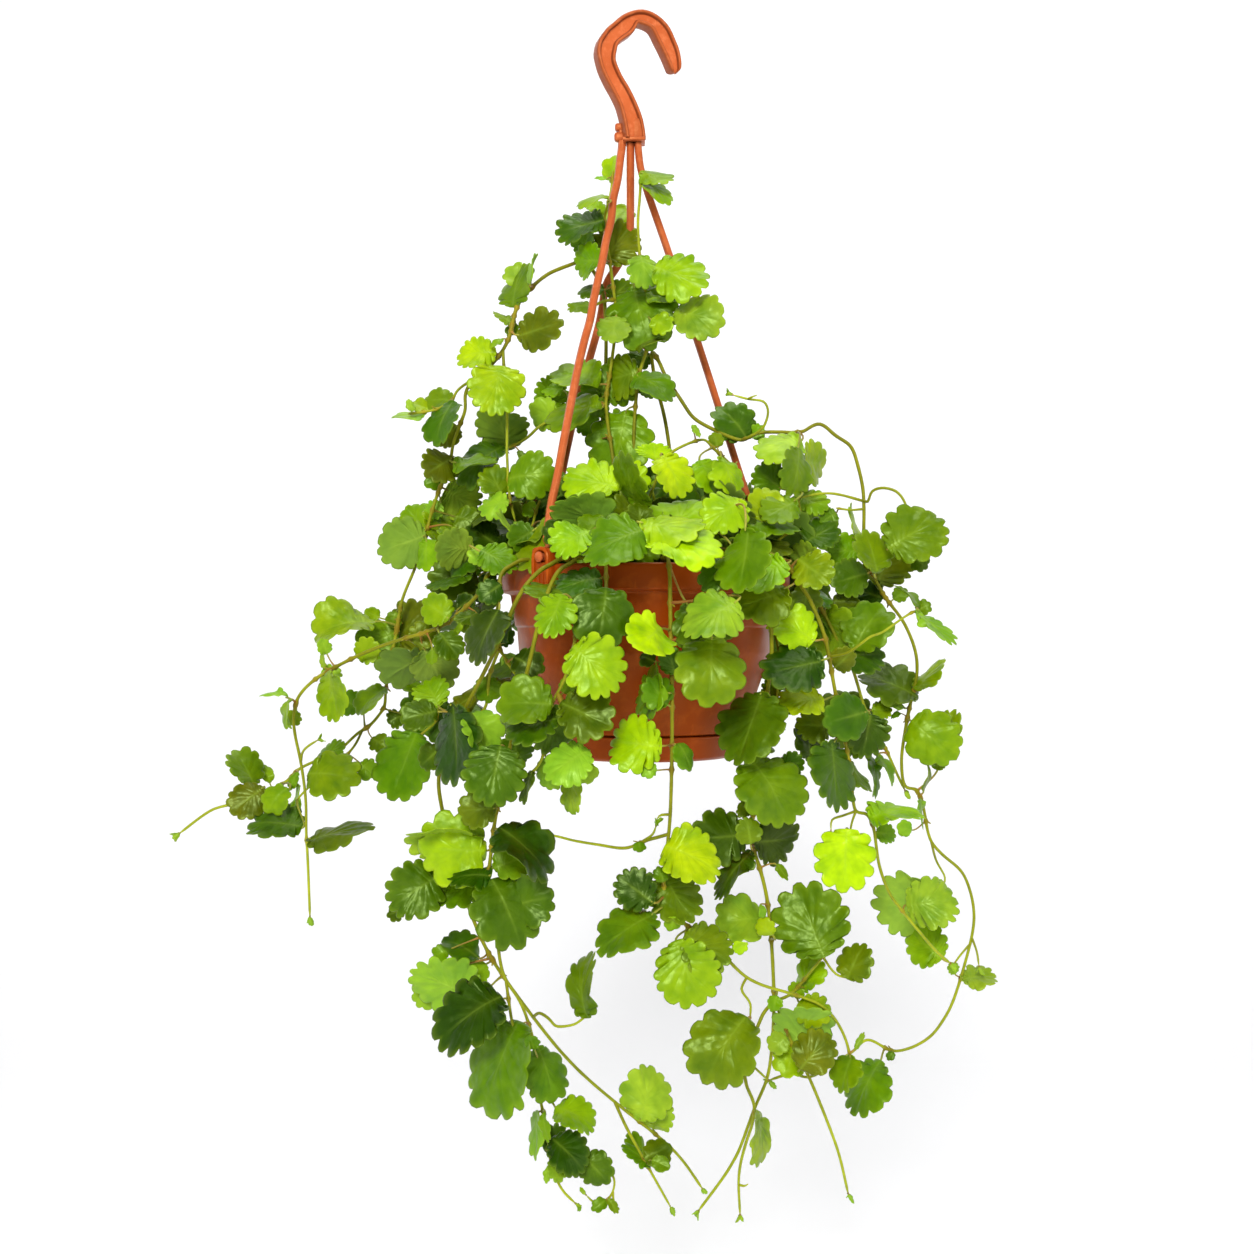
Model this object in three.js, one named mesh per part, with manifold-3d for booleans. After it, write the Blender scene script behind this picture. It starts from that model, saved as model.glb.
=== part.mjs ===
// A trailing foliage plant in a round plastic hanging pot with a clip-on drip saucer,
// under a one-piece hanger: a hook of ribbed section with three thin legs.
// Millimetres, +Z up. The origin is the point inside the top of the hook that rests on
// whatever carries it; the plant is seen from -Y.
import * as THREE from "three";
import { mergeVertices } from "three/addons/utils/BufferGeometryUtils.js";
import Module from "manifold-3d";

const wasm = await Module();
wasm.setup();

// ---------------------------------------------------------------- driving dimensions
const AXIS_X = 1.5; // the pot's axis, beside the hook's bearing point
const RIM_R = 74.9; // outer radius of the rolled rim
const RIM_TOP = -281.7;
const RIM_BOTTOM = -294.2;
const COLLAR_BOTTOM = -311.4;
const STEP_Z = -364.9; // where the body steps in for the saucer
const FOOT_Z = -375.8; // underside of the pot
const WALL = 2.1;
const SAUCER_R = 51.4;
const SAUCER_TOP = -365.7;
const SAUCER_BOTTOM = -378;
const SOIL_TOP = -289;
const GAP = 0.4; // between pieces that touch
const LATHE_SEGMENTS = 32;
const DRAIN_HOLES = 4;
const DRAIN_R = 4;
const DRAIN_PITCH_R = 30;

const HOOK_THICK = 8;
const HOOK_RIB = 1.7; // width of the raised edge
const HOOK_RECESS = 2.4; // depth of the recess on each face
const HOOK_TURN = 20; // degrees about +Z
const BLOCK = { x: -4.2, w: 10.4, d: 9.4, top: -48.4, bottom: -60.4 };
const LEG_W = 4.6; // round the axis
const LEG_T = 3.6; // outwards
const LUG_ANGLES = [-40.5, -136, 112]; // degrees from -Y towards +X
const LUG_W = 12.4;
const LUG_T = 3;
const LUG_TOP = -273.8;
const LUG_BOTTOM = -298.6;
const LUG_HOLE = { w: 5.2, top: -275.9, bottom: -281.1 };
const PEG_R = 1.9;
const PEG_Z = -278.5;

const LEAF_KEEL = 0.55; // depth of a leaf at its midrib
const STALK_R = 0.8;
const CLEARANCE = 0.45; // left round whatever passes through a leaf
const TIDY = 0.15; // slivers shorter than this are merged away

// ---------------------------------------------------------------- helpers
const V3 = (p) => new THREE.Vector3(...p);

function solid(geometry, merge = 1e-4) {
  const g = geometry.index ? geometry.toNonIndexed() : geometry.clone();
  for (const name of Object.keys(g.attributes)) if (name !== "position") g.deleteAttribute(name);
  const m = mergeVertices(g, merge);
  return new wasm.Manifold(
    new wasm.Mesh({
      numProp: 3,
      vertProperties: new Float32Array(m.attributes.position.array),
      triVerts: new Uint32Array(m.index.array),
    }),
  );
}

// rings: lists of points, all the same length; the last ring may be one point
function loft(rings) {
  const n = rings[0].length;
  const verts = [], tris = [];
  for (const ring of rings) for (const p of ring) verts.push(p.x, p.y, p.z);
  for (let k = 0; k + 1 < rings.length; k++) {
    const a = k * n, b = (k + 1) * n;
    for (let i = 0; i < n; i++) {
      const j = (i + 1) % n;
      if (rings[k + 1].length === 1) tris.push(a + i, a + j, b);
      else tris.push(a + i, a + j, b + j, a + i, b + j, b + i);
    }
  }
  for (let i = 1; i + 1 < n; i++) tris.push(0, i + 1, i);
  const last = (rings.length - 1) * n;
  if (rings[rings.length - 1].length > 1) for (let i = 1; i + 1 < n; i++) tris.push(last, last + i, last + i + 1);
  const make = (list) =>
    new wasm.Manifold(new wasm.Mesh({ numProp: 3, vertProperties: new Float32Array(verts), triVerts: new Uint32Array(list) }));
  const m = make(tris);
  if (m.volume() > 0) return m;
  const turned = [];
  for (let i = 0; i < tris.length; i += 3) turned.push(tris[i], tris[i + 2], tris[i + 1]);
  return make(turned);
}

// a rod of n-sided section along a polyline, wide and thick across it, thinning from 1 to taper
function sweep(points, w, t, sides, taper = 1) {
  const P = points.map(V3);
  const rings = [];
  let U = null;
  for (let k = 0; k < P.length; k++) {
    const T = new THREE.Vector3();
    if (k) T.add(P[k].clone().sub(P[k - 1]).normalize());
    if (k + 1 < P.length) T.add(P[k + 1].clone().sub(P[k]).normalize());
    T.normalize();
    if (!U) U = Math.abs(T.z) > 0.9 ? new THREE.Vector3(1, 0, 0) : new THREE.Vector3(0, 0, 1);
    U.addScaledVector(T, -U.dot(T)).normalize();
    const W = new THREE.Vector3().crossVectors(T, U);
    const s = 1 + (taper - 1) * (k / (P.length - 1));
    const ring = [];
    for (let i = 0; i < sides; i++) {
      const a = (2 * Math.PI * (i + 0.5)) / sides;
      ring.push(P[k].clone().addScaledVector(U, w * s * Math.cos(a)).addScaledVector(W, t * s * Math.sin(a)));
    }
    rings.push(ring);
  }
  return loft(rings);
}

function geometryOf(manifold) {
  const m = manifold.getMesh();
  const v = new Float32Array(m.numVert * 3);
  for (let i = 0; i < m.numVert; i++) v.set(m.vertProperties.subarray(i * m.numProp, i * m.numProp + 3), i * 3);
  const g = new THREE.BufferGeometry();
  g.setAttribute("position", new THREE.BufferAttribute(v, 3));
  g.setIndex(new THREE.BufferAttribute(new Uint32Array(m.triVerts), 1));
  const flat = g.toNonIndexed();
  flat.computeVertexNormals();
  return flat;
}

const join = (list) => wasm.Manifold.union(list);

const biggest = (manifold) => manifold.decompose().sort((a, b) => b.volume() - a.volume())[0];

// true when every edge borders exactly two triangles
function sound(manifold) {
  const g = geometryOf(manifold);
  g.deleteAttribute("normal");
  for (const merge of [1e-4, 1e-3]) {
    const index = mergeVertices(g, merge).index.array;
    const edges = new Map();
    for (let i = 0; i < index.length; i += 3)
      for (let k = 0; k < 3; k++) {
        const a = index[i + k], b = index[i + ((k + 1) % 3)];
        if (a === b) return false;
        const key = a < b ? a * 1e6 + b : b * 1e6 + a;
        edges.set(key, (edges.get(key) || 0) + 1);
      }
    for (const n of edges.values()) if (n !== 2) return false;
  }
  return true;
}

// one clean body: the largest one, with slivers merged away and points on a 1/1000 mm grid
function largest(manifold) {
  const whole = biggest(manifold);
  let m = whole;
  for (const tidy of [TIDY, 0.12, 0.18, 0.1, 0.21, 0.07, 0.25, 0.05, 0.3, 0.03, 0]) {
    m = tidy ? biggest(whole.asOriginal().simplify(tidy)) : whole;
    try {
      for (let i = 0; i < 2; i++) m = biggest(solid(geometryOf(m), 1e-3));
    } catch {
      continue;
    }
    if (sound(m)) return m;
  }
  console.log("not sound");
  return m;
}

function lathe(profile, segments = LATHE_SEGMENTS) {
  const g = new THREE.LatheGeometry(profile.map(([r, z]) => new THREE.Vector2(r, z)), segments);
  g.rotateX(Math.PI / 2); // the lathe turns about its own Y: stand it up
  g.translate(AXIS_X, 0, 0);
  return solid(g);
}

function box(w, d, h, x, y, z) {
  const g = new THREE.BoxGeometry(w, d, h);
  g.translate(x, y, z);
  return solid(g);
}

// ---------------------------------------------------------------- the hook's outline, seen face on (x, z)
const HOOK_OUTER = [[-10, -59.3], [-11.1, -52.5], [-12.2, -48.4], [-13.8, -43.2], [-16.6, -38], [-19.9, -32.8], [-23.2, -26.5], [-24.9, -21.3], [-25.7, -17.2], [-24.9, -12], [-23.2, -8.8], [-20.5, -4.7], [-16.6, -1], [-12.2, 3.1], [-6.6, 6.2], [-1.1, 7.8], [4.4, 7.3], [10, 4.7], [14.4, 0.5], [17.7, -5.7], [19.9, -10.9], [21, -17.2], [20.5, -22.4], [18.3, -24.4]];
const HOOK_INNER = [[16, -23.9], [14.4, -20.3], [11.1, -13.5], [7.2, -6.8], [4.4, -2.1], [1.7, -0.5], [-1.1, 0], [-3.3, 0], [-4.4, -2.6], [-6.6, -5.7], [-10.5, -8.8], [-13.8, -12], [-14.9, -15.6], [-15.5, -19.8], [-14.4, -23.4], [-11.6, -28.6], [-8.3, -33.3], [-5, -39], [-2.2, -44.7], [-0.6, -49.4], [0.6, -54.6], [1.1, -59.3]];

// ---------------------------------------------------------------- the three legs' centre lines
const LEGS = [
  [[-10.4,0,-61.4],[-15,-6,-91.8],[-16,-9,-103],[-20.3,-14,-124.9],[-32.5,-29.5,-183.8],[-44.2,-48,-250.4],[-46.4,-52,-270]],
  [[-6,1,-61],[-6.7,13,-107.1],[-10.1,15.3,-115.3],[-16.9,18.2,-125.5],[-19.6,19.9,-131.7],[-23.2,24.9,-150.5],[-35.1,35,-190.9],[-42.8,43.3,-223.2],[-45.9,47.4,-241.9],[-48.5,51.5,-265.2]],
  [[-2.1,0,-61.4],[-0.5,2,-73.7],[2.3,3.2,-83],[34.4,14.9,-175.2],[65.4,25.5,-267.8]]];

// ---------------------------------------------------------------- the vines
// Each vine is one rooted plant stem with its side stems, leaf stalks and leaf blades.
// stems: [radius, thinning, sides, [points]]
// leaves: [stem point, blade base, base-to-tip vector, across direction, width, kind]
// where kind 1 is a full blade, 0 a small or inner one.
const VINES = [
  { name: "vine_hanger_climber", colour: 0x84ab18,
    stems: [[1.20,0.58,4,[[-18.1,-8,-287.6],[-13.5,-3.8,-244.5],[-18.7,3.8,-197.8],[-16.2,5.9,-175.6],[-13.6,3.6,-148.5],[-15.6,-0.6,-130.3],[-19.7,-2.8,-104],[-18.1,-2.1,-94.6],[-15.6,1.5,-81.6],[-15,1.2,-74.6]]],
      [0.80,0.62,3,[[-14.4,2,-141.3],[-20.9,-2.2,-143.4],[-25.5,-6.1,-146.4],[-34.5,-8,-146.9]]],
      [0.80,0.75,3,[[-18.5,3.9,-195.9],[-27.3,8,-194.8],[-34.1,9.6,-197],[-52.2,9.2,-205.3],[-61.2,7.9,-213.1],[-69.8,7.9,-217.7],[-81.5,9,-221.4],[-99.9,9,-224.1]]]],
    leaves: [
      [[-15.30,1.35,-79.81],[-15.7,6.6,-78.5],[1.6,3,14.7],[0.62,-0.78,0.09],14.8,1],
      [[-15.39,1.40,-78.24],[-18.2,-1,-78.9],[-6.8,1.9,0.5],[0.20,0.47,0.86],3.6,0],
      [[-17.23,-1.17,-90.87],[-17.5,-13.2,-95.1],[-15.8,3.2,-1.5],[0.13,0.87,0.47],13.5,1],
      [[-19.44,-2.55,-102.50],[-20.2,-7.4,-103.6],[-24.2,4.9,-4.1],[0.02,0.69,0.73],24.5,1],
      [[-19.73,-2.81,-103.88],[-28.8,25.5,-96.1],[24.8,-5.1,4.3],[-0.10,-0.87,-0.48],19,1],
      [[-16.93,-1.28,-122.34],[-18.8,7.1,-120.3],[13.7,5,21],[0.84,-0.26,-0.48],25,1],
      [[-16.60,-1.10,-123.84],[-21.6,-10.7,-125],[-13.3,11.8,4.1],[0.29,-0.00,0.96],18.4,1],
      [[-14.87,0.78,-135.88],[-20.4,5.1,-135.5],[-13.1,2.6,-1],[0.08,0.68,0.73],13.1,1],
      [[-15.91,0.89,-141.80],[-15.7,9.1,-139.8],[9.5,2.8,10.5],[0.72,-0.44,-0.53],14.2,1],
      [[-25.53,-6.09,-146.38],[-25.7,-10.1,-147.4],[-11.3,-2.4,-3.1],[-0.32,0.60,0.73],11.7,0],
      [[-13.81,3.77,-150.48],[-13.5,-5,-152.4],[-2.1,-8.4,-14.5],[-0.99,-0.00,0.14],17,1],
      [[-17.30,4.98,-184.85],[-22.9,0.8,-185.5],[-24.5,5.1,6.2],[0.31,0.66,0.69],25.2,1],
      [[-37.91,9.54,-198.56],[-42.4,16.8,-185.9],[-11.2,2.3,1.1],[0.18,0.51,0.84],11.2,0],
      [[-43.02,9.37,-201.17],[-45.1,7.5,-199],[-13.7,9.4,-1.1],[-0.08,-0.00,1.00],16.8,1],
      [[-22.24,5.77,-195.44],[-21.7,-5.9,-199],[-27.9,5.7,-5.2],[0.00,0.67,0.74],28.3,1],
      [[-16.91,1.09,-214.24],[-21,9.2,-213.5],[23.2,10.1,6.3],[0.26,-0.00,-0.96],26.3,1],
      [[-71.42,8.14,-218.20],[-72,20.6,-216.8],[-3.7,-17.2,19.8],[-0.98,0.00,-0.19],26.7,1],
      [[-73.07,8.15,-218.77],[-71.9,7.8,-220],[-22.6,-5.8,-17.9],[-0.51,0.77,0.39],28.8,1],
      [[-99.06,9.05,-223.88],[-98.5,-2.8,-224.5],[-12.4,-10.8,-10.4],[-0.64,-0.00,0.77],19.7,1],
      [[-97.20,9.02,-223.62],[-96.3,-8,-227.1],[21.6,-4.3,-1],[-0.19,-0.80,-0.56],21.6,1],
      [[-66.86,8.04,-216.05],[-64.4,5,-219.3],[4.2,-2.9,-9.4],[-0.85,-0.47,-0.23],6,0]] },
  { name: "vine_hanger_climber_right", colour: 0x84ab18,
    stems: [[1.20,0.58,4,[[-1,6,-287.6],[1.6,4.9,-264.6],[-3.7,3.2,-225.2],[-4.1,2.5,-207.2],[-2,2,-184.3],[3.2,2,-165],[4.2,2.1,-153.8],[-1.7,-2.6,-112.9],[-0.6,-4,-78.8]]],
      [0.90,0.67,3,[[4,1.9,-152],[9.3,-2,-142.4],[7.5,-5.5,-131.8],[6.6,-8,-127.4]]],
      [0.80,0.62,3,[[3.9,2.1,-157.5],[17.5,-6,-149.6]]]],
    leaves: [
      [[-0.62,-3.92,-79.69],[-0.6,-9,-78.4],[16.4,-3.5,-5.1],[-0.34,-0.68,-0.64],17.2,1],
      [[-0.60,-3.72,-82.31],[1.5,-6.5,-83.2],[11.9,-3.4,-12.4],[-0.54,-0.78,-0.30],17.1,1],
      [[-0.81,-1.86,-120.09],[-1.1,-11,-122.5],[1,-3.4,-16.9],[-0.94,-0.34,0.01],16.9,1],
      [[6.76,-7.48,-128.14],[7,-13,-128.7],[25.5,-5.5,-10.2],[-0.41,-0.41,-0.81],27.5,1],
      [[16.61,-5.61,-149.90],[17.3,-9.6,-150.4],[24.1,-5.1,-7.2],[-0.34,-0.43,-0.84],25.1,1],
      [[3.90,2.12,-157.54],[-1.1,-3.7,-158.3],[-1.6,2.7,12.9],[0.99,-0.00,0.12],13.5,1],
      [[2.58,0.83,-142.53],[3,-5.6,-144.3],[13.9,2.8,2.1],[0.24,-0.77,-0.59],14.1,1],
      [[3.99,1.89,-152.02],[5,-13,-155.2],[10.2,-4.1,-5.1],[-0.45,-0.00,-0.89],12.3,0],
      [[2.72,2.01,-166.59],[-3.7,-5.4,-167],[15.5,-3.1,2.1],[-0.10,-0.85,-0.51],15.6,1],
      [[-0.54,1.99,-179.17],[-2.6,2.3,-179],[-19.3,11.2,-4.2],[-0.21,-0.00,0.98],23,1],
      [[-1.15,2.01,-180.88],[-2.6,-5.4,-181.9],[17.5,-4.5,-13.9],[-0.58,-0.61,-0.54],22.4,1]] },
  { name: "vine_left_arch", colour: 0x6c9a14,
    stems: [[1.30,0.54,4,[[-24.2,12,-287.6],[-26.2,14.2,-257],[-20.1,16,-193.2],[-19.1,15.6,-149.5],[-21.8,13.7,-131.4],[-26.7,11.6,-122.4],[-31.5,9.1,-119.4],[-49.1,-1.8,-129.2],[-61,-7.3,-141.6],[-64.8,-8.8,-149.1],[-70.5,-10.1,-168.4],[-76,-9.4,-175.9],[-86,-8,-184],[-90.1,-7.2,-189.4],[-91.3,-6,-200.1],[-98,-2,-217.6],[-100.4,0,-230.4],[-105.4,2.3,-239.5],[-118.4,7.6,-278.8],[-126.3,9,-298.3],[-136.1,13.9,-352.6],[-138.3,14.1,-357.3],[-144,14,-364],[-162.1,11.8,-378.5],[-180.7,10,-386.9],[-186.3,9,-392.6],[-195.9,6.7,-398],[-224.2,2,-407.4],[-240.2,0,-419.1]]],
      [0.80,0.75,3,[[-71.5,-9.9,-169.8],[-69,-14,-202.4],[-67.3,-17.9,-245.9],[-64.6,-18,-257.8]]],
      [0.60,0.83,3,[[-86,-8,-184],[-93.1,-11.4,-189.6],[-97,-14,-196.3],[-101.2,-15.6,-199.7],[-105.9,-16.5,-201.8],[-118.8,-18,-204]]],
      [0.60,0.83,3,[[-147.8,13.5,-367],[-149.9,6.4,-372.9],[-153.3,2.7,-378],[-162.2,0,-387.4],[-174.3,-2,-396.5],[-178.7,-3,-401.6]]]],
    leaves: [
      [[-68.12,-9.51,-160.38],[-63.3,-15,-163.3],[22.9,-4.7,5.1],[0.12,-0.40,-0.91],23.5,1],
      [[-63.99,-8.51,-147.55],[-65.5,-6.8,-146.7],[3.6,4.6,22.7],[0.77,-0.63,0.01],22.9,1],
      [[-56.31,-5.08,-136.83],[-57,-18.3,-138.2],[3.5,3.2,15.7],[0.48,-0.87,0.07],8.9,1],
      [[-67.12,-9.24,-157.16],[-66.3,-9,-156.9],[-10.3,3.8,8.2],[0.65,0.47,0.59],7.1,0],
      [[-69.51,-9.83,-165.22],[-71.1,-13.7,-164.6],[-6.1,-2.5,-6.1],[-0.71,0.47,0.52],5.3,0],
      [[-73.71,-9.59,-172.84],[-75.2,-12.5,-171.5],[-19.4,4,-3.1],[-0.02,0.54,0.84],19.6,1],
      [[-70.77,-11.21,-179.25],[-72.2,-17.5,-180.6],[-2.5,-9.2,-25.4],[-1.00,-0.00,0.10],27.4,1],
      [[-111.03,-16.98,-202.59],[-111.1,-15.5,-202.6],[-16.8,3.4,-2.5],[0.11,0.87,0.48],15.7,1],
      [[-117.25,-17.88,-203.63],[-116,-23.4,-203.8],[-2,2.1,7],[0.87,0.47,0.11],5.2,0],
      [[-96.87,-14.15,-196.16],[-98,-6.6,-196.1],[-14.4,2.9,1],[0.17,0.56,0.81],14.5,1],
      [[-96.18,-13.50,-195.13],[-96.4,-19.4,-198.1],[-6.1,-4.7,-22.8],[-0.72,0.69,0.05],23.6,1],
      [[-105.36,2.24,-239.52],[-102.4,8,-240],[14.2,13.6,-9.5],[0.55,0.00,0.83],22.1,1],
      [[-66.65,-17.88,-249.19],[-67.6,-24.5,-249.7],[-15.1,3.1,-2.5],[-0.02,0.56,0.83],15.3,1],
      [[-67.70,-17.08,-237.44],[-66.9,-21.1,-237.8],[23.2,-4.7,1.5],[0.00,-0.29,-0.96],23.3,1],
      [[-113.62,5.66,-264.47],[-113.5,0.7,-264.6],[-24.5,5.2,-8.3],[0.32,0.00,-0.95],26,1],
      [[-113.17,5.51,-262.80],[-115,15.1,-261.6],[-10.6,9,14.3],[0.80,-0.00,0.60],20.2,1],
      [[-112.65,5.26,-261.44],[-111.9,4.1,-263.4],[14.1,19.1,7.3],[0.46,-0.00,-0.89],25.1,1],
      [[-114.27,5.94,-266.31],[-111.7,-4.6,-267],[1,-3.2,-16],[-0.80,0.58,-0.17],16,1],
      [[-128.63,9.97,-311.19],[-141.5,5.9,-309.4],[-27.3,-5.9,-10.5],[-0.36,0.78,0.51],29.2,1],
      [[-129.07,10.52,-314.84],[-130.8,17.4,-314.7],[-19.2,-4.3,-9.6],[-0.46,0.11,0.88],21.4,1],
      [[-128.93,10.31,-313.05],[-129.9,18.5,-312.5],[10.7,17.7,4.3],[0.37,-0.00,-0.93],21.3,1],
      [[-134.76,13.14,-345.01],[-134.5,8,-345.1],[-13.7,-3.7,-12.6],[-0.54,0.77,0.35],18.6,1],
      [[-169.94,11.04,-382.00],[-169.1,2.7,-379.9],[12.5,3,7.8],[0.47,-0.76,-0.46],14.8,1],
      [[-170.14,-1.23,-393.37],[-169.8,-12.5,-387.6],[26.6,-5.3,-1.5],[-0.15,-0.52,-0.84],26.6,1],
      [[-181.68,9.65,-388.07],[-179.2,1.5,-387.6],[-3.1,-2.8,-9.4],[-0.87,0.47,0.15],6,0],
      [[-201.16,6.04,-399.83],[-203.4,4.2,-394.6],[-11.5,4.2,17.3],[0.51,0.85,0.14],20.7,1],
      [[-194.17,7.12,-396.96],[-197.6,16,-394.9],[-4.3,3,9.6],[0.85,0.47,0.23],7.3,0],
      [[-197.66,6.49,-398.64],[-196.5,-4.3,-395.2],[-14.5,-3.8,-12.4],[-0.67,0.21,0.71],19.1,1],
      [[-189.30,8.34,-394.18],[-181.7,-9.7,-395.6],[-10.3,-3.1,-11.3],[-0.71,0.47,0.52],15.2,1],
      [[-178.00,-2.88,-400.96],[-174.3,-15,-414.3],[-27.5,5.5,0],[0.18,0.87,0.45],26.9,1],
      [[-185.05,9.23,-391.31],[-181.2,7.5,-395],[-0.5,-4.5,-22.6],[-0.46,0.87,-0.16],11.6,1],
      [[-136.85,14.05,-354.28],[-127.5,20,-359.6],[-8,-2.5,-3.2],[-0.45,0.47,0.76],12.3,0]] },
  { name: "vine_left_trail", colour: 0x6c9a14,
    stems: [[1.20,0.50,4,[[-26.6,-18,-287.6],[-39.8,-29,-285.3],[-53,-33.8,-282.2],[-56.1,-37.2,-279.9],[-61.8,-42.7,-279.5],[-73.9,-47.7,-285.4],[-76.8,-55.7,-292.9],[-78.3,-56,-295.3],[-87.3,-51.7,-304.1],[-97.1,-47.4,-311.2],[-143.2,-33.5,-327.2],[-161.7,-27.5,-336.8],[-170.9,-23.7,-344.2],[-176.1,-19.7,-354.5],[-176.4,-16.8,-366.5],[-174.1,-14.3,-380.7],[-172.2,-13.9,-394.2],[-169,-16,-458.9]]],
      [0.60,0.83,3,[[-174.1,-14.3,-380.7],[-171.2,-19.2,-374.2],[-163.1,-24,-368.8]]]],
    leaves: [
      [[-155.23,-29.44,-333.47],[-154.5,-33.7,-334.3],[3.5,-4.8,-23.8],[-0.63,0.74,-0.24],24,1],
      [[-157.08,-28.98,-334.31],[-159.4,-25,-332.6],[-1.5,2.3,8],[0.83,-0.47,0.29],4.6,0],
      [[-173.79,-21.35,-350.01],[-176.2,-28.3,-348.5],[1,-2.8,-14],[-0.59,0.78,-0.20],14,1],
      [[-173.16,-21.98,-348.55],[-178.8,-21.5,-347.3],[-15.6,3.1,0],[0.18,0.87,0.45],6.7,0],
      [[-170.99,-14.88,-420.23],[-168.5,-18,-419],[33.5,-6.9,6.6],[-0.08,-0.87,-0.48],22.3,1],
      [[-84.83,-53.03,-301.43],[-79.1,-57.1,-306.3],[-11.5,-3.4,-2.4],[-0.31,0.47,0.82],8.3,0],
      [[-94.34,-48.72,-309.10],[-93.8,-54.6,-307.7],[-12.5,3.9,8.6],[0.57,-0.00,0.82],15.9,1],
      [[-100.49,-46.46,-312.30],[-97.6,-54.9,-315.4],[8.6,-2.9,-11.5],[-0.79,-0.35,-0.50],14.4,1],
      [[-109.04,-43.78,-315.25],[-108.5,-29.6,-326],[-22.4,5.2,-12.5],[0.47,0.66,-0.58],25.7,1],
      [[-107.71,-44.03,-314.85],[-107.7,-35.4,-323.4],[9.9,4.4,-19.8],[0.89,0.00,0.45],22.7,1],
      [[-105.44,-44.80,-314.24],[-101.8,-52.7,-322.1],[0,-2.3,-8.2],[-0.87,0.47,-0.14],7.8,0],
      [[-78.12,-56.03,-295.31],[-67.6,-78.5,-305.1],[-9.3,-5.2,-24.1],[-0.75,0.64,0.15],25.8,1]] },
  { name: "vine_left_bush_upper", colour: 0x6c9a14,
    stems: [[1.10,0.55,4,[[-30.7,0,-287.6],[-49.6,-3.1,-274.5],[-65.4,-5.4,-270],[-77.7,-7.6,-272.7],[-94.2,-12,-283.9]]],
      [0.80,0.62,3,[[-58.2,-4.4,-272.1],[-55.9,-9,-258.4],[-52.4,-10,-246.9]]]],
    leaves: [
      [[-76.00,-7.32,-272.26],[-75.8,-7,-270.3],[-15.4,3.6,9.3],[0.53,0.50,0.68],18,1],
      [[-84.49,-9.37,-277.15],[-85.6,-15.5,-273.8],[-11.2,-3.3,-12.2],[-0.70,0.50,0.51],16.6,1],
      [[-77.69,-7.71,-272.75],[-75.4,-37.1,-274],[-9.9,-2.3,-5.9],[-0.50,0.62,0.60],11.5,0],
      [[-88.67,-10.65,-280.01],[-86.8,-5.1,-283.6],[-20.7,-4.6,-10.3],[-0.48,0.34,0.81],23.1,1],
      [[-81.86,-8.74,-275.47],[-78,-50,-275.7],[16.5,-3.7,-8.7],[-0.47,-0.61,-0.63],18.6,1],
      [[-56.60,-7.86,-262.00],[-53.4,-40.6,-264.4],[-11.8,-4.4,-7.4],[-0.53,-0.00,0.85],14.7,1],
      [[-54.20,-9.52,-252.91],[-54.6,-7.8,-252.8],[-7.2,2.2,3.1],[0.47,0.47,0.75],10.6,0],
      [[-56.28,-8.44,-260.27],[-57,-2.7,-260.7],[10.9,3.7,6.7],[0.53,-0.00,-0.85],13.5,1],
      [[-53.09,-9.72,-248.36],[-52.8,-4,-247.4],[10.3,7.3,4.1],[0.37,-0.00,-0.93],13.4,1]] },
  { name: "vine_left_bush_lower", colour: 0x6c9a14,
    stems: [[1.20,0.58,4,[[-37.9,-32.4,-287.6],[-47.3,-40,-283.8],[-51.7,-44.8,-279.9],[-58.6,-51.3,-279.7],[-66.4,-58.2,-284.7],[-68,-66.7,-292.6],[-68.4,-68.7,-301.2],[-68.5,-63.9,-317.2],[-69.1,-61.1,-323.3],[-74.1,-54.3,-336.7],[-75.6,-51.9,-348.9],[-78.8,-51.1,-353.6],[-87.6,-48.5,-355.1]]],
      [0.80,0.62,3,[[-69,-61.8,-321.8],[-64.3,-65.9,-328.5],[-60.2,-66,-335.1]]]],
    leaves: [
      [[-67.99,-66.75,-292.48],[-67,-74.6,-292.4],[-9.3,-2.8,-7],[-0.60,-0.00,0.80],12.1,0],
      [[-68.80,-63.11,-318.90],[-65.3,-67.8,-319.1],[3.3,2.9,14.1],[0.61,-0.80,0.02],14.5,1],
      [[-64.31,-65.94,-328.40],[-60.3,-70.9,-326.5],[13.1,-2.9,-6.6],[-0.48,-0.28,-0.83],14.7,1],
      [[-86.79,-48.79,-354.82],[-91.2,-44.5,-350.1],[28.8,6.2,11.2],[0.33,-0.87,-0.36],17.2,1],
      [[-82.83,-49.91,-354.26],[-82.2,-55.8,-354.7],[9.6,-4,-17.3],[-0.81,-0.48,-0.34],19.7,1],
      [[-85.40,-49.14,-354.68],[-100,-44.6,-350.5],[-6.8,10.3,12.2],[0.87,-0.00,0.49],17.6,1],
      [[-81.67,-50.26,-354.18],[-100.4,-49,-353.2],[-16,-3.4,-4.8],[-0.35,0.57,0.74],16.7,1],
      [[-81.17,-50.44,-354.17],[-93,-53.8,-350],[2.4,-7.5,-37],[-0.57,0.80,-0.20],37.1,1]] },
  { name: "vine_left_bush_rim", colour: 0x6c9a14,
    stems: [[1.10,0.55,4,[[-28.5,14,-287.6],[-42,19.6,-277.1],[-57.5,24.3,-271.9],[-71.5,28.6,-273.6],[-83.5,29.9,-281.2],[-94.6,30.2,-295.2],[-102.8,28.7,-313.6],[-107.3,25.4,-333.3],[-109.4,20.5,-360.3],[-111.7,18.5,-364.4],[-117.5,14,-369.3]]]],
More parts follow.
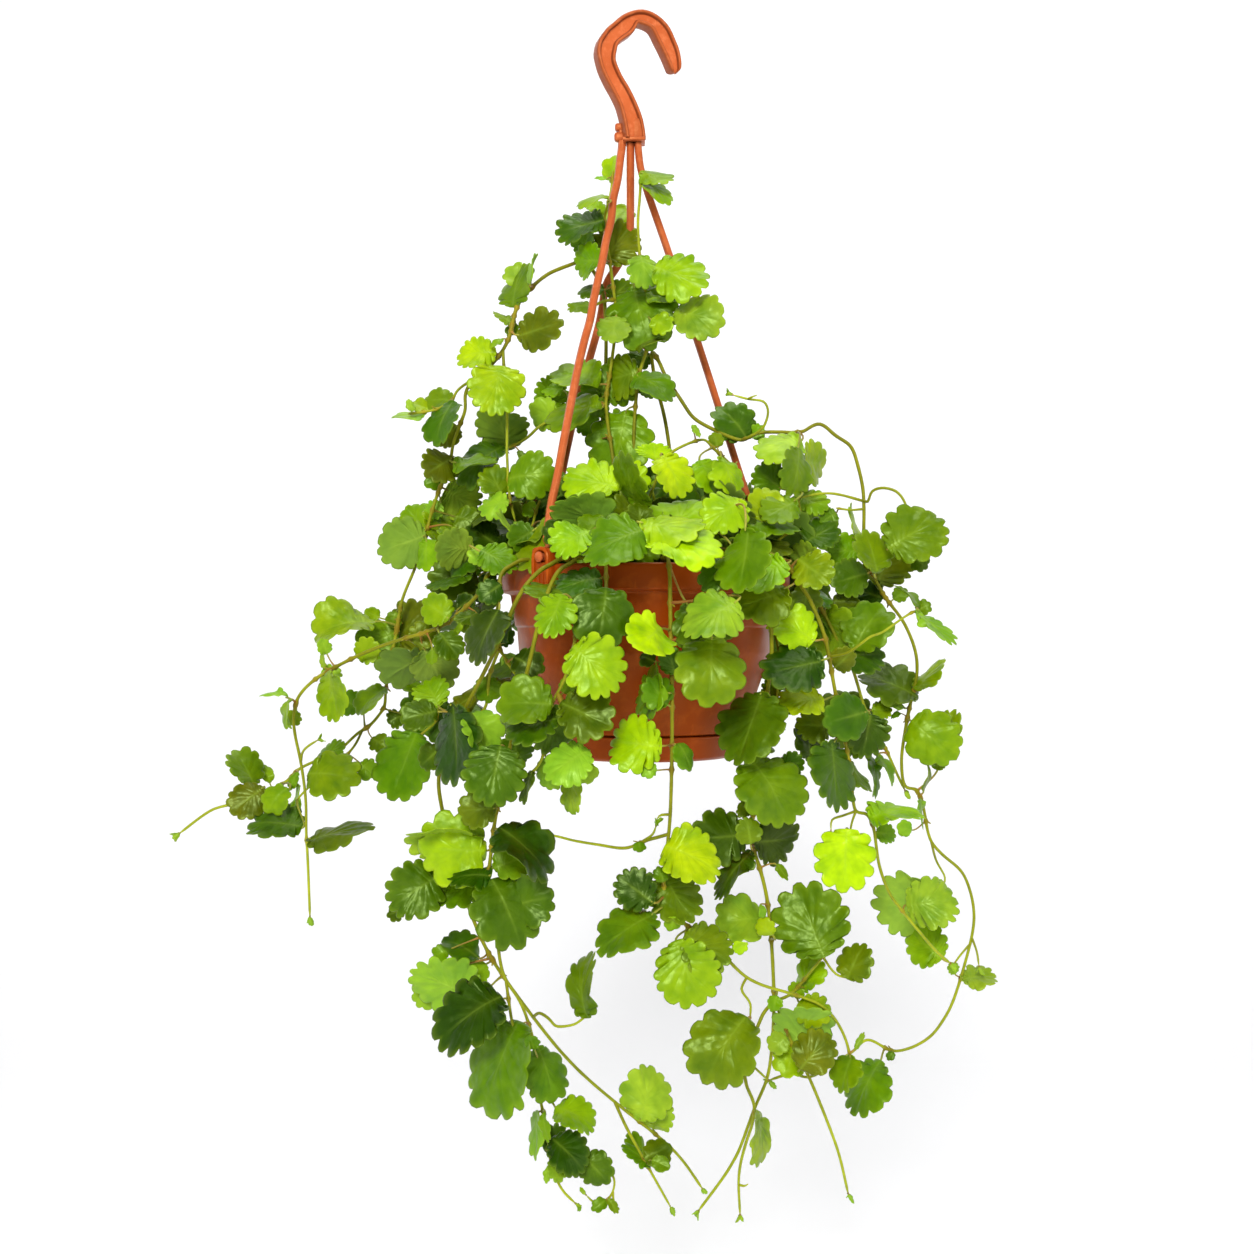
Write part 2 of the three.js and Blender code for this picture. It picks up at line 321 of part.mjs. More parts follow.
    leaves: [
      [[-116.82,14.39,-368.79],[-117.7,8,-369.3],[-12.6,-6.9,-32.1],[-0.86,0.46,0.24],34.5,1],
      [[-108.33,23.07,-346.62],[-114.4,29,-346.1],[9.7,3.6,15.1],[0.80,-0.42,-0.42],18,1],
      [[-96.79,29.81,-300.22],[-98,37.3,-300],[-12,-3.3,-10.9],[-0.66,0.47,0.58],16.3,1],
      [[-88.12,30.03,-286.94],[-88.1,25.9,-286.7],[10.8,-6.8,-9.7],[-0.67,-0.00,-0.74],16.2,1],
      [[-74.55,28.97,-275.59],[-74,30.8,-275.7],[-7,6.3,13],[0.88,-0.00,0.48],16.3,1],
      [[-110.09,19.87,-361.50],[-110.2,26,-363.2],[13.5,-3.6,-11.9],[-0.66,-0.00,-0.75],18.3,1]] },
  { name: "vine_lower_left_trail", colour: 0x6c9a14,
    stems: [[1.40,0.50,4,[[-22.3,-30,-287.6],[-30.4,-51.7,-283.7],[-34.3,-60.3,-279.6],[-38.2,-67.4,-279.5],[-47.3,-78.6,-285.3],[-55.7,-81.6,-294.7],[-60.9,-79.7,-304.2],[-67,-74,-317.8],[-93.1,-46.8,-365.3],[-98.6,-40.8,-378.1],[-100.6,-36.6,-392.4],[-97,-30.4,-422.6],[-87.9,-26.6,-450.1],[-79.5,-21.7,-472.8],[-52.5,-10.8,-516.2],[-30.1,-3.5,-544],[15.6,7.9,-586],[31.8,12,-608.6]]],
      [0.90,0.56,3,[[-13.9,0.5,-558.9],[-5.1,-2.5,-576.9],[14.4,-6,-610.6]]],
      [0.80,0.62,3,[[-55.6,-12,-511.4],[-51.9,-18,-507.8],[-49.2,-20.2,-508.5],[-44.7,-23.4,-511.9],[-41.9,-24.5,-512.7],[-33.9,-26,-511],[-27.3,-28,-505.4]]]],
    leaves: [
      [[-95.14,-29.69,-427.93],[-96.1,-40.4,-426.4],[0,-30.4,19.1],[-1.00,0.00,0.00],36.3,1],
      [[-93.22,-28.99,-433.54],[-100.5,-40.9,-434.1],[-22.6,-5.4,-14.2],[-0.55,0.11,0.83],26.7,1],
      [[-89.79,-27.38,-444.44],[-80,-40,-438.2],[-24.6,4.9,-1],[0.05,0.43,0.90],24.6,1],
      [[-77.65,-20.96,-475.81],[-83.7,-14.9,-480.5],[-18.8,4,7.1],[0.33,0.87,0.36],17.9,1],
      [[-69.93,-17.68,-488.33],[-85.7,-24,-497.5],[-29.2,-6.5,14.1],[-0.47,0.26,-0.84],32.4,1],
      [[-27.85,-27.85,-505.74],[-27.2,-31,-505.6],[4.5,9.4,28.9],[0.69,-0.71,0.12],17.9,1],
      [[-1.51,3.65,-570.22],[-1,2.3,-568.7],[7.8,12.5,22.4],[0.94,-0.00,-0.33],27.1,1],
      [[0.27,-3.51,-586.38],[1.5,-7.5,-585.2],[13.4,2.9,5.1],[0.40,-0.50,-0.77],14.3,1],
      [[2.14,-3.76,-589.65],[3.2,6.7,-593.3],[-12.1,3.4,12.1],[0.45,0.87,0.20],12.7,1],
      [[3.19,-3.88,-591.26],[4.1,-4.3,-590.6],[-14.5,3.4,8.8],[0.39,0.87,0.30],10.2,1],
      [[1.55,-3.67,-588.20],[5,-11.5,-584.7],[9.2,-2.8,-3.1],[-0.40,-0.47,-0.78],8.8,0]] },
  { name: "vine_lower_left_trail_inner", colour: 0x6c9a14,
    stems: [[1.30,0.46,4,[[-20.1,-40,-287.6],[-24.6,-55.4,-284.3],[-27.1,-62.8,-279.8],[-31,-71.7,-279.7],[-37.6,-82.5,-284.8],[-40.9,-86.6,-289.2],[-44.9,-89.6,-299.4],[-48,-89.4,-309.9],[-54.5,-83.8,-336.2],[-68.9,-67.5,-396.5],[-74.1,-58.3,-439.8],[-67.8,-50.5,-479.1],[-58.6,-46.3,-496.9],[-53.5,-43,-514.6],[-50.4,-38.2,-545.1],[-45.3,-36,-574.8],[-41.6,-36,-586.9],[-33.5,-36,-596.5]]],
      [0.70,0.71,3,[[-66.2,-49.7,-482.3],[-63.7,-51.9,-500.1],[-60.6,-51.6,-511.1],[-56.6,-49.5,-523.4],[-52.2,-44,-537.6]]],
      [0.60,0.83,3,[[-46.3,-36.4,-569.3],[-31.9,-33.8,-571.7],[-23.9,-33.1,-576.5],[-15.6,-33,-583.1],[-14.1,-33,-586.3],[-14.3,-33,-590.3],[-18.2,-33,-596.8],[-24.2,-33,-597.3],[-28.1,-33,-593.8]]],
      [0.60,0.83,3,[[-51.1,-39.3,-538.2],[-45.6,-37.8,-544.9],[-42.8,-38,-548.9]]],
      [0.60,0.83,3,[[-15.2,-33,-591.9],[-13.2,-35,-598.9]]]],
    leaves: [
      [[-69.09,-66.98,-398.51],[-69.7,-71,-396.8],[-17.3,3.5,-1.9],[-0.00,0.45,0.89],17.4,1],
      [[-70.31,-64.89,-408.23],[-67.4,-70.6,-407.2],[23.5,-6.3,-21.1],[-0.53,-0.77,-0.36],31.5,1],
      [[-72.72,-61.17,-427.22],[-70.3,-64.1,-426.2],[16.6,3.5,4.7],[0.32,-0.35,-0.88],17.2,1],
      [[-73.61,-59.50,-434.22],[-71.7,-64.7,-432.7],[14.2,-6.6,-29.3],[-0.85,-0.43,-0.32],32.6,1],
      [[-73.04,-60.21,-430.69],[-72.6,-65,-429.3],[-19.9,4,-1.4],[0.13,0.85,0.51],19.9,1],
      [[-62.65,-74.56,-370.44],[-66.1,-84.4,-367.5],[-4.6,-9.2,-25.2],[-0.98,-0.00,0.18],27.5,1],
      [[-64.74,-51.03,-492.15],[-68.8,-55,-491.1],[-28.8,-7,-19.2],[-0.52,0.65,0.55],34.6,1],
      [[-55.94,-44.68,-505.72],[-58.6,-50.7,-504.9],[-14.5,-8.5,-39.6],[-0.71,0.69,0.11],42.2,1],
      [[-53.16,-42.45,-518.32],[-51.1,-46.4,-516.8],[6.3,-5.1,-24.3],[-0.67,-0.74,-0.02],25.1,1],
      [[-49.49,-37.80,-550.56],[-51.7,-37.4,-551.1],[-1,-4.4,-21.7],[-0.46,0.87,-0.15],14.1,1],
      [[-49.77,-37.80,-549.18],[-47.7,-46.3,-548],[1.9,-3.9,-13.6],[-0.84,0.47,-0.26],6.2,0],
      [[-43.27,-37.98,-548.13],[-41.8,-47.7,-545.5],[18,-4,-8.7],[-0.40,-0.80,-0.45],20,1],
      [[-46.25,-36.60,-569.21],[-48.1,-31.8,-571.9],[9.9,2.8,9.4],[0.70,-0.33,-0.64],13.7,1],
      [[-46.90,-36.66,-565.52],[-44.6,-39.9,-564],[15.7,-4.2,-13.8],[-0.57,-0.69,-0.44],20.9,1],
      [[-45.28,-36.00,-574.67],[-44.6,-41.4,-573.2],[4.9,-3,-9.3],[-0.83,-0.47,-0.28],9.6,0],
      [[-28.70,-33.39,-573.67],[-28.6,-34.9,-573.7],[11.9,-3.4,-11.9],[-0.71,-0.00,-0.71],16.8,1],
      [[-18.36,-32.94,-596.73],[-18.2,-34.3,-595.8],[-6.9,-2.4,-4.5],[-0.58,0.47,0.66],6.8,0],
      [[-17.34,-33.12,-595.40],[-17.2,-37.7,-593.8],[4.9,-2.3,-6.4],[-0.77,-0.47,-0.42],5.1,0],
      [[-44.21,-35.99,-578.33],[-46.2,-38.8,-577.2],[-1,-2.3,-7.9],[-0.88,0.47,-0.03],4,0]] },
  { name: "vine_front_left", colour: 0x6c9a14,
    stems: [[1.10,0.55,4,[[-15.1,-44,-287.6],[-16.8,-59.5,-284.4],[-17.4,-66.7,-280],[-17.6,-75.5,-279.6],[-17.8,-87.9,-296.7],[-19.7,-90.8,-300.7],[-24.3,-93.4,-305.3],[-30.2,-94.1,-313.2],[-34.7,-93.2,-331.7],[-41.7,-90.4,-346.2],[-44.6,-87.6,-356.1],[-46.7,-81,-371.7],[-52.9,-76,-380.8]]],
      [0.80,0.62,3,[[-39.5,-91.3,-341.7],[-34,-93.8,-353.7],[-29.3,-91.5,-362.3],[-28.2,-89.2,-367.4],[-30.3,-84,-377.7]]]],
    leaves: [
      [[-17.78,-86.90,-295.27],[-17.3,-94,-295.3],[-2.7,-5.3,-26.2],[-0.99,-0.00,0.10],27.1,1],
      [[-17.81,-81.99,-288.80],[-20.3,-79.1,-289.3],[-20.4,-4.2,-5.6],[-0.32,0.70,0.64],21.1,1],
      [[-26.30,-93.69,-307.87],[-36.9,-100.9,-298.1],[-7.2,-4,-18.3],[-0.86,0.45,0.24],19.7,1],
      [[-32.54,-93.55,-322.12],[-30.5,-103.9,-321.3],[19.6,-5.3,-16.9],[-0.65,-0.00,-0.76],26.7,1],
      [[-41.96,-90.07,-347.80],[-42.3,-99.1,-347.4],[-23.8,4.8,0.4],[0.11,0.45,0.89],23.8,1],
      [[-44.02,-87.99,-354.41],[-39.8,-95,-354.9],[-21.7,-4.6,-6.8],[-0.33,0.76,0.56],22.7,1],
      [[-37.03,-92.58,-347.10],[-37,-98.8,-346.5],[22.4,-4.9,-9.4],[-0.42,-0.52,-0.74],24.3,1],
      [[-28.48,-88.32,-369.06],[-25.3,-98.4,-368.1],[-18.9,-4.4,-10.8],[-0.52,0.49,0.71],21.7,1],
      [[-51.87,-76.57,-379.53],[-51.7,-79.7,-379.1],[-3.2,-3,-14.3],[-0.48,0.87,-0.07],12.2,1],
      [[-30.34,-84.54,-376.96],[-31.1,-87,-380.1],[0.5,-3.3,-16.5],[-0.45,0.87,-0.19],15.1,1],
      [[-30.97,-93.87,-316.76],[-23.7,-89.9,-317.9],[11.8,-6.1,-2.3],[-0.19,-0.00,-0.98],13.7,1]] },
  { name: "vine_front_left_rim", colour: 0x6c9a14,
    stems: [[1.10,0.55,4,[[-11.3,-30,-287.6],[-15.1,-48,-277.5],[-20.6,-62,-270.7],[-27.5,-70,-268.8],[-36.7,-74,-271.4]]],
      [0.90,0.67,3,[[-15.1,-48,-277.5],[-6.4,-60,-272.9],[-1.7,-68,-267.3]]]],
    leaves: [
      [[-2.09,-67.19,-267.76],[-2,-98.5,-269.4],[-24.7,-5.6,-12.6],[-0.48,0.47,0.74],27.7,1],
      [[-25.42,-67.32,-269.39],[-24.5,-93.2,-269],[-16.7,-3.8,-9.1],[-0.47,0.64,0.61],19,1],
      [[-27.55,-69.97,-268.81],[-27.3,-76.4,-269.7],[7,6.1,10.2],[0.83,-0.00,-0.56],13.9,1],
      [[-35.96,-73.56,-271.09],[-37,-67.6,-271.9],[-8,4.9,10.4],[0.79,-0.00,0.61],14.1,1],
      [[-8.35,-57.18,-273.91],[-8.3,-50.7,-273.8],[-7.7,2.8,11.6],[0.83,0.23,0.50],13.9,1]] },
  { name: "vine_young_centre", colour: 0xa3c81e,
    stems: [[1.10,0.45,4,[[-8.3,-10,-287.6],[-5.3,-18,-257.8],[-9.8,-25.4,-239.9],[-12.3,-28,-229.5]]],
      [0.80,0.62,3,[[-5.3,-18,-257.8],[0.3,-23.1,-252.1],[3,-25.4,-247.5],[9.6,-30,-229.8],[16,-29.8,-223.9],[23.7,-28,-220],[31.4,-24,-218],[45.9,-18,-230.4]]]],
    leaves: [
      [[-9.43,-24.73,-241.45],[-12.7,-45.6,-245.3],[-26.3,5.5,6.8],[0.31,0.55,0.77],27.2,1],
      [[-7.68,-21.88,-248.07],[-8.8,-36.1,-249.3],[3.5,4.2,20.7],[0.90,-0.44,-0.06],21,1],
      [[9.51,-30.09,-229.67],[6.1,-32.9,-229.1],[-1,2.6,8.9],[0.88,0.47,-0.04],18.3,0],
      [[10.88,-29.93,-228.66],[9.3,-44.5,-229.6],[9.3,-4.3,-19.5],[-0.78,-0.57,-0.25],21.6,1],
      [[1.24,-23.91,-250.44],[1.4,-12.5,-249.7],[9.7,2.6,8.7],[0.68,-0.33,-0.66],13,1],
      [[-2.00,-20.99,-254.29],[-1.1,-9.2,-253],[-6.2,3,13.3],[0.81,0.53,0.25],14.7,1],
      [[35.17,-22.33,-221.33],[28.4,-33.1,-230.1],[7.9,-3.6,-15.9],[-0.80,-0.53,-0.28],17.7,1],
      [[45.22,-18.21,-229.87],[34.4,-32.3,-244],[1.5,13.1,15.9],[1.00,-0.00,-0.09],20.9,1],
      [[40.28,-20.35,-225.67],[38.9,-39.5,-228.9],[5.9,-3.9,-18.7],[-0.76,-0.64,-0.10],19.6,1],
      [[44.28,-18.67,-228.89],[45.9,-31.3,-230.9],[-3.5,-1.3,-3],[-0.67,0.47,0.57],4.6,0],
      [[26.99,-26.25,-219.02],[24.6,-29.5,-211.3],[4,-2.2,-6.5],[-0.81,-0.47,-0.34],4.6,0]] },
  { name: "vine_young_right", colour: 0xa3c81e,
    stems: [[1.10,0.45,4,[[0.7,-24,-287.6],[2.4,-44.2,-280.1],[0.3,-61.3,-271.5],[0.7,-72,-267.9],[2.8,-78.7,-265.3],[7.4,-82.6,-262.7]]],
      [0.90,0.56,3,[[2.2,-45.8,-279.3],[14.9,-58.1,-272.1],[23.7,-63.4,-266.5],[33.2,-66.3,-260.4],[47.9,-66,-252]]]],
    leaves: [
      [[2.40,-77.17,-265.80],[-1,-96.3,-264.7],[27.5,-5.5,-1.8],[-0.19,-0.74,-0.64],27.5,1],
      [[0.86,-56.69,-273.66],[2.5,-99.4,-275.7],[31.4,-6.4,-4.5],[-0.24,-0.83,-0.51],31.7,1],
      [[46.45,-66.06,-252.99],[45.1,-72.1,-252.6],[-16.4,-4.3,-14],[-0.67,0.29,0.69],21.6,1],
      [[26.76,-64.35,-264.49],[38.1,-91,-284.3],[-11.8,-3.2,-10.9],[-0.68,0.42,0.61],16.1,1],
      [[41.98,-66.19,-255.47],[44.7,-103.9,-268.8],[-3.1,-5.6,-27.6],[-0.75,0.66,-0.05],27.8,1]] },
  { name: "vine_front_centre", colour: 0x6c9a14,
    stems: [[1.10,0.55,4,[[4.5,-40,-287.6],[8.1,-61.5,-283.6],[9.4,-68.6,-279.9],[11,-77.3,-279.6],[12,-82.6,-290.6],[12.1,-84.1,-304.8],[12.6,-84.1,-381.9],[9.1,-82.3,-426.6],[9.8,-81,-437],[16,-78.1,-447],[48.6,-67.9,-477],[56.6,-65.2,-481.5],[78.5,-58.1,-489.9],[88.3,-55.7,-496],[95.7,-53.6,-506.5],[99.8,-52,-519]]],
      [0.80,0.62,3,[[10.6,-83.1,-407.2],[2.1,-78.1,-410.7],[-6.9,-71.1,-415.3],[-11.1,-68,-416.1],[-29,-57.5,-415],[-52.9,-48,-412]]],
      [0.60,0.83,3,[[11.3,-83.4,-398.2],[8.1,-87,-397.9],[5.9,-89,-399.5]]],
      [0.60,0.83,3,[[-0.7,-75.9,-412.2],[4.1,-80,-407.7],[5.6,-82,-403.7]]],
      [0.60,0.83,3,[[48.6,-67.9,-477],[45.8,-71.9,-481.7],[49.7,-74,-487.8],[49.6,-74,-494.4]]]],
    leaves: [
      [[12.19,-83.99,-314.08],[6.2,-94.8,-313.4],[-9.9,-18.5,-7.7],[-0.61,-0.00,0.79],22.6,1],
      [[12.26,-83.97,-317.89],[30.5,-96,-317.4],[-1.8,-6,-29.7],[-1.00,-0.00,0.06],30.2,1],
      [[11.98,-83.75,-301.20],[39.9,-109,-301],[-22.5,-5.3,-14.1],[-0.54,0.49,0.68],26.6,1],
      [[12.29,-84.06,-341.93],[10.4,-90.6,-342],[-11.8,22.7,0.9],[0.08,-0.00,1.00],25.9,1],
      [[12.42,-84.03,-366.84],[7.2,-92,-366],[-21.8,12.5,1.4],[0.06,-0.00,1.00],25.4,1],
      [[12.39,-84.08,-365.29],[14.9,-90,-365.7],[5.9,-2.6,-11.4],[-0.67,-0.72,-0.18],12.8,1],
      [[10.05,-82.84,-414.95],[9.9,-90.8,-413.3],[23.6,-5.2,-10],[-0.42,-0.54,-0.72],25.6,1],
      [[9.82,-81.01,-437.04],[3.5,-91.9,-436.7],[-15.4,3.8,10.9],[0.60,0.27,0.75],18.9,1],
      [[9.15,-82.37,-426.54],[9.3,-80.8,-426],[12,-4.9,-21.2],[-0.86,-0.32,-0.41],24.4,1],
      [[11.65,-80.19,-439.73],[3.6,-90.9,-442.4],[-23.6,-5.8,-16.4],[-0.49,0.76,0.43],28.7,1],
      [[21.31,-76.30,-452.06],[14.8,-82.1,-457.6],[11.1,-5.7,-26.3],[-0.92,-0.00,-0.39],28.6,1],
      [[25.40,-75.04,-455.72],[26.4,-70.7,-456],[13.1,-3.9,-3.8],[-0.37,-0.47,-0.80],8.1,1],
      [[49.69,-73.88,-493.57],[47.2,-80,-493.7],[-19,-6.6,-26.8],[-0.73,0.57,0.38],32.8,1],
      [[12.24,-83.96,-327.75],[5,-85.8,-328],[-6.9,2.1,2.7],[0.45,0.47,0.76],10.5,0],
      [[99.56,-52.00,-518.17],[99.2,-55.8,-517.8],[-5.3,-3.4,-16.3],[-0.66,0.75,0.05],17.1,1],
      [[-1.82,-74.89,-412.63],[-2.7,-78.1,-411.7],[0.9,-1.4,-4.6],[-0.88,-0.47,-0.04],7.5,0],
      [[98.92,-52.33,-516.49],[101.9,-54.1,-515.4],[5.3,2.7,7.7],[0.79,-0.47,-0.38],3.3,0]] },
  { name: "vine_right_bush_front", colour: 0x6c9a14,
    stems: [[1.20,0.58,4,[[13.1,-14,-287.6],[28.3,-36,-278.9],[37.5,-45.1,-275.2],[44.5,-50,-273.8],[53.5,-52.9,-274.6],[65.2,-55.4,-278.8],[69.1,-56.4,-282.1],[76.6,-58.2,-294.1],[82.2,-57.5,-304.3],[87.8,-55.4,-319.2],[102.2,-40,-384.7],[104.7,-36.4,-401.9],[110.6,-34,-404.6],[113.9,-32,-408.9],[118.5,-26,-430.8],[125.7,-21.5,-448.2],[147.7,-9.8,-474.9],[159.2,-4,-485.7]]],
      [0.60,0.83,3,[[89.4,-53.7,-326.4],[97.1,-60,-324.4],[102.9,-64.7,-319.9],[107,-66,-316.7],[114.8,-67.5,-313],[129.2,-68,-304]]],
      [0.60,0.83,3,[[105.6,-36,-402.3],[93.9,-41.5,-405.7],[92.1,-42.1,-407.9],[92.1,-42,-411.4]]],
      [0.60,0.83,3,[[105.3,-36.2,-402.4],[103.7,-34,-408.6],[102.7,-34,-413.6]]]],
    leaves: [
      [[67.97,-56.06,-281.03],[65.9,-74.2,-282.6],[-22.4,-4.9,-9.3],[-0.38,0.77,0.51],24.2,1],
      [[73.50,-57.50,-289.49],[66.1,-72.7,-293.8],[-24.3,-5.2,-8.4],[-0.38,0.54,0.75],25.7,1],
      [[69.95,-56.55,-283.46],[74.3,-62.7,-280.2],[12.3,-10.3,-11.4],[-0.68,-0.00,-0.73],19.9,1],
      [[87.02,-55.69,-317.40],[81.1,-58.6,-318.2],[-19.6,4.5,10.5],[0.50,0.32,0.80],22.2,1],
      [[89.42,-53.63,-326.46],[83.8,-69.8,-327.5],[-28.2,-5.8,-6.6],[-0.29,0.53,0.80],28.9,1],
      [[93.59,-49.03,-345.82],[85.3,-58.9,-346.9],[-21.5,-4.4,-3.8],[-0.26,0.74,0.62],21.8,1],
      [[95.83,-46.84,-355.65],[107.2,-53.8,-352.9],[-21.2,-4.4,-4.8],[-0.22,-0.00,0.98],22.1,1],
      [[98.27,-44.11,-366.79],[92.5,-52.5,-367.4],[-0.5,-6.5,-32.3],[-0.74,-0.65,0.14],32.3,1],
      [[96.31,-46.32,-357.63],[112.3,-35.5,-356],[-4.9,-5.3,-20.3],[-0.97,-0.00,0.24],21.8,1],
      [[102.81,-34.01,-412.73],[99.3,-42.6,-411.8],[-2,-5.9,-28.4],[-1.00,-0.00,0.07],29.4,1],
      [[99.48,-42.92,-372.40],[81.5,-37.1,-377.6],[-1.5,4,19.7],[0.71,0.70,-0.09],19.8,1],
      [[113.91,-31.99,-408.89],[112.7,-42,-407.5],[24,4.9,2.9],[0.23,-0.87,-0.43],21.5,1],
      [[100.71,-41.51,-377.90],[102.6,-34.5,-377.8],[9.9,-3.6,-14.9],[-0.48,-0.87,-0.11],15.2,1],
      [[128.57,-67.99,-304.57],[127.9,-74.4,-304.1],[16.3,-4.6,-15.9],[-0.44,-0.87,-0.20],13.3,1],
      [[127.18,-67.92,-305.18],[128.8,-67.6,-303],[-9.9,2.9,10.4],[0.45,0.87,0.19],12.4,1]] },
  { name: "vine_right_bush_back", colour: 0x6c9a14,
    stems: [[1.20,0.58,4,[[15.8,6,-287.6],[33,2,-275.2],[51,-2.1,-269.7],[65.8,-6.2,-270.7],[78.8,-11.3,-278.9],[89.8,-11.8,-299.4],[101.6,-7.6,-321],[109.5,-3.5,-335.3],[118.7,4.5,-359.6],[140.2,18,-398.8]]],
      [0.70,0.71,3,[[65.8,-6.2,-270.7],[74.7,-7.8,-263.5],[80.4,-9.7,-256.1],[81,-10.1,-252.7],[79.4,-10,-241.7]]]],
    leaves: [
      [[80.23,-10.00,-246.89],[74.8,-38.8,-249.5],[-16.2,-3.8,-9.8],[-0.52,0.55,0.65],19,1],
      [[60.28,-4.68,-270.23],[58.9,-35.9,-259.1],[3,4.2,15.8],[0.98,-0.00,-0.18],16.8,1],
      [[56.62,-3.49,-270.14],[53,-35.7,-263.1],[23.7,4.8,0.5],[0.16,-0.73,-0.66],23.7,1],
      [[79.88,-10.24,-245.11],[81.7,-3.9,-245.3],[14,-3.1,-6.2],[-0.44,-0.47,-0.77],15.3,1],
      [[78.74,-11.21,-278.79],[83.8,-11.7,-269.5],[16.4,4,11.3],[0.57,-0.47,-0.67],19.9,1],
      [[104.18,-6.16,-325.60],[108.9,-14.4,-322.7],[14.8,5.2,21.4],[0.77,-0.50,-0.41],26,1],
      [[103.55,-6.68,-324.27],[101.2,-11.4,-326.3],[23.5,4.7,-0.5],[0.13,-0.70,-0.70],23.5,1],
      [[128.04,10.49,-376.87],[119.8,7.3,-379.8],[1.6,-4.3,-21.5],[-0.47,-0.87,0.14],15,1],
      [[128.99,10.91,-378.49],[123.6,5,-379.5],[6.3,-3.3,-15.2],[-0.49,-0.87,-0.01],13.8,1],
      [[79.53,-10.02,-242.75],[80.7,0.7,-225.1],[-3.6,-3.6,-17.7],[-0.83,-0.49,0.27],18.1,1]] },
  { name: "vine_right_arch", colour: 0x6c9a14,
    stems: [[1.20,0.58,4,[[7.6,16,-287.6],[14.3,15.9,-263.9],[16.1,14.1,-236.1],[13.3,12.4,-208],[7,10,-181.8],[5.3,8,-167.4],[9.1,3.4,-173.8],[14.8,1.1,-185.5],[25.2,0,-201.4],[31.9,0,-206.6],[51.5,0,-214.8],[62.5,-1.2,-211],[82.3,-3,-211],[91.6,-3,-206.9],[107.1,-3,-217.5],[110.4,-3,-223.7],[114.2,-3,-239.4],[115,-2.2,-264],[117.5,0,-278.2],[126.1,3.7,-294.8],[138.6,7.3,-311.6],[144.6,9.3,-327.6],[144.7,10.4,-339.8],[137.8,13,-378.2],[138.4,13.1,-393.4],[139.8,13.6,-396.4],[146.9,15.8,-399.9],[154.5,19,-426.2],[171.2,22,-442.8],[177.9,24.3,-459.1],[178.1,25.6,-477.3],[169.4,26,-509.3],[162.2,25.8,-524.2],[153.6,25,-533.7],[145.2,24.6,-538.1],[136.2,24,-539.8],[120.8,22,-533.3],[91.5,11.4,-548.7],[86.5,9.3,-549.1],[78.2,6,-546.4],[66.8,2,-548.2]]],
      [0.70,0.71,3,[[114.4,-2.8,-246.9],[116.3,-6,-247.3],[118.2,-9,-242.3],[121.8,-11.3,-240.9],[128.2,-14.3,-242.3],[131.7,-16.3,-245.8],[134,-18.5,-252.3],[133.8,-20,-258.9],[130.2,-20,-266],[125.2,-20,-272.1]]],
      [0.70,0.71,3,[[114.6,-3.2,-246.9],[110.8,-6.7,-246.2],[96.3,-11.1,-243.6],[89.2,-13,-244.1],[80.3,-15,-246.3]]],
      [0.60,0.83,3,[[51.5,0,-214.8],[56.7,-6,-213.5],[60.4,-8.6,-211.1],[63.1,-10.7,-207.5],[64.2,-13,-201.2],[63.1,-13.7,-198.3],[60.8,-14.2,-196.7],[46.2,-15,-193.9]]],
      [0.60,0.83,3,[[53.9,-14.6,-195.4],[58.1,-18,-194.4]]],
      [0.60,0.83,3,[[114.5,-2.6,-250.9],[106.9,-8,-251.8],[99.4,-10,-251]]],
      [0.60,0.83,3,[[154.5,19,-426.2],[156.5,16,-435.9],[160.1,12.6,-443.4],[158.8,10,-448.6]]],
      [0.60,0.83,3,[[176.7,25.7,-482.7],[166,16,-491.1]]],
      [0.60,0.83,3,[[177.7,25.7,-479],[179.6,21.9,-485.9],[180.3,20,-493.2]]]],
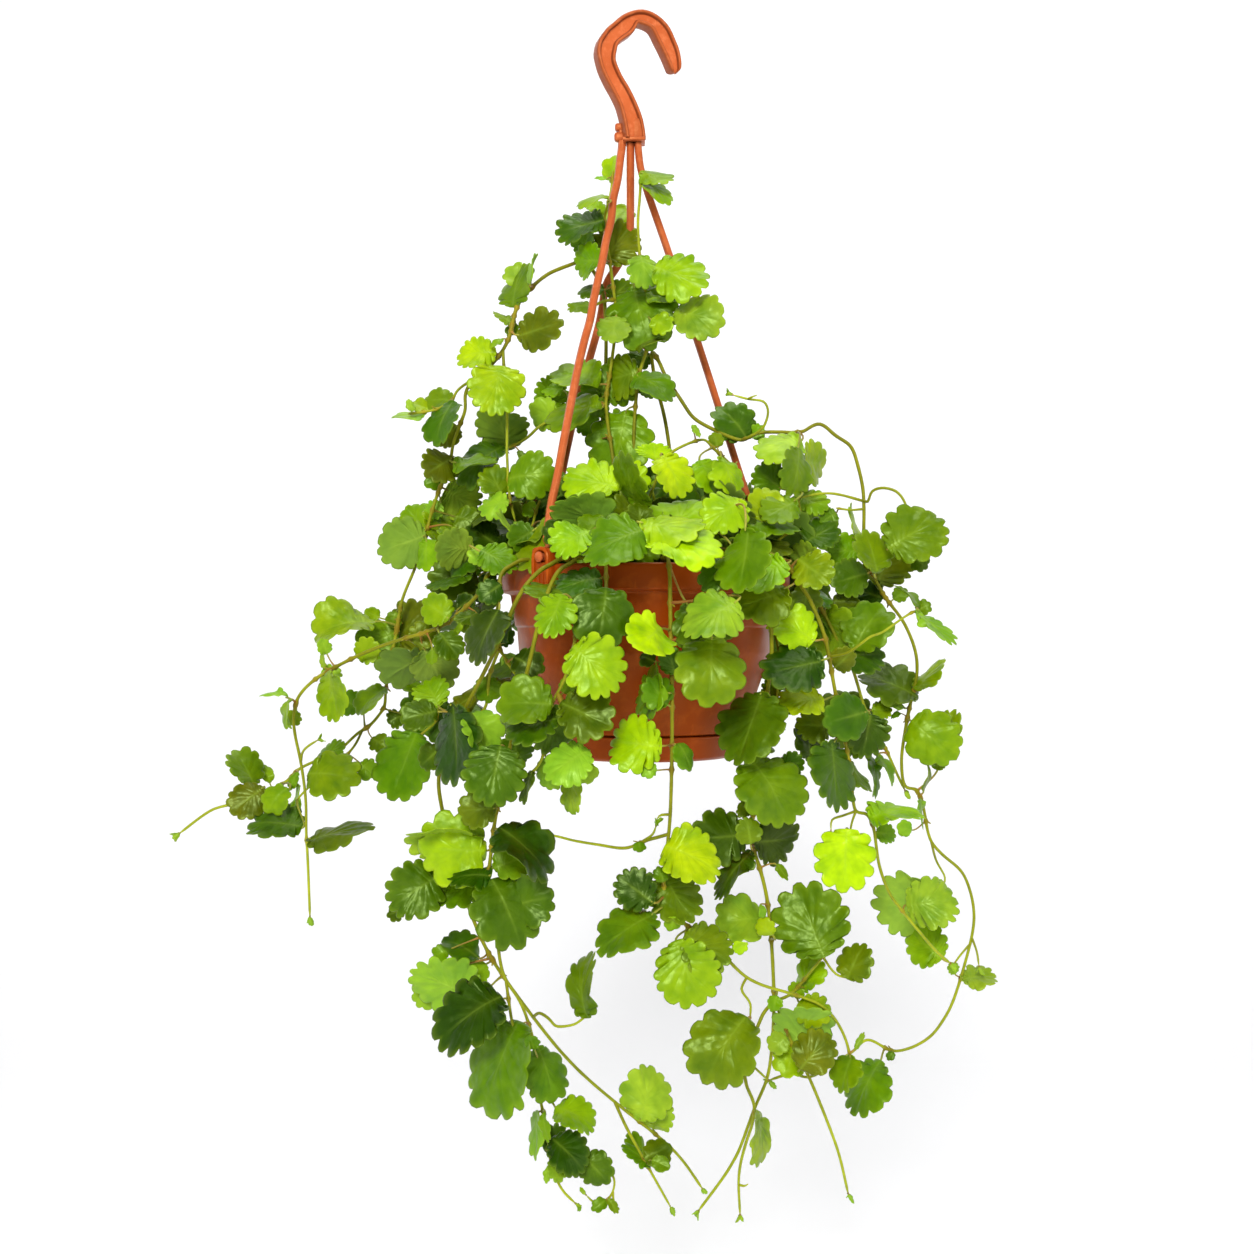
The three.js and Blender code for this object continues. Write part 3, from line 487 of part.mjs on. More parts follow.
    leaves: [
      [[53.69,-2.40,-214.17],[54.4,3.9,-212.7],[-14.6,4.4,16.2],[0.75,0.28,0.60],21.8,1],
      [[80.65,-2.89,-211.18],[80.4,-13.7,-217.1],[-22.4,-4.8,-8.2],[-0.38,0.63,0.68],23.9,1],
      [[79.02,-2.61,-211.10],[82.8,-7.3,-227.1],[13.9,18.2,1],[0.07,-0.00,-1.00],23.2,1],
      [[77.66,-2.61,-210.99],[77.9,-25.8,-223.3],[-5,-4.7,-23.1],[-0.68,-0.68,0.29],23.6,1],
      [[115.13,-1.82,-265.81],[109.3,-2.3,-265.9],[0,3.6,18.1],[0.45,0.87,-0.18],13.7,1],
      [[120.77,1.37,-284.27],[117.2,-19.5,-284.2],[-4,4.3,21.2],[0.85,0.53,0.05],21.6,1],
      [[125.73,-19.94,-271.49],[123.4,-29.2,-272.6],[26.9,6.2,15],[0.52,-0.34,-0.79],30.8,1],
      [[127.12,4.03,-296.25],[126.6,10,-296.7],[-10.5,10.8,4.2],[0.37,-0.00,0.93],15.8,1],
      [[119.89,1.00,-282.78],[116,-3,-284.6],[-18.6,-3.9,-5.2],[-0.27,-0.00,0.96],19.7,1],
      [[143.63,10.83,-345.64],[145,7.2,-345.1],[14.2,4.3,15.8],[0.46,-0.87,-0.17],16.2,1],
      [[142.94,11.13,-349.40],[144.5,9.7,-349.4],[-28.5,6.2,11.6],[0.39,0.71,0.58],30.7,1],
      [[140.77,11.89,-361.30],[142.3,6.5,-361.8],[19.4,-5.4,-18.9],[-0.70,-0.00,-0.72],27.3,1],
      [[145.59,15.19,-399.32],[158.7,21.3,-387.5],[11.8,6.5,30],[0.49,-0.87,-0.00],16.5,1],
      [[158.96,10.39,-447.65],[157.9,6,-447.3],[-30.9,7.5,-20.4],[0.56,0.47,-0.68],37.1,1],
      [[166.66,16.65,-490.58],[157.3,8,-486],[-15.2,9.3,12.6],[0.64,-0.00,0.77],22.1,1],
      [[171.79,25.91,-500.28],[171.9,22.9,-500.3],[18.8,3.8,0],[0.18,-0.87,-0.45],16.5,1],
      [[172.22,25.90,-499.03],[167.8,21.1,-497.7],[-2.7,1.7,5.4],[0.84,0.47,0.27],8.6,0],
      [[130.98,23.10,-537.66],[127.3,19.5,-544.3],[-15,-6,-25.6],[-0.58,0.80,0.15],29.7,1],
      [[134.52,23.85,-539.19],[134.5,20.8,-539.4],[-2.7,-1.4,-4.3],[-0.81,0.47,0.35],4.9,0],
      [[141.90,11.54,-355.39],[139.2,12.2,-354.8],[-11.6,-3.4,2.6],[0.06,0.47,0.88],4.9,0],
      [[141.24,11.54,-359.24],[137,14.5,-357.6],[-5.3,-1.7,-2.7],[-0.51,0.47,0.72],3.7,0],
      [[147.45,16.04,-401.71],[149.2,12.2,-399.2],[2.1,2.9,14.3],[0.42,0.87,-0.24],10.5,1],
      [[147.97,16.23,-403.49],[147.1,12,-403.5],[1.1,-3,-14.8],[-0.47,-0.87,0.14],10.5,1]] },
  { name: "vine_right_trail", colour: 0x6c9a14,
    stems: [[1.40,0.50,4,[[10.6,-30,-287.6],[26.3,-54.6,-282.9],[35.3,-60.7,-279.5],[44.9,-64.3,-279.3],[47.9,-65,-282.1],[56.3,-65.9,-296.1],[60.1,-64.9,-310.5],[60.6,-62.3,-329.3],[56.6,-55.5,-365],[52.8,-48.8,-411.6],[60,-44.7,-441.9],[62.3,-43,-459.1],[64.3,-40.1,-495.8],[62.9,-37.7,-525.7],[60.6,-35.8,-537.4],[47.7,-32,-572.3],[28.2,-28,-603.4]]],
      [1.00,0.60,3,[[64.3,-40.1,-495.8],[60,-43.4,-499.2],[56.9,-45.5,-504.1],[50.7,-46.1,-518.2],[49,-46.1,-527.3],[50.6,-45.7,-535.7],[54,-42.6,-544.4],[54.7,-40.5,-549.5],[51.2,-31.4,-569.1],[48.9,-27.2,-581.2],[48.2,-25.5,-590.1],[49,-24,-607.1]]],
      [0.90,0.67,3,[[64.3,-40.1,-495.8],[66,-44.9,-498.7],[67.2,-46.7,-501.4],[73.6,-47.9,-517.1],[81.3,-45.4,-532.3],[93.5,-39.3,-562.6],[101.7,-34,-592.4]]],
      [0.80,0.62,3,[[64.3,-40.1,-495.8],[73.2,-42.4,-490.9],[87.6,-46,-472.6]]],
      [0.60,0.83,3,[[87.6,-46,-472.6],[93.6,-48,-480.4],[99.5,-48,-482.4]]],
      [0.60,0.83,3,[[50,-46.1,-522.1],[61.8,-37,-535.5]]],
      [0.60,0.83,3,[[48.3,-25.3,-591.9],[51.1,-27.6,-591.5],[52.6,-29,-590]]]],
    leaves: [
      [[55.66,-53.75,-376.73],[51.6,-61.8,-375.2],[15.7,-6.7,-29.5],[-0.78,-0.55,-0.29],33.4,1],
      [[58.88,-59.57,-343.83],[55.1,-65.6,-343.7],[-11.3,-6.9,-32.1],[-0.80,0.58,0.16],34.1,1],
      [[53.39,-48.67,-413.30],[49,-53.6,-412.1],[-26.5,-5.3,-1.4],[-0.11,0.27,0.96],26.5,1],
      [[54.10,-48.03,-416.81],[54.5,-51.7,-415.8],[21.2,10.9,0],[-0.00,-0.00,-1.00],24.1,1],
      [[54.81,-47.63,-420.41],[51.4,-53.4,-420.3],[-15.9,-5.4,-21.7],[-0.47,0.87,0.13],15.9,1],
      [[56.99,-46.46,-429.29],[64.8,-50.3,-426.6],[4.8,-2.6,-7.7],[-0.81,-0.47,-0.35],5.6,0],
      [[53.66,-50.02,-402.38],[53,-46.2,-402],[-6.8,2.1,2.9],[0.47,0.47,0.75],12.3,0],
      [[87.02,-45.92,-473.24],[86.2,-56,-469.3],[-10.5,12.2,31.2],[0.95,-0.00,0.32],35.5,1],
      [[98.60,-47.88,-482.11],[99,-51,-481.6],[8.7,3.6,15.5],[0.77,-0.56,-0.30],17.7,1],
      [[61.74,-43.48,-455.11],[58.9,-45.9,-454.7],[-22.4,-4.6,-3.9],[-0.26,0.62,0.74],22.7,1],
      [[75.26,-43.03,-488.28],[77.3,-38.9,-490.6],[9.8,3.6,14.8],[0.48,-0.87,-0.11],17.3,1],
      [[72.69,-47.81,-515.32],[73,-46.3,-514.9],[9.2,-15.4,21.4],[-0.92,0.00,0.40],28.2,1],
      [[72.33,-47.57,-513.97],[72.7,-48.5,-515.2],[-4.4,-7.6,-12.6],[-0.94,-0.00,0.33],15.5,1],
      [[77.93,-46.49,-525.59],[74.7,-63.2,-521.2],[13.8,4,14.2],[0.73,-0.28,-0.63],19.8,1],
      [[54.52,-40.43,-549.56],[55.1,-44.5,-548.6],[0,-4.9,-24.4],[-0.45,-0.87,0.18],18.2,1],
      [[60.72,-44.26,-447.60],[56.6,-49.5,-446.6],[1,-2.4,-8.2],[-0.88,-0.47,0.03],4.5,0]] },
  { name: "vine_back_01", colour: 0x4a7a10,
    stems: [[1.10,0.55,4,[[42.1,19.8,-287.6],[47.4,24.2,-279],[52.2,31.1,-273],[55.8,34.9,-271],[65.4,41.2,-274],[74.2,46.4,-282.4],[77.4,43.3,-289.2],[74.5,43.8,-299.1],[73.3,42.7,-310.4],[75,35.1,-325.6],[74.9,33.1,-333.1],[74.5,36.1,-352],[75.8,34.9,-363.3]]]],
    leaves: [
      [[67.80,42.62,-276.33],[76.1,42.9,-269.3],[15.5,-7.2,23.2],[-0.84,-0.26,0.48],28,0],
      [[77.46,43.37,-289.13],[84.8,44.9,-289.5],[17.3,-22.7,-8.5],[-0.43,-0.59,0.69],31.2,0],
      [[73.81,42.85,-308.58],[80,44,-308.6],[10.3,31.7,-6.4],[0.93,-0.34,-0.17],35.4,0],
      [[74.85,33.64,-331.32],[75.8,26.5,-332.7],[3.2,-27.1,-11.4],[-0.68,-0.35,0.65],29.2,0],
      [[74.73,33.89,-329.81],[76.3,45.7,-333.3],[7.3,28.1,-15.2],[0.68,-0.48,-0.56],32.9,0],
      [[74.56,35.93,-352.05],[79.2,26.7,-353.7],[23,5.6,-15.3],[0.07,-0.97,-0.25],30.3,0]] },
  { name: "vine_back_02", colour: 0x4a7a10,
    stems: [[1.10,0.55,4,[[36.4,28.7,-287.6],[42.5,33.8,-277.8],[51.4,41,-271],[55.8,44.7,-271.6],[61.4,49.3,-274.9],[66.2,53.4,-279.5],[68.7,55.3,-284],[68.6,52.4,-299.1],[64.5,53.4,-318],[64.2,50.3,-335],[62.9,53.5,-352],[65,52.5,-369]]]],
    leaves: [
      [[68.65,53.08,-295.03],[72.7,49.4,-292.3],[13.3,-24.6,0.8],[-0.52,-0.25,0.82],28.1,0],
      [[64.10,50.66,-336.90],[70.5,56.3,-340.1],[23.5,-14.5,-14.8],[-0.24,-0.86,0.45],31.6,0]] },
  { name: "vine_back_03", colour: 0x4a7a10,
    stems: [[1.10,0.55,4,[[24.8,33,-287.6],[29.4,39.5,-277.8],[37.4,50.8,-271],[44.4,60.8,-273.2],[49.1,67.4,-278.2],[51.3,70.4,-282.4],[52,71.4,-287.4],[51,69.8,-297.1],[44.1,71.1,-318],[42.5,69.4,-335],[38.3,73.7,-352],[38.6,74.7,-369]]]],
    leaves: [
      [[32.52,43.75,-275.12],[36.7,39.8,-271.2],[19.9,-22.8,7.5],[-0.75,-0.51,0.42],32.5,0],
      [[46.87,70.60,-309.47],[53.7,77.3,-310.7],[26.5,-15,-10.6],[-0.29,-0.84,0.46],33.4,0],
      [[47.30,70.41,-307.99],[46.1,78.1,-307.3],[-4.7,26.6,-2],[0.84,0.11,-0.54],27.6,0],
      [[39.53,72.54,-347.04],[41.8,77.3,-347.8],[15.8,-26.6,-16.1],[-0.15,-0.58,0.80],34.7,0],
      [[38.44,74.59,-365.17],[42.9,66.2,-365.9],[24.9,-15.6,-16.8],[-0.24,-0.86,0.44],33.4,0],
      [[38.35,74.41,-363.70],[35.9,70.2,-363.8],[-13.1,30.9,-7.4],[0.82,0.22,-0.53],36,0]] },
  { name: "vine_back_04", colour: 0x4a7a10,
    stems: [[1.10,0.55,4,[[17.7,42.1,-287.6],[20.6,50.8,-277.8],[24.7,61.5,-271],[28.9,71.1,-274],[32.5,80.5,-282.4],[33.2,81.6,-287.3],[32.9,79.6,-297.1],[26.7,78.8,-318],[26.3,76.6,-335],[21.8,79.4,-352]]]],
    leaves: [
      [[29.96,79.20,-306.53],[35.5,70,-308.2],[18.3,-13.2,-12.6],[-0.06,-0.74,0.67],25.6,0],
      [[26.60,77.90,-325.56],[29,99.2,-328.2],[8.9,28,-17.3],[0.96,-0.26,0.08],34.5,0],
      [[22.88,78.78,-348.26],[27.1,82.1,-349.1],[17,23.4,-10.5],[0.76,-0.29,0.59],32.7,0]] },
  { name: "vine_back_05", colour: 0x4a7a10,
    stems: [[1.10,0.55,4,[[6,36.1,-287.6],[7.2,45.5,-276.7],[9,59.7,-271],[10.7,73.9,-273.3],[11.9,84.6,-280.9],[13.2,86.6,-289.2],[14.6,83.8,-301],[11.4,82,-318],[13.8,79.5,-335],[11,80.8,-352]]]],
    leaves: [
      [[14.33,84.30,-299.28],[10.1,99.7,-302.2],[-20.4,15.6,-24.3],[0.81,0.42,-0.41],33.8,0],
      [[11.84,82.11,-316.17],[9.3,95.9,-319.4],[-9.1,26.8,-17.9],[0.94,0.11,-0.32],33.3,0],
      [[12.92,80.03,-340.74],[18.2,80.7,-340.6],[14.4,17.9,-7.5],[0.79,-0.45,0.42],23.8,0]] },
  { name: "vine_back_06", colour: 0x4a7a10,
    stems: [[1.10,0.55,4,[[-2.7,46.5,-287.6],[-3.5,54.4,-277.8],[-4.4,65.1,-271],[-5.4,75.7,-274],[-6.4,85.9,-282.4],[-6.2,87.2,-287.3],[-5.1,85.3,-297.1],[-9.3,82,-318],[-8,79.9,-335]]]],
    leaves: [
      [[-6.03,86.82,-289.21],[-6.6,103.4,-291.4],[-3,27,-21.2],[0.98,0.18,0.10],36.4,0]] },
  { name: "vine_back_07", colour: 0x4a7a10,
    stems: [[1.10,0.55,4,[[-9.2,31,-287.6],[-11.8,38.6,-277.7],[-16.9,53.5,-271.2],[-22,68.5,-272.6],[-26,79.4,-279.5],[-26.3,83,-287.3],[-22.7,81.4,-301],[-23.6,78.5,-319.9],[-19.7,77.7,-335]]]],
    leaves: [
      [[-23.61,81.65,-297.13],[-30,94.6,-299.1],[-20,7.3,-14],[0.47,0.86,-0.22],27.4,0],
      [[-23.58,78.46,-319.81],[-25.1,74.9,-324.5],[-4.5,19.8,-18.7],[0.97,0.25,0.03],26.7,0]] },
  { name: "vine_back_08", colour: 0x4a7a10,
    stems: [[1.10,0.55,4,[[-14.9,27.3,-287.6],[-19.8,35.4,-276.8],[-28.4,49.7,-271],[-36,62.4,-272.7],[-42.6,73,-281],[-42.6,75.4,-289.2],[-39.4,74.3,-301],[-40.4,71.2,-318],[-36.5,71,-335],[-39.1,70.6,-352]]]],
    leaves: [
      [[-39.65,74.07,-302.91],[-46.9,81.1,-303.7],[-22.6,-8.7,-6.3],[-0.21,0.87,-0.46],24.9,0],
      [[-39.41,74.23,-301.32],[-35,90.6,-304.5],[22.3,17.9,-18.6],[0.73,-0.23,0.65],32.8,0],
      [[-39.02,71.01,-323.66],[-41.5,74.1,-325.3],[-10,25.8,-18.1],[0.78,0.53,0.33],33.1,0],
      [[-37.62,70.79,-342.54],[-35.2,73,-344.9],[5.9,24.1,-10.2],[0.74,0.10,0.66],26.8,0]] },
  { name: "vine_back_09", colour: 0x4a7a10,
    stems: [[1.10,0.55,4,[[-21.7,26.7,-287.6],[-27.9,33.9,-276.7],[-31.2,40.4,-273],[-33.7,48.2,-271],[-36,53.4,-271],[-41.1,61,-273.3],[-47.5,69.8,-280.9],[-49.2,70.7,-284],[-51,69.8,-289.2],[-47.3,70.3,-297.1],[-46.7,69.4,-302.9],[-54.9,59.7,-321.8],[-54.4,57.9,-336.9],[-58.6,55.6,-352]]]],
    leaves: [
      [[-28.50,35.42,-275.72],[-32.2,44.4,-271],[-17.4,-19.8,19.6],[-0.84,0.46,-0.29],32.1,0],
      [[-46.78,69.36,-302.89],[-59.2,77.5,-303.4],[-27.4,8.7,-7.3],[0.34,0.93,-0.17],30.6,0],
      [[-54.84,59.46,-325.58],[-57.9,42.3,-327.6],[-13.2,-24.6,-19.5],[-0.10,0.65,-0.75],32.5,0],
      [[-54.76,59.43,-324.13],[-54.3,78.1,-325.3],[3.3,31.8,-9.5],[0.96,-0.01,0.29],34.1,0],
      [[-56.45,56.81,-344.33],[-57.9,64.4,-347],[-6.3,25.5,-13.6],[0.74,0.45,0.50],28.5,0]] },
  { name: "vine_back_10", colour: 0x4a7a10,
    stems: [[1.10,0.55,4,[[-32,25.5,-287.6],[-38.5,30.3,-277.8],[-49.1,37.6,-271],[-59.5,45.3,-274],[-67.7,51.5,-282.4],[-67.8,52.6,-291.1],[-66.2,51,-301],[-67.1,46.2,-318],[-64.8,45.6,-335],[-68.7,42.2,-352],[-69.1,43.3,-369]]]],
    leaves: [
      [[-66.62,48.84,-308.67],[-70.7,44.4,-310],[-18.7,23.1,-15],[0.61,0.72,0.34],35.7,0],
      [[-65.83,45.93,-327.45],[-68,52,-329.4],[-8.1,19.9,-15.8],[0.91,0.40,0.04],26.5,0],
      [[-67.82,42.92,-348.26],[-64.7,50.3,-352.3],[9.1,16.5,-19.3],[0.73,0.32,0.61],26.7,0],
      [[-68.95,43.05,-365.20],[-68,35.2,-367.7],[3.9,-28.8,-14.6],[-0.61,0.29,-0.74],30.9,0],
      [[-68.97,43.03,-363.75],[-74.9,49.6,-364.2],[-28.6,19.7,-0.1],[0.52,0.76,-0.40],33.5,0]] },
  { name: "vine_back_11", colour: 0x4a7a10,
    stems: [[1.10,0.55,4,[[-40.8,15.5,-287.6],[-48.3,17.9,-277.8],[-59.1,21,-271],[-68.1,23.7,-273.1],[-78.5,28.2,-280.9],[-80.5,29.7,-285.6],[-79.8,30.7,-291.1],[-77.4,31,-301],[-76.6,26.8,-318],[-74.9,27.4,-327.4]]]],
    leaves: [
      [[-69.65,24.38,-274.17],[-70.8,39.8,-269.2],[-8.1,21.2,19.4],[0.39,-0.54,0.75],31.7,0],
      [[-79.73,30.78,-291.07],[-84.9,43.8,-294.6],[-13.8,16.9,-18.5],[0.52,0.79,0.33],29.4,0],
      [[-77.21,29.19,-308.36],[-84.8,16.8,-307.3],[-27.9,-3.3,-4.4],[-0.02,0.86,-0.51],27.6,0]] },
  { name: "vine_crown_01", colour: 0x4a7a10,
    stems: [[1.10,0.55,4,[[5.6,-11.3,-287.6],[4.2,-14,-272.6],[7.2,-15.4,-255.7],[5.2,-18.1,-242.6]]]],
    leaves: [
      [[4.28,-13.77,-274.41],[9.5,-9.6,-272.8],[18,-17.4,-4.6],[-0.67,-0.73,0.14],27,0]] },
  { name: "vine_crown_02", colour: 0x4a7a10,
    stems: [[1.10,0.55,4,[[30.5,-7.8,-287.6],[31.7,-7.1,-272.6],[31.7,-10.7,-257.6],[32.3,-12.3,-242.6]]]],
    leaves: [
      [[32.04,-11.27,-251.96],[24.4,-3.9,-252.9],[-18.4,9.8,-8.5],[0.55,0.79,-0.27],21.5,0],
      [[31.90,-11.07,-253.36],[39.7,-11.8,-251.7],[21.3,-5.2,-7.5],[-0.22,-0.97,0.06],25,0]] },
  { name: "vine_crown_03", colour: 0x4a7a10,
    stems: [[1.10,0.55,4,[[23.4,26,-287.6],[25.7,33.6,-259.4],[28.8,36.6,-242.6]]]],
    leaves: [
      [[25.69,33.16,-261.27],[17.9,25.1,-261.3],[-18.7,11.2,-9.6],[0.61,0.69,-0.39],23.4,0]] },
  { name: "vine_crown_04", colour: 0x4a7a10,
    stems: [[1.10,0.55,4,[[-5.3,18.8,-287.6],[-6.5,22.7,-272.5],[-9.9,25.8,-257.6]]]],
    leaves: [
      [[-8.55,24.65,-263.26],[-4,34.8,-262.4],[17.4,15.9,-5.8],[0.64,-0.49,0.59],25.8,0]] },
  { name: "vine_crown_05", colour: 0x4a7a10,
    stems: [[1.10,0.55,4,[[-32.2,4.7,-287.6],[-35.6,1.8,-268.8],[-38.9,7.6,-242.6]]]],
    leaves: [
      [[-36.25,3.05,-263.39],[-43.9,0.7,-263],[-24.4,11.5,-6.7],[0.22,0.80,0.56],29.3,0],
      [[-36.12,2.67,-264.71],[-30.4,5.4,-262.7],[29.8,-6.7,-2.4],[-0.23,-0.96,-0.16],32.1,0]] },
  { name: "vine_crown_06", colour: 0x4a7a10,
    stems: [[1.10,0.55,4,[[-22.7,-14,-287.6],[-23.8,-18.4,-266.9],[-29.1,-16.8,-242.6]]]],
    leaves: [
      [[-28.70,-17.06,-244.36],[-32.2,-19.5,-246],[-9.9,20.9,-10.4],[0.80,0.52,0.28],24.3,0]] },
  { name: "vine_crown_07", colour: 0x4a7a10,
    stems: [[1.10,0.55,4,[[20.3,51.7,-287.6],[24.9,51.8,-274.4],[26.8,56,-257.6]]]],
    leaves: [
      [[26.47,54.90,-261.18],[21.6,65.3,-260.9],[-21.3,12.8,-2.4],[0.34,0.41,-0.84],25.7,0]] },
  { name: "vine_crown_08", colour: 0x4a7a10,
    stems: [[1.10,0.55,4,[[-35.3,36.8,-287.6],[-38.1,37.6,-272.6],[-38,41.5,-257.6]]]],
    leaves: [
      ] },
  { name: "vine_crown_09", colour: 0x4a7a10,
    stems: [[1.10,0.55,4,[[53.3,4.5,-287.6],[55.5,3.4,-257.6]]]],
    leaves: [
      [[55.09,3.68,-265.01],[55,-5.4,-264.3],[0.4,-25.5,-2.3],[-0.95,-0.04,0.31],24.8,0],
      [[54.91,3.67,-266.54],[59.2,-0.1,-264],[21.9,20.4,-0.1],[0.43,-0.47,-0.77],30.7,0]] },
  { name: "vine_crown_10", colour: 0x4a7a10,
    stems: [[1.10,0.55,4,[[-53.5,-1.9,-287.6],[-58.5,0,-259.4],[-61.6,3.8,-242.6]]]],
    leaves: [
      [[-55.75,-0.98,-274.34],[-58.1,16.2,-273.9],[-9.4,27.1,-1.8],[0.72,0.29,0.63],29.3,0],
      [[-58.15,-0.08,-261.35],[-64.7,7.4,-261],[-26,2.9,-4.6],[0.01,0.88,0.47],26.4,0],
      [[-61.30,3.35,-244.30],[-64.9,-0.8,-246.3],[-19.5,-16.4,-14],[-0.61,0.79,-0.07],29.1,0]] }
];

// ---------------------------------------------------------------- pot, saucer, soil
const pot = (() => {
  const wallIn = RIM_R - WALL - 0.6;
  const shell = lathe([
    [0, FOOT_Z], [47.4, FOOT_Z], [48.8, STEP_Z - 0.3], [51.2, STEP_Z], [58.2, -344.8], [65.3, -325],
    [66.2, COLLAR_BOTTOM - 0.8], [67.3, COLLAR_BOTTOM], [69.6, RIM_BOTTOM - 1.2], [74.7, RIM_BOTTOM], [RIM_R, RIM_BOTTOM + 1],
    [RIM_R, RIM_TOP - 1.2], [RIM_R - 0.9, RIM_TOP], [wallIn, RIM_TOP - 0.4], [wallIn - 0.5, RIM_BOTTOM + 0.6],
    [67.5, RIM_BOTTOM - 1.4], [65.2, COLLAR_BOTTOM - 0.2], [63.9, COLLAR_BOTTOM - 1.8], [63.1, -325.4], [56, -345.4], [49.2, STEP_Z - 0.6],
    [46.9, STEP_Z - 2.6], [45.4, FOOT_Z + 2.2], [0, FOOT_Z + 2.2],
  ]);
  const lugs = LUG_ANGLES.map((deg) => {
    const inner = RIM_R - 1.2;
    const lug = box(LUG_W, LUG_T + 1, LUG_TOP - LUG_BOTTOM, 0, -(inner + (LUG_T + 1) / 2), (LUG_TOP + LUG_BOTTOM) / 2);
    const hole = box(LUG_HOLE.w, 20, LUG_HOLE.top - LUG_HOLE.bottom, 0, -RIM_R, (LUG_HOLE.top + LUG_HOLE.bottom) / 2);
    const inside = box(LUG_W + 2, 2, 12, 0, -inner, RIM_TOP + 6.2);
    return lug.subtract(hole).subtract(inside).rotate([0, 0, deg]).translate([AXIS_X, 0, 0]);
  });
  const drains = [];
  for (let i = 0; i < DRAIN_HOLES; i++) {
    const a = (2 * Math.PI * (i + 0.5)) / DRAIN_HOLES;
    const g = new THREE.CylinderGeometry(DRAIN_R, DRAIN_R, 12, 10);
    g.rotateX(Math.PI / 2);
    g.translate(AXIS_X + DRAIN_PITCH_R * Math.cos(a), DRAIN_PITCH_R * Math.sin(a), FOOT_Z);
    drains.push(solid(g));
  }
  return join([shell, ...lugs]).subtract(join(drains));
})();

const saucer = lathe([
  [0, SAUCER_BOTTOM], [46.6, SAUCER_BOTTOM], [48.2, SAUCER_BOTTOM + 1.4], [SAUCER_R - 0.5, SAUCER_TOP - 1.2], [SAUCER_R, SAUCER_TOP - 0.4],
  [SAUCER_R - 0.4, SAUCER_TOP], [SAUCER_R - 1.5, SAUCER_TOP], [SAUCER_R - 1.7, SAUCER_TOP - 1.2], [48.2, SAUCER_BOTTOM + 1.8], [0, SAUCER_BOTTOM + 1.8],
]);

const soil = lathe([
  [0, FOOT_Z + 2.2 + GAP], [45, FOOT_Z + 2.2 + GAP], [46.5, STEP_Z - 2.6], [48.7, STEP_Z - 0.4], [55.5, -345.2], [62.6, -325.2],
  [63.4, COLLAR_BOTTOM - 1.8], [64.7, COLLAR_BOTTOM], [67, RIM_BOTTOM - 1.3], [71, RIM_BOTTOM + 1.1], [71.2, SOIL_TOP], [0, SOIL_TOP],
]);

// ---------------------------------------------------------------- hanger
// grow = 0 gives its parts; more gives the room they need
function makeHanger(grow = 0) {
  const outline = [...HOOK_OUTER, ...HOOK_INNER];
  const pts = outline.map(([x, z]) => new THREE.Vector2(x, z));
  const face = (points, depth, y) => {
    const g = new THREE.ExtrudeGeometry(new THREE.Shape(points), { depth, bevelEnabled: false });
    g.rotateX(Math.PI / 2); // shape's y becomes z, extrusion runs to -Y
    g.translate(0, y, 0);
    return solid(g);
  };
  let m = face(pts, HOOK_THICK + 2 * grow, HOOK_THICK / 2 + grow);
  // the recess between the raised edges, one on each face
  const turn = THREE.ShapeUtils.area(pts) > 0 ? 1 : -1;
  const inset = pts
    .map((p, i) => {
      const a = pts[(i + pts.length - 1) % pts.length], b = pts[(i + 1) % pts.length];
      const t = b.clone().sub(a).normalize();
      return p.clone().add(new THREE.Vector2(-t.y, t.x).multiplyScalar(turn * HOOK_RIB));
    })
    .filter((p) => p.y > BLOCK.top + 4);
  if (!grow) {
    m = m.subtract(face(inset, HOOK_RECESS + 1, HOOK_THICK / 2 + 1));
    m = m.subtract(face(inset, HOOK_RECESS + 1, -HOOK_THICK / 2 + HOOK_RECESS));
  }
  m = m.rotate([0, 0, HOOK_TURN]);
  const h = BLOCK.top - BLOCK.bottom;
  const parts = [m];
  parts.push(box(BLOCK.w, BLOCK.d, h, BLOCK.x, 0, (BLOCK.top + BLOCK.bottom) / 2));
  parts.push(box(BLOCK.w + 1.2, BLOCK.d + 1.2, 1.6, BLOCK.x, 0, BLOCK.bottom + 0.8));
  for (const z of [-52.6, -57.6]) parts.push(box(5.4, 5, 3.6, BLOCK.x - BLOCK.w / 2 - 2.2, 0, z));
  parts.push(box(2.4, 3.6, 9, BLOCK.x - BLOCK.w / 2 - 1.6, 0, -55.2));
  LEGS.forEach((leg, i) => {
    const az = (LUG_ANGLES[i] * Math.PI) / 180;
    const at = (r, z) => [AXIS_X + r * Math.sin(az), -r * Math.cos(az), z];
    const top = leg[0];
    parts.push(sweep([[top[0], top[1], BLOCK.bottom + 3], ...leg, at(71.6, -272), at(72, PEG_Z - 1.8)], LEG_T / 2 + grow, LEG_W / 2 + grow, 6));
    // the foot's peg, out through the lug's hole, with its snap head
    parts.push(sweep([at(71.2, PEG_Z), at(78.7, PEG_Z)], PEG_R, PEG_R, 6));
    parts.push(sweep([at(78.5, PEG_Z), at(80.2, PEG_Z)], PEG_R + 0.7, PEG_R + 0.7, 6));
  });
  return parts;
}
const hanger = largest(join(makeHanger()));

// ---------------------------------------------------------------- vines
const stem = ([r, taper, sides, points], grow = 0) => sweep(points, r * 1.1 + grow, r * 1.1 + grow, sides, grow ? 1 : taper);

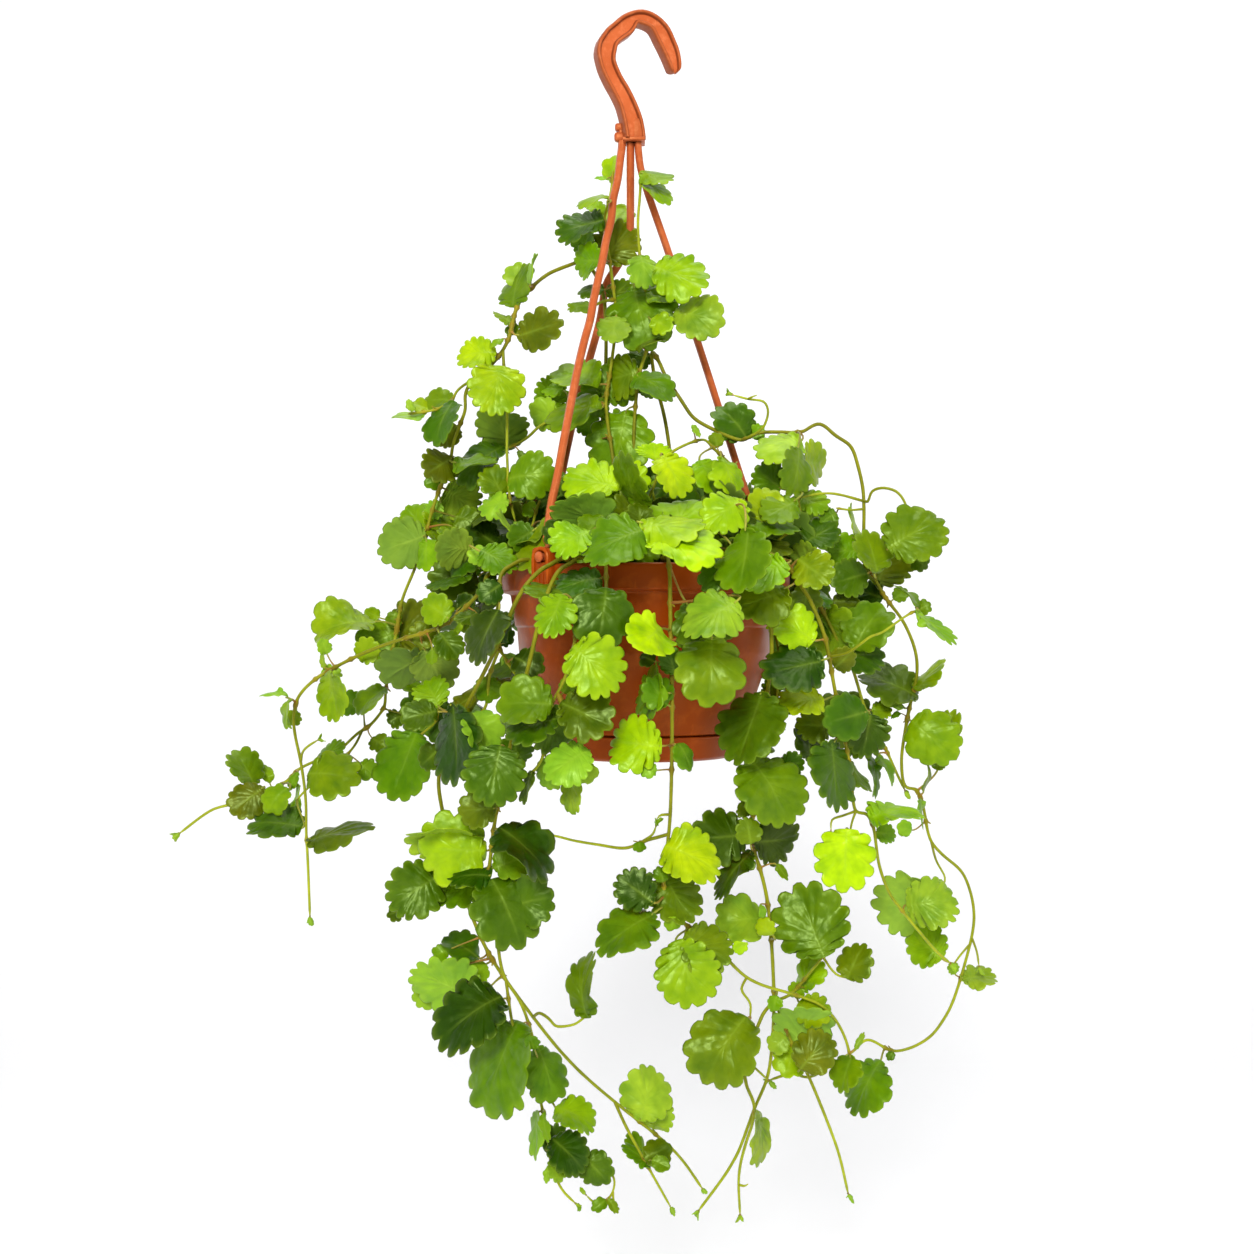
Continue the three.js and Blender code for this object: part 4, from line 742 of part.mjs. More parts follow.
// a leaf: a three-sided stalk that opens into a blade, flat above and keeled below
const SECTIONS = {
  0: [[0.48, 0.5]],
  1: [[0.22, 0.46], [0.7, 0.48]],
};
function axes([, , length, across]) {
  const L = V3(length), W = V3(across).normalize();
  const len = L.length();
  L.normalize();
  const N = new THREE.Vector3().crossVectors(W, L).normalize();
  W.crossVectors(L, N).normalize();
  return { L, W, N, len };
}
function leafSolid(leaf) {
  const [from, base, , , width, kind] = leaf;
  const { L, W, N, len } = axes(leaf);
  const A = V3(from), B = V3(base);
  const rings = [];
  const T = B.clone().sub(A);
  const ring = (C, w, k, D) => [
    C.clone().addScaledVector(W, w).addScaledVector(N, 0.1),
    C.clone().addScaledVector(W, -w).addScaledVector(N, 0.1),
    C.clone().addScaledVector(D, -k),
  ];
  if (T.length() > 2) {
    T.normalize();
    // the stalk's own across and down directions
    const U = new THREE.Vector3().crossVectors(T, N);
    if (U.length() < 0.2) U.copy(W);
    U.normalize();
    if (U.dot(W) < 0) U.negate();
    const D = new THREE.Vector3().crossVectors(U, T).normalize();
    if (D.dot(N) < 0) D.negate();
    rings.push([
      A.clone().addScaledVector(U, STALK_R).addScaledVector(D, STALK_R * 0.5),
      A.clone().addScaledVector(U, -STALK_R).addScaledVector(D, STALK_R * 0.5),
      A.clone().addScaledVector(D, -STALK_R),
    ]);
    rings.push(ring(B, STALK_R, STALK_R, N));
  } else {
    rings.push(ring(A, STALK_R, STALK_R, N));
  }
  for (const [u, w] of SECTIONS[kind]) rings.push(ring(B.clone().addScaledVector(L, u * len), w * width, LEAF_KEEL, N));
  rings.push([B.clone().addScaledVector(L, len)]);
  return loft(rings);
}
// the room a leaf needs
function leafRoom(leaf) {
  const [from, base, , , width] = leaf;
  const { L, W, N, len } = axes(leaf);
  const c = CLEARANCE;
  const outline = [[0, -c], [0.44 * width + c, 0.15 * len], [0.5 * width + c, 0.5 * len], [0.38 * width + c, 0.88 * len + c], [0, len + c],
    [-0.38 * width - c, 0.88 * len + c], [-0.5 * width - c, 0.5 * len], [-0.44 * width - c, 0.15 * len]];
  const g = new THREE.ExtrudeGeometry(new THREE.Shape(outline.map((p) => new THREE.Vector2(...p))), { depth: LEAF_KEEL + 2 * c, bevelEnabled: false });
  g.translate(0, 0, -LEAF_KEEL - c);
  g.applyMatrix4(new THREE.Matrix4().makeBasis(W, L, N).setPosition(...base));
  const plate = solid(g);
  if (V3(from).distanceTo(V3(base)) < 0.5) return plate;
  return plate.add(sweep([from, base], STALK_R + c, STALK_R + c, 4));
}

const pieces = VINES.flatMap((vine, v) => [
  ...vine.stems.map((s) => ({ v, fixed: true, own: stem(s), room: stem(s, CLEARANCE) })),
  ...vine.leaves.map((l) => ({ v, leaf: l, own: leafSolid(l), room: leafRoom(l) })),
]);
for (const p of pieces) {
  p.cut = p.own;
  p.ownBox = p.own.boundingBox();
  p.roomBox = p.room.boundingBox();
}
const apart = (a, b) => [0, 1, 2].some((k) => a.min[k] > b.max[k] || b.min[k] > a.max[k]);

// a leaf gives way to the pot and the hanger, with a little room round them
const c = CLEARANCE;
const potRoom = join([
  lathe([[0, SAUCER_BOTTOM - c], [48.2 + c, SAUCER_BOTTOM - c], [SAUCER_R + c, STEP_Z - 0.6], [58.2 + c, -344.8], [67.4 + c, COLLAR_BOTTOM - c],
    [69.8 + c, RIM_BOTTOM - 1.2 - c], [RIM_R + c, RIM_BOTTOM - c], [RIM_R + c, RIM_TOP + c], [RIM_R - WALL - 1.2 - c, RIM_TOP + c], [RIM_R - WALL - 1.4 - c, SOIL_TOP + c], [0, SOIL_TOP + c]]),
  ...LUG_ANGLES.map((deg) =>
    box(LUG_W + 2 * c, LUG_T + 4.6 + c, LUG_TOP - LUG_BOTTOM + 2 * c, 0, -(RIM_R - 1.2 + (LUG_T + 4.6 + c) / 2), (LUG_TOP + LUG_BOTTOM) / 2)
      .rotate([0, 0, deg])
      .translate([AXIS_X, 0, 0])),
]);
const hangerRoom = join(makeHanger(c));
for (const o of [hangerRoom, potRoom]) {
  const oBox = o.boundingBox();
  for (const p of pieces) {
    if (!p.leaf || apart(p.roomBox, oBox)) continue;
    if (p.own.intersect(o).volume() > 1e-7) p.cut = p.cut.subtract(o);
  }
}
// and where parts of two vines cross, the later leaf gives way
const cuts = [];
for (let i = 0; i < pieces.length; i++)
  for (let j = i + 1; j < pieces.length; j++) {
    const a = pieces[i], b = pieces[j];
    if (a.v === b.v || (a.fixed && b.fixed) || apart(a.ownBox, b.ownBox)) continue;
    if (a.own.intersect(b.own).volume() < 1e-8) continue;
    if (a.fixed || (b.leaf && b.leaf[5] <= (a.leaf ? a.leaf[5] : 2))) b.cut = b.cut.subtract(a.room);
    else a.cut = a.cut.subtract(b.room);
    cuts.push([VINES[a.v].name, VINES[b.v].name]);
  }

const materials = {};
const green = (hex) => (materials[hex] ??= new THREE.MeshStandardMaterial({ color: hex, roughness: 0.45, metalness: 0 }));

const plant = new THREE.Group();
const add = (name, manifold, material) => {
  const mesh = new THREE.Mesh(geometryOf(manifold), material);
  mesh.name = name;
  plant.add(mesh);
};
add("hanger", hanger, new THREE.MeshStandardMaterial({ color: 0xdf7a45, roughness: 0.45, metalness: 0 }));
add("pot", pot, new THREE.MeshStandardMaterial({ color: 0xa84a1c, roughness: 0.42, metalness: 0 }));
add("drip_saucer", saucer, new THREE.MeshStandardMaterial({ color: 0x9c4418, roughness: 0.45, metalness: 0 }));
add("soil", soil, new THREE.MeshStandardMaterial({ color: 0x2c2018, roughness: 1, metalness: 0 }));
VINES.forEach((vine, v) => {
  const list = pieces.filter((p) => p.v === v).map((p) => p.cut).filter((m) => !m.isEmpty());
  add(vine.name, largest(join(list)), green(vine.colour));
});

export default plant;
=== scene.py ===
import math

import bpy
import bmesh
import numpy as np
from mathutils import Matrix, Vector


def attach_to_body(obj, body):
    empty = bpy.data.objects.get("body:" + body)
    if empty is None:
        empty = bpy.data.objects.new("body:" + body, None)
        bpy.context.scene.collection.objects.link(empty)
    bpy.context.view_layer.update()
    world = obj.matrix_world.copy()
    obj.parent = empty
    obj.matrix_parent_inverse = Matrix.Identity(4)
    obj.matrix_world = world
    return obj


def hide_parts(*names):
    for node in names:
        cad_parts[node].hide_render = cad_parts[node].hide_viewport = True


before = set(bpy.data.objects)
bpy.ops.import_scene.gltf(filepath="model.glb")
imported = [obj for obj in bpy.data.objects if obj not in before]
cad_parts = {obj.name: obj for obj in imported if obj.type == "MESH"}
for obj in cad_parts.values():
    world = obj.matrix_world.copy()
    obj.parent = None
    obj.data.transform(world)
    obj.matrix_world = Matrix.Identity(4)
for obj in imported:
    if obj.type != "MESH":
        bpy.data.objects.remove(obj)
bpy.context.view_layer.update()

MM = 0.001

# ---------------------------------------------------------------- plant data
# Stems: for each vine, [start radius, end radius, x, y, z, x, y, z ...] in 0.1 mm.
# Leaves: [stem, attach xyz, base xyz, base-to-tip xyz, upper face normal xyz * 100, width, tone, kind], in 0.1 mm.
# Tones: Y young yellow-green, B bright, G green, M mid, O olive; D dark and K darkest, each partly the leaves' own
# darker green and partly painted shade for leaves lying under others; P pale, a painted sheen for glossy leaves facing
# the light.
VINES = [
("vine_hanger_climber", [
[120, 70, -181, -80, -2876, -166, -60, -2671, -140, -47, -2522, -135, -38, -2445, -145, -15, -2294, -187, 38, -1978, -183, 49, -1885, -162, 59, -1756, -152, 59,
-1680, -142, 53, -1600, -136, 36, -1485, -146, 8, -1378, -156, -6, -1303, -180, -22, -1146, -197, -28, -1040, -195, -27, -1003, -181, -21, -946, -167, -8, -889,
-156, 15, -816, -153, 18, -780, -150, 12, -746],
[80, 50, -142, 18, -1413, -209, -22, -1434, -241, -52, -1458, -255, -61, -1464, -289, -70, -1469, -345, -80, -1469],
[80, 60, -188, 40, -1959, -238, 65, -1949, -273, 80, -1948, -306, 89, -1956, -341, 96, -1970, -413, 100, -2001, -522, 92, -2053, -551, 88, -2074, -586, 81,
-2110, -612, 79, -2131, -653, 80, -2156, -698, 79, -2177, -746, 80, -2195, -815, 90, -2214, -999, 90, -2241]],
[(0, -154, 17, -798, -157, 65, -791, 17, 32, 159, -78, -59, 20, 162, 'Y', '-', 0),
(0, -153, 18, -780, -182, -10, -789, -68, 19, 5, -20, -84, 51, 36, 'P', '-', 1),
(0, -171, -13, -909, -169, -133, -950, -171, 35, -17, -17, -45, 88, 148, 'P', '-', 2),
(0, -197, -28, -1023, -192, -76, -1034, -261, 53, -44, -26, -70, 67, 270, 'D', '-', 3),
(0, -197, -28, -1040, -298, 257, -963, 267, -55, 47, -24, -45, 86, 208, 'Y', '-', 4),
(0, -168, -15, -1223, -194, 69, -1212, 147, 54, 227, -12, -95, 30, 275, 'O', '-', 5),
(0, -168, -15, -1223, -211, -112, -1252, -144, 127, 44, -62, -76, 19, 203, 'G', '-', 6),
(0, -149, 4, -1360, -198, 50, -1355, -141, 29, -11, -20, -70, 68, 144, 'D', '-', 7),
(1, -159, 8, -1418, -161, 90, -1402, 102, 31, 114, -22, -87, 43, 156, 'O', '-', 8),
(1, -255, -61, -1464, -253, -100, -1473, -122, -25, -33, -1, -77, 63, 129, 'M', '-', 9),
(0, -136, 40, -1504, -134, -47, -1519, -22, -91, -156, 7, -87, 49, 187, 'P', '-', 10),
(0, -177, 53, -1848, -219, 6, -1857, -264, 55, 67, 2, -73, 69, 278, 'B', '-', 11),
(2, -379, 100, -1986, -419, 167, -1859, -121, 24, 11, -12, -84, 53, 123, 'B', '-', 12),
(2, -432, 100, -2009, -446, 71, -1990, -148, 102, -11, -57, -82, -4, 185, 'P', '-', 13),
(2, -221, 57, -1952, -206, -61, -1988, -301, 61, -56, -27, -71, 65, 311, 'M', '-', 14),
(0, -164, 10, -2143, -219, 88, -2138, 250, 109, 68, 37, -92, 10, 290, 'M', '-', 15),
(2, -714, 79, -2183, -718, 213, -2176, -40, -185, 214, -12, 76, 64, 294, 'M', 'U', 16),
(2, -730, 79, -2189, -710, 80, -2193, -244, -63, -193, -39, -61, 69, 317, 'D', '-', 17),
(2, -999, 90, -2241, -980, -23, -2240, -134, -117, -112, 43, -83, 36, 217, 'O', '-', 18),
(2, -983, 90, -2239, -971, -78, -2271, 233, -47, -11, -7, -56, 83, 238, 'M', '-', 19),
(2, -667, 80, -2163, -644, 50, -2193, 42, -29, -94, 35, -84, 42, 60, 'M', '-', 20),
(0, -160, -57, -2634, -152, 5, -2599, -50, 33, 221, 36, -85, 37, 247, 'D', '-', 2006),
(0, -171, 56, -1811, -173, 143, -1833, -138, -46, -132, -7, -91, 41, 200, 'M', '-', 2014),
(2, -413, 100, -2001, -458, 186, -1958, -41, 0, 184, 20, -95, 24, 202, 'G', '-', 2037),
(0, -197, -28, -1023, -195, 58, -954, -91, 19, 67, 23, -82, 52, 114, 'B', '-', 2043),
(2, -205, 48, -1956, -210, 108, -1912, 169, -6, 169, 33, -93, 15, 251, 'M', '-', 2076),
(0, -185, 47, -1904, -211, 69, -1916, -39, 19, -106, 11, -85, 52, 120, 'M', '-', 2093),
(0, -166, -60, -2671, 22, -57, -2650, 206, -111, 35, -3, -54, 84, 238, 'D', '-', 2114),
(0, -140, -47, -2522, -154, -92, -2577, -269, -40, -139, -66, -15, 74, 327, 'D', '-', 2130)]),
("vine_hanger_climber_right", [
[120, 70, -10, 60, -2876, 13, 53, -2722, 16, 49, -2646, -37, 32, -2252, -42, 29, -2176, -41, 25, -2072, -31, 20, -1936, -20, 20, -1843, -6, 20, -1772, 32, 20,
-1650, 40, 21, -1594, 42, 21, -1538, 38, 16, -1482, -6, -16, -1238, -17, -26, -1129, -21, -30, -1018, -11, -30, -883, -6, -40, -788],
[90, 60, 42, 20, -1519, 81, -7, -1457, 93, -20, -1424, 92, -32, -1389, 75, -55, -1318, 66, -80, -1274],
[80, 50, 41, 21, -1575, 113, -29, -1532, 175, -60, -1496]],
[(0, -6, -40, -788, -13, -89, -782, 177, -37, -55, 7, -70, 71, 189, 'G', '-', 21),
(0, -8, -36, -825, 10, -64, -827, 128, -37, -134, 49, -59, 64, 188, 'B', '-', 22),
(0, -11, -20, -1201, -12, -109, -1219, 11, -37, -182, 33, -92, 21, 186, 'P', '-', 23),
(1, 66, -80, -1274, 60, -128, -1283, 276, -60, -110, -1, -89, 45, 302, 'B', '-', 24),
(2, 175, -60, -1496, 164, -94, -1501, 260, -55, -78, -4, -88, 47, 277, 'P', '-', 25),
(0, 41, 21, -1575, -10, -38, -1589, -17, 29, 140, -2, -98, 20, 148, 'Y', '-', 26),
(0, 27, 8, -1425, 25, -58, -1444, 150, 31, 22, 1, -61, 79, 155, 'G', '-', 27),
(0, 42, 20, -1519, 46, -128, -1550, 110, -44, -55, -30, -94, 15, 135, 'B', '-', 28),
(0, 28, 20, -1667, -43, -52, -1670, 167, -34, 22, -21, -49, 85, 172, 'O', '-', 29),
(0, -10, 20, -1790, -18, 19, -1788, -208, 121, -45, -48, -87, -10, 252, 'M', '-', 30),
(0, -14, 20, -1808, -33, -53, -1814, 190, -49, -150, 27, -77, 58, 246, 'M', '-', 31),
(1, 79, -49, -1334, -45, 26, -1334, 91, -78, -364, -6, -97, -25, 402, 'M', '-', 2000),
(0, -34, 21, -1972, -83, 65, -1983, -63, -6, -354, -8, -99, 8, 377, 'G', '-', 2001),
(0, 2, 44, -2533, 36, 115, -2528, 270, 20, 160, -6, -97, 25, 338, 'D', '-', 2002),
(0, -10, 60, -2876, -32, 138, -2853, -145, 24, 114, 20, -90, 39, 196, 'O', '-', 2011),
(0, -17, 20, -1825, -20, 107, -1862, 105, 21, -32, 31, -85, 42, 121, 'M', '-', 2088),
(0, 5, 44, -2552, -96, 75, -2474, -237, 137, 119, -22, 64, 74, 319, 'D', '-', 2165)]),
("vine_left_arch", [
[130, 70, -242, 120, -2876, -261, 135, -2685, -262, 142, -2570, -232, 150, -2287, -201, 160, -1932, -190, 162, -1691, -191, 156, -1495, -199, 147, -1382, -218,
137, -1314, -245, 125, -1257, -267, 116, -1224, -289, 106, -1202, -299, 100, -1196, -315, 91, -1194, -388, 44, -1230, -466, -3, -1274, -491, -18, -1292, -541,
-46, -1338, -610, -73, -1416, -628, -80, -1444, -648, -88, -1491, -665, -98, -1556, -673, -100, -1605, -683, -100, -1637, -705, -101, -1684, -724, -99, -1714,
-760, -94, -1759, -801, -88, -1797, -860, -80, -1840, -882, -76, -1866, -901, -72, -1894, -911, -68, -1927, -913, -60, -2001, -942, -40, -2075, -980, -20,
-2176, -1004, 0, -2304, -1054, 23, -2395, -1103, 40, -2534, -1125, 50, -2612, -1184, 76, -2788, -1263, 90, -2983, -1291, 100, -3131, -1332, 117, -3323, -1354,
130, -3448, -1361, 139, -3526, -1366, 140, -3544, -1383, 141, -3573, -1440, 140, -3640, -1507, 130, -3686, -1591, 121, -3765, -1621, 118, -3785, -1807, 100,
-3869, -1863, 90, -3926, -1907, 80, -3954, -1959, 67, -3980, -2064, 46, -4023, -2118, 37, -4040, -2207, 25, -4061, -2242, 20, -4074, -2290, 14, -4104, -2402, 0,
-4191],
[80, 60, -714, -100, -1700, -702, -120, -1883, -690, -140, -2024, -689, -150, -2168, -688, -160, -2245, -673, -179, -2459, -664, -181, -2510, -646, -180, -2578],
[60, 40, -860, -80, -1840, -931, -114, -1896, -951, -126, -1922, -970, -140, -1963, -1012, -156, -1997, -1059, -165, -2018, -1188, -180, -2040],
[50, 40, -1480, 134, -3668, -1499, 64, -3729, -1514, 42, -3755, -1533, 27, -3780, -1570, 13, -3821, -1622, 0, -3874, -1743, -20, -3965, -1787, -30, -4016]],
[(0, -673, -100, -1605, -642, -148, -1635, 247, -51, 55, -26, -89, 36, 258, 'O', '-', 32),
(0, -642, -85, -1475, -656, -70, -1476, 39, 50, 245, -61, -75, 25, 252, 'M', '-', 33),
(0, -566, -55, -1363, -570, -183, -1382, 35, 32, 157, -85, -45, 28, 89, 'P', '-', 34),
(0, -668, -100, -1571, -663, -90, -1569, -103, 38, 82, 12, -84, 53, 71, 'M', '-', 35),
(0, -689, -100, -1653, -711, -137, -1646, -61, -25, -61, -18, -84, 52, 53, 'G', '-', 36),
(0, -735, -98, -1729, -745, -127, -1714, -210, 43, -33, -25, -82, 52, 216, 'Y', '-', 37),
(1, -708, -110, -1793, -721, -172, -1796, -27, -99, -274, 3, -94, 34, 301, 'B', '-', 38),
(2, -1109, -170, -2028, -1104, -156, -2025, -181, 37, -27, -22, -45, 87, 172, 'P', '-', 39),
(2, -1172, -178, -2038, -1160, -234, -2038, -20, 21, 70, 41, -84, 37, 52, 'P', '-', 40),
(2, -970, -140, -1963, -974, -67, -1961, -156, 31, 11, -12, -80, 58, 159, 'M', '-', 41),
(2, -970, -140, -1963, -961, -192, -1972, -66, -51, -246, -65, -69, 32, 259, 'D', '-', 42),
(0, -1054, 23, -2395, -1030, 75, -2396, 153, 147, -102, -52, 78, 35, 243, 'B', 'U', 43),
(1, -668, -181, -2493, -670, -246, -2496, -163, 33, -27, -25, -81, 53, 168, 'P', '-', 44),
(1, -677, -170, -2374, -678, -210, -2379, 251, -51, 16, -21, -94, 28, 256, 'M', '-', 45),
(0, -1136, 57, -2645, -1125, 5, -2643, -264, 56, -90, 19, 98, 6, 286, 'M', 'U', 46),
(0, -1131, 53, -2629, -1146, 147, -2621, -115, 97, 155, -27, -89, 36, 222, 'G', '-', 47),
(0, -1131, 53, -2629, -1124, 33, -2637, 152, 206, 79, 68, -64, 35, 276, 'G', '-', 48),
(0, -1142, 60, -2664, -1117, -44, -2664, 11, -35, -173, -60, -79, 12, 176, 'G', '-', 49),
(0, -1287, 99, -3113, -1404, 61, -3090, -294, -63, -113, -17, -60, 78, 321, 'B', 'R', 50),
(0, -1294, 101, -3148, -1300, 175, -3143, -207, -47, -104, 13, -97, 18, 236, 'M', '-', 51),
(0, -1291, 100, -3131, -1304, 177, -3127, 115, 191, 46, 78, -54, 31, 235, 'D', '-', 52),
(0, -1354, 130, -3448, -1340, 81, -3446, -148, -40, -136, -44, -61, 66, 205, 'M', '-', 53),
(0, -1699, 110, -3822, -1696, 26, -3802, 135, 32, 85, -30, -62, 72, 162, 'M', '-', 54),
(3, -1701, -14, -3933, -1708, -123, -3876, 287, -58, -17, -14, -83, 54, 293, 'M', '-', 55),
(0, -1820, 98, -3879, -1792, 15, -3876, -31, -28, -94, -39, -84, 38, 60, 'M', '-', 56),
(0, -2010, 56, -4003, -2030, 40, -3953, -124, 45, 186, 66, -49, 56, 228, 'M', '-', 57),
(0, -1941, 71, -3972, -1976, 160, -3949, -43, 30, 96, 35, -84, 42, 73, 'G', '-', 58),
(0, -1976, 63, -3988, -1959, -41, -3947, -156, -41, -134, 1, -96, 29, 210, 'O', '-', 59),
(0, -1891, 84, -3944, -1813, -96, -3952, -111, -33, -122, -24, -86, 45, 168, 'G', '-', 60),
(3, -1787, -30, -4016, -1732, -153, -4143, -297, 60, 0, -9, -45, 89, 296, 'D', '-', 61),
(0, -1850, 93, -3914, -1812, 77, -3941, -6, -49, -244, -89, -45, 11, 127, 'B', '-', 62),
(0, -1366, 140, -3544, -1275, 200, -3596, -80, -25, -32, 4, -84, 55, 123, 'D', '-', 63),
(1, -671, -180, -2476, -715, -152, -2461, -82, 8, 159, 24, -90, 36, 180, 'M', '-', 2004),
(0, -1315, 108, -3233, -1327, 204, -3199, 226, -43, 170, -43, -86, 27, 307, 'O', '-', 2005),
(0, -935, -44, -2060, -964, 32, -2070, -97, 0, -105, -19, -98, 1, 153, 'O', '-', 2026),
(0, -1453, 139, -3650, -1447, 229, -3713, 91, -27, -68, 15, -83, 54, 120, 'M', '-', 2027),
(0, -1466, 137, -3659, -1512, 235, -3553, -126, -14, 60, -36, -88, 30, 147, 'M', '-', 2042),
(0, -214, 156, -2090, -244, 245, -2066, -108, -20, 94, -64, -70, 31, 145, 'G', '-', 2047),
(0, -315, 91, -1194, -312, 171, -1145, 33, -32, 141, -22, -91, 36, 158, 'M', '-', 2049),
(0, -1281, 96, -3076, -1395, 170, -3070, -77, -17, 39, -22, -82, 52, 95, 'G', '-', 2051),
(2, -1044, -163, -2013, -1094, -65, -1999, -98, -20, 32, 6, -80, 60, 104, 'B', '-', 2058),
(0, -1011, 4, -2320, -1042, 77, -2339, -99, -18, -41, 20, -91, 36, 107, 'M', '-', 2059),
(0, -1092, 36, -2503, -986, 101, -2537, 140, -11, -39, 2, -96, 29, 157, 'M', '-', 2060),
(3, -1533, 27, -3780, -1489, 115, -3839, 86, -9, -72, -6, -96, 27, 126, 'M', '-', 2066),
(0, -1346, 125, -3398, -1271, 177, -3394, 93, 11, -61, 44, -86, 25, 116, 'M', '-', 2070),
(0, -256, 131, -2742, -236, 224, -2746, 241, 6, -29, 0, -100, 9, 245, 'O', '-', 2071),
(0, -658, -93, -1524, -656, -31, -1545, -34, -10, -77, -15, -92, 35, 87, 'M', '-', 2083),
(0, -1065, 26, -2426, -1057, 91, -2466, -76, 20, -74, 26, -80, 54, 118, 'P', '-', 2086),
(0, -578, -60, -1377, -604, -9, -1343, -102, 14, 95, -1, -93, 37, 155, 'P', '-', 2089),
(0, -1272, 92, -3020, -1298, 125, -3040, -27, 4, -85, 11, -97, 24, 93, 'M', '-', 2090),
(0, -1121, 48, -2598, -986, -11, -2598, 89, -145, -152, 15, 10, 98, 255, 'G', '-', 2122),
(0, -262, 142, -2570, -380, 152, -2490, -254, -23, 79, -83, 30, 47, 288, 'K', '-', 2138),
(0, -238, 148, -2345, -86, 112, -2467, 260, 17, -89, 36, 20, 91, 315, 'D', '-', 2177)]),
("vine_left_trail", [
[120, 60, -266, -180, -2876, -283, -197, -2872, -300, -199, -2868, -366, -267, -2857, -398, -290, -2853, -441, -306, -2848, -488, -319, -2839, -530, -338,
-2822, -561, -372, -2799, -575, -388, -2795, -618, -427, -2795, -633, -437, -2798, -649, -445, -2807, -682, -456, -2827, -715, -464, -2841, -739, -477, -2854,
-748, -487, -2861, -757, -509, -2878, -762, -542, -2907, -768, -557, -2929, -783, -560, -2953, -873, -517, -3041, -927, -493, -3085, -971, -474, -3112, -1053,
-444, -3144, -1239, -390, -3197, -1432, -335, -3272, -1617, -275, -3368, -1673, -254, -3408, -1709, -237, -3442, -1738, -220, -3481, -1761, -197, -3545, -1768,
-182, -3596, -1764, -168, -3665, -1741, -143, -3807, -1722, -139, -3942, -1715, -140, -4023, -1713, -140, -4182, -1707, -141, -4279, -1690, -160, -4589],
[60, 40, -1741, -143, -3807, -1728, -172, -3765, -1712, -192, -3742, -1676, -221, -3714, -1631, -240, -3688]],
[(0, -1555, -295, -3333, -1547, -335, -3334, 37, -52, -257, -76, -65, 2, 264, 'G', '-', 64),
(0, -1570, -290, -3342, -1594, -250, -3326, -15, 23, 80, -53, -84, 14, 46, 'P', '-', 65),
(0, -1745, -214, -3496, -1762, -282, -3479, 11, -30, -151, -80, -59, 6, 154, 'G', '-', 66),
(0, -1745, -214, -3496, -1788, -215, -3473, -156, 31, 0, -9, -45, 89, 67, 'P', '-', 67),
(0, -1712, -140, -4201, -1699, -177, -4192, 361, -74, 71, -26, -45, 86, 245, 'O', '-', 68),
(0, -848, -529, -3016, -791, -571, -3063, -115, -34, -24, 13, -84, 53, 83, 'O', '-', 69),
(0, -941, -486, -3095, -933, -548, -3080, -135, 42, 93, -20, -97, 14, 174, 'G', '-', 70),
(0, -1003, -461, -3127, -980, -548, -3149, 93, -31, -125, 18, -92, 36, 158, 'D', '-', 71),
(0, -1089, -433, -3154, -1076, -298, -3255, -242, 56, -135, -20, 72, 66, 282, 'D', 'U', 72),
(0, -1089, -433, -3154, -1081, -355, -3226, 107, 48, -214, -9, 98, 18, 250, 'O', 'U', 73),
(0, -1053, -444, -3144, -1018, -527, -3221, 0, -23, -82, -49, -84, 24, 78, 'M', '-', 74),
(0, -783, -560, -2953, -672, -783, -3041, -100, -56, -260, -56, -74, 37, 284, 'K', '-', 75),
(0, -899, -505, -3064, -905, -412, -3031, 77, -13, 66, -4, -100, -1, 108, 'K', '-', 2031),
(0, -1752, -208, -3512, -1767, -128, -3546, -25, 9, -79, -3, -99, 12, 92, 'G', '-', 2053),
(0, -1524, -305, -3317, -1588, -229, -3255, -28, -18, 79, 35, -85, 39, 85, 'P', '-', 2054),
(0, -1164, -411, -3174, -1131, -368, -3200, 99, 23, 90, 27, -92, 27, 144, 'O', '-', 2074),
(0, -1448, -330, -3279, -1433, -261, -3268, 119, -30, 66, 29, -95, 9, 146, 'G', '-', 2080),
(0, -1632, -270, -3377, -1619, -227, -3354, 107, 16, -6, 7, -93, 37, 112, 'P', '-', 2099),
(0, -341, -241, -2861, -457, -232, -2758, -227, -19, 46, -40, -65, 64, 254, 'K', '-', 2151),
(0, -510, -327, -2832, -584, -328, -2709, -125, 12, 180, -79, 6, 61, 223, 'B', '-', 2155)]),
("vine_left_bush_upper", [
[110, 60, -307, 0, -2876, -415, -16, -2793, -496, -31, -2745, -580, -45, -2711, -654, -54, -2700, -690, -59, -2701, -726, -65, -2706, -777, -76, -2727, -863,
-100, -2776, -942, -120, -2839],
[80, 50, -580, -45, -2711, -570, -75, -2639, -559, -90, -2584, -545, -100, -2530, -524, -100, -2469]],
[(0, -760, -72, -2719, -752, -72, -2707, -167, 39, 100, 12, -84, 53, 198, 'K', '-', 76),
(0, -849, -96, -2767, -852, -154, -2734, -121, -36, -132, -26, -84, 47, 182, 'D', '-', 77),
(0, -777, -76, -2727, -750, -370, -2738, -107, -25, -64, -20, -76, 62, 126, 'P', '-', 78),
(0, -889, -107, -2796, -860, -49, -2832, -223, -50, -112, 1, -92, 39, 254, 'D', '-', 79),
(0, -821, -88, -2750, -786, -499, -2754, 178, -40, -94, 16, -76, 62, 205, 'M', '-', 80),
(1, -567, -81, -2621, -530, -404, -2641, -127, -47, -79, 26, -95, 16, 162, 'D', '-', 81),
(1, -545, -100, -2530, -546, -78, -2528, -72, 22, 31, -3, -84, 55, 106, 'B', '-', 82),
(1, -563, -86, -2603, -575, -28, -2610, 117, 40, 73, 24, -96, 15, 148, 'K', '-', 83),
(1, -529, -100, -2484, -532, -43, -2475, 112, 79, 45, 51, -84, 20, 148, 'D', '-', 84),
(0, -760, -72, -2719, -854, -215, -2732, -183, -100, 1, -78, 40, 48, 232, 'M', '-', 2105),
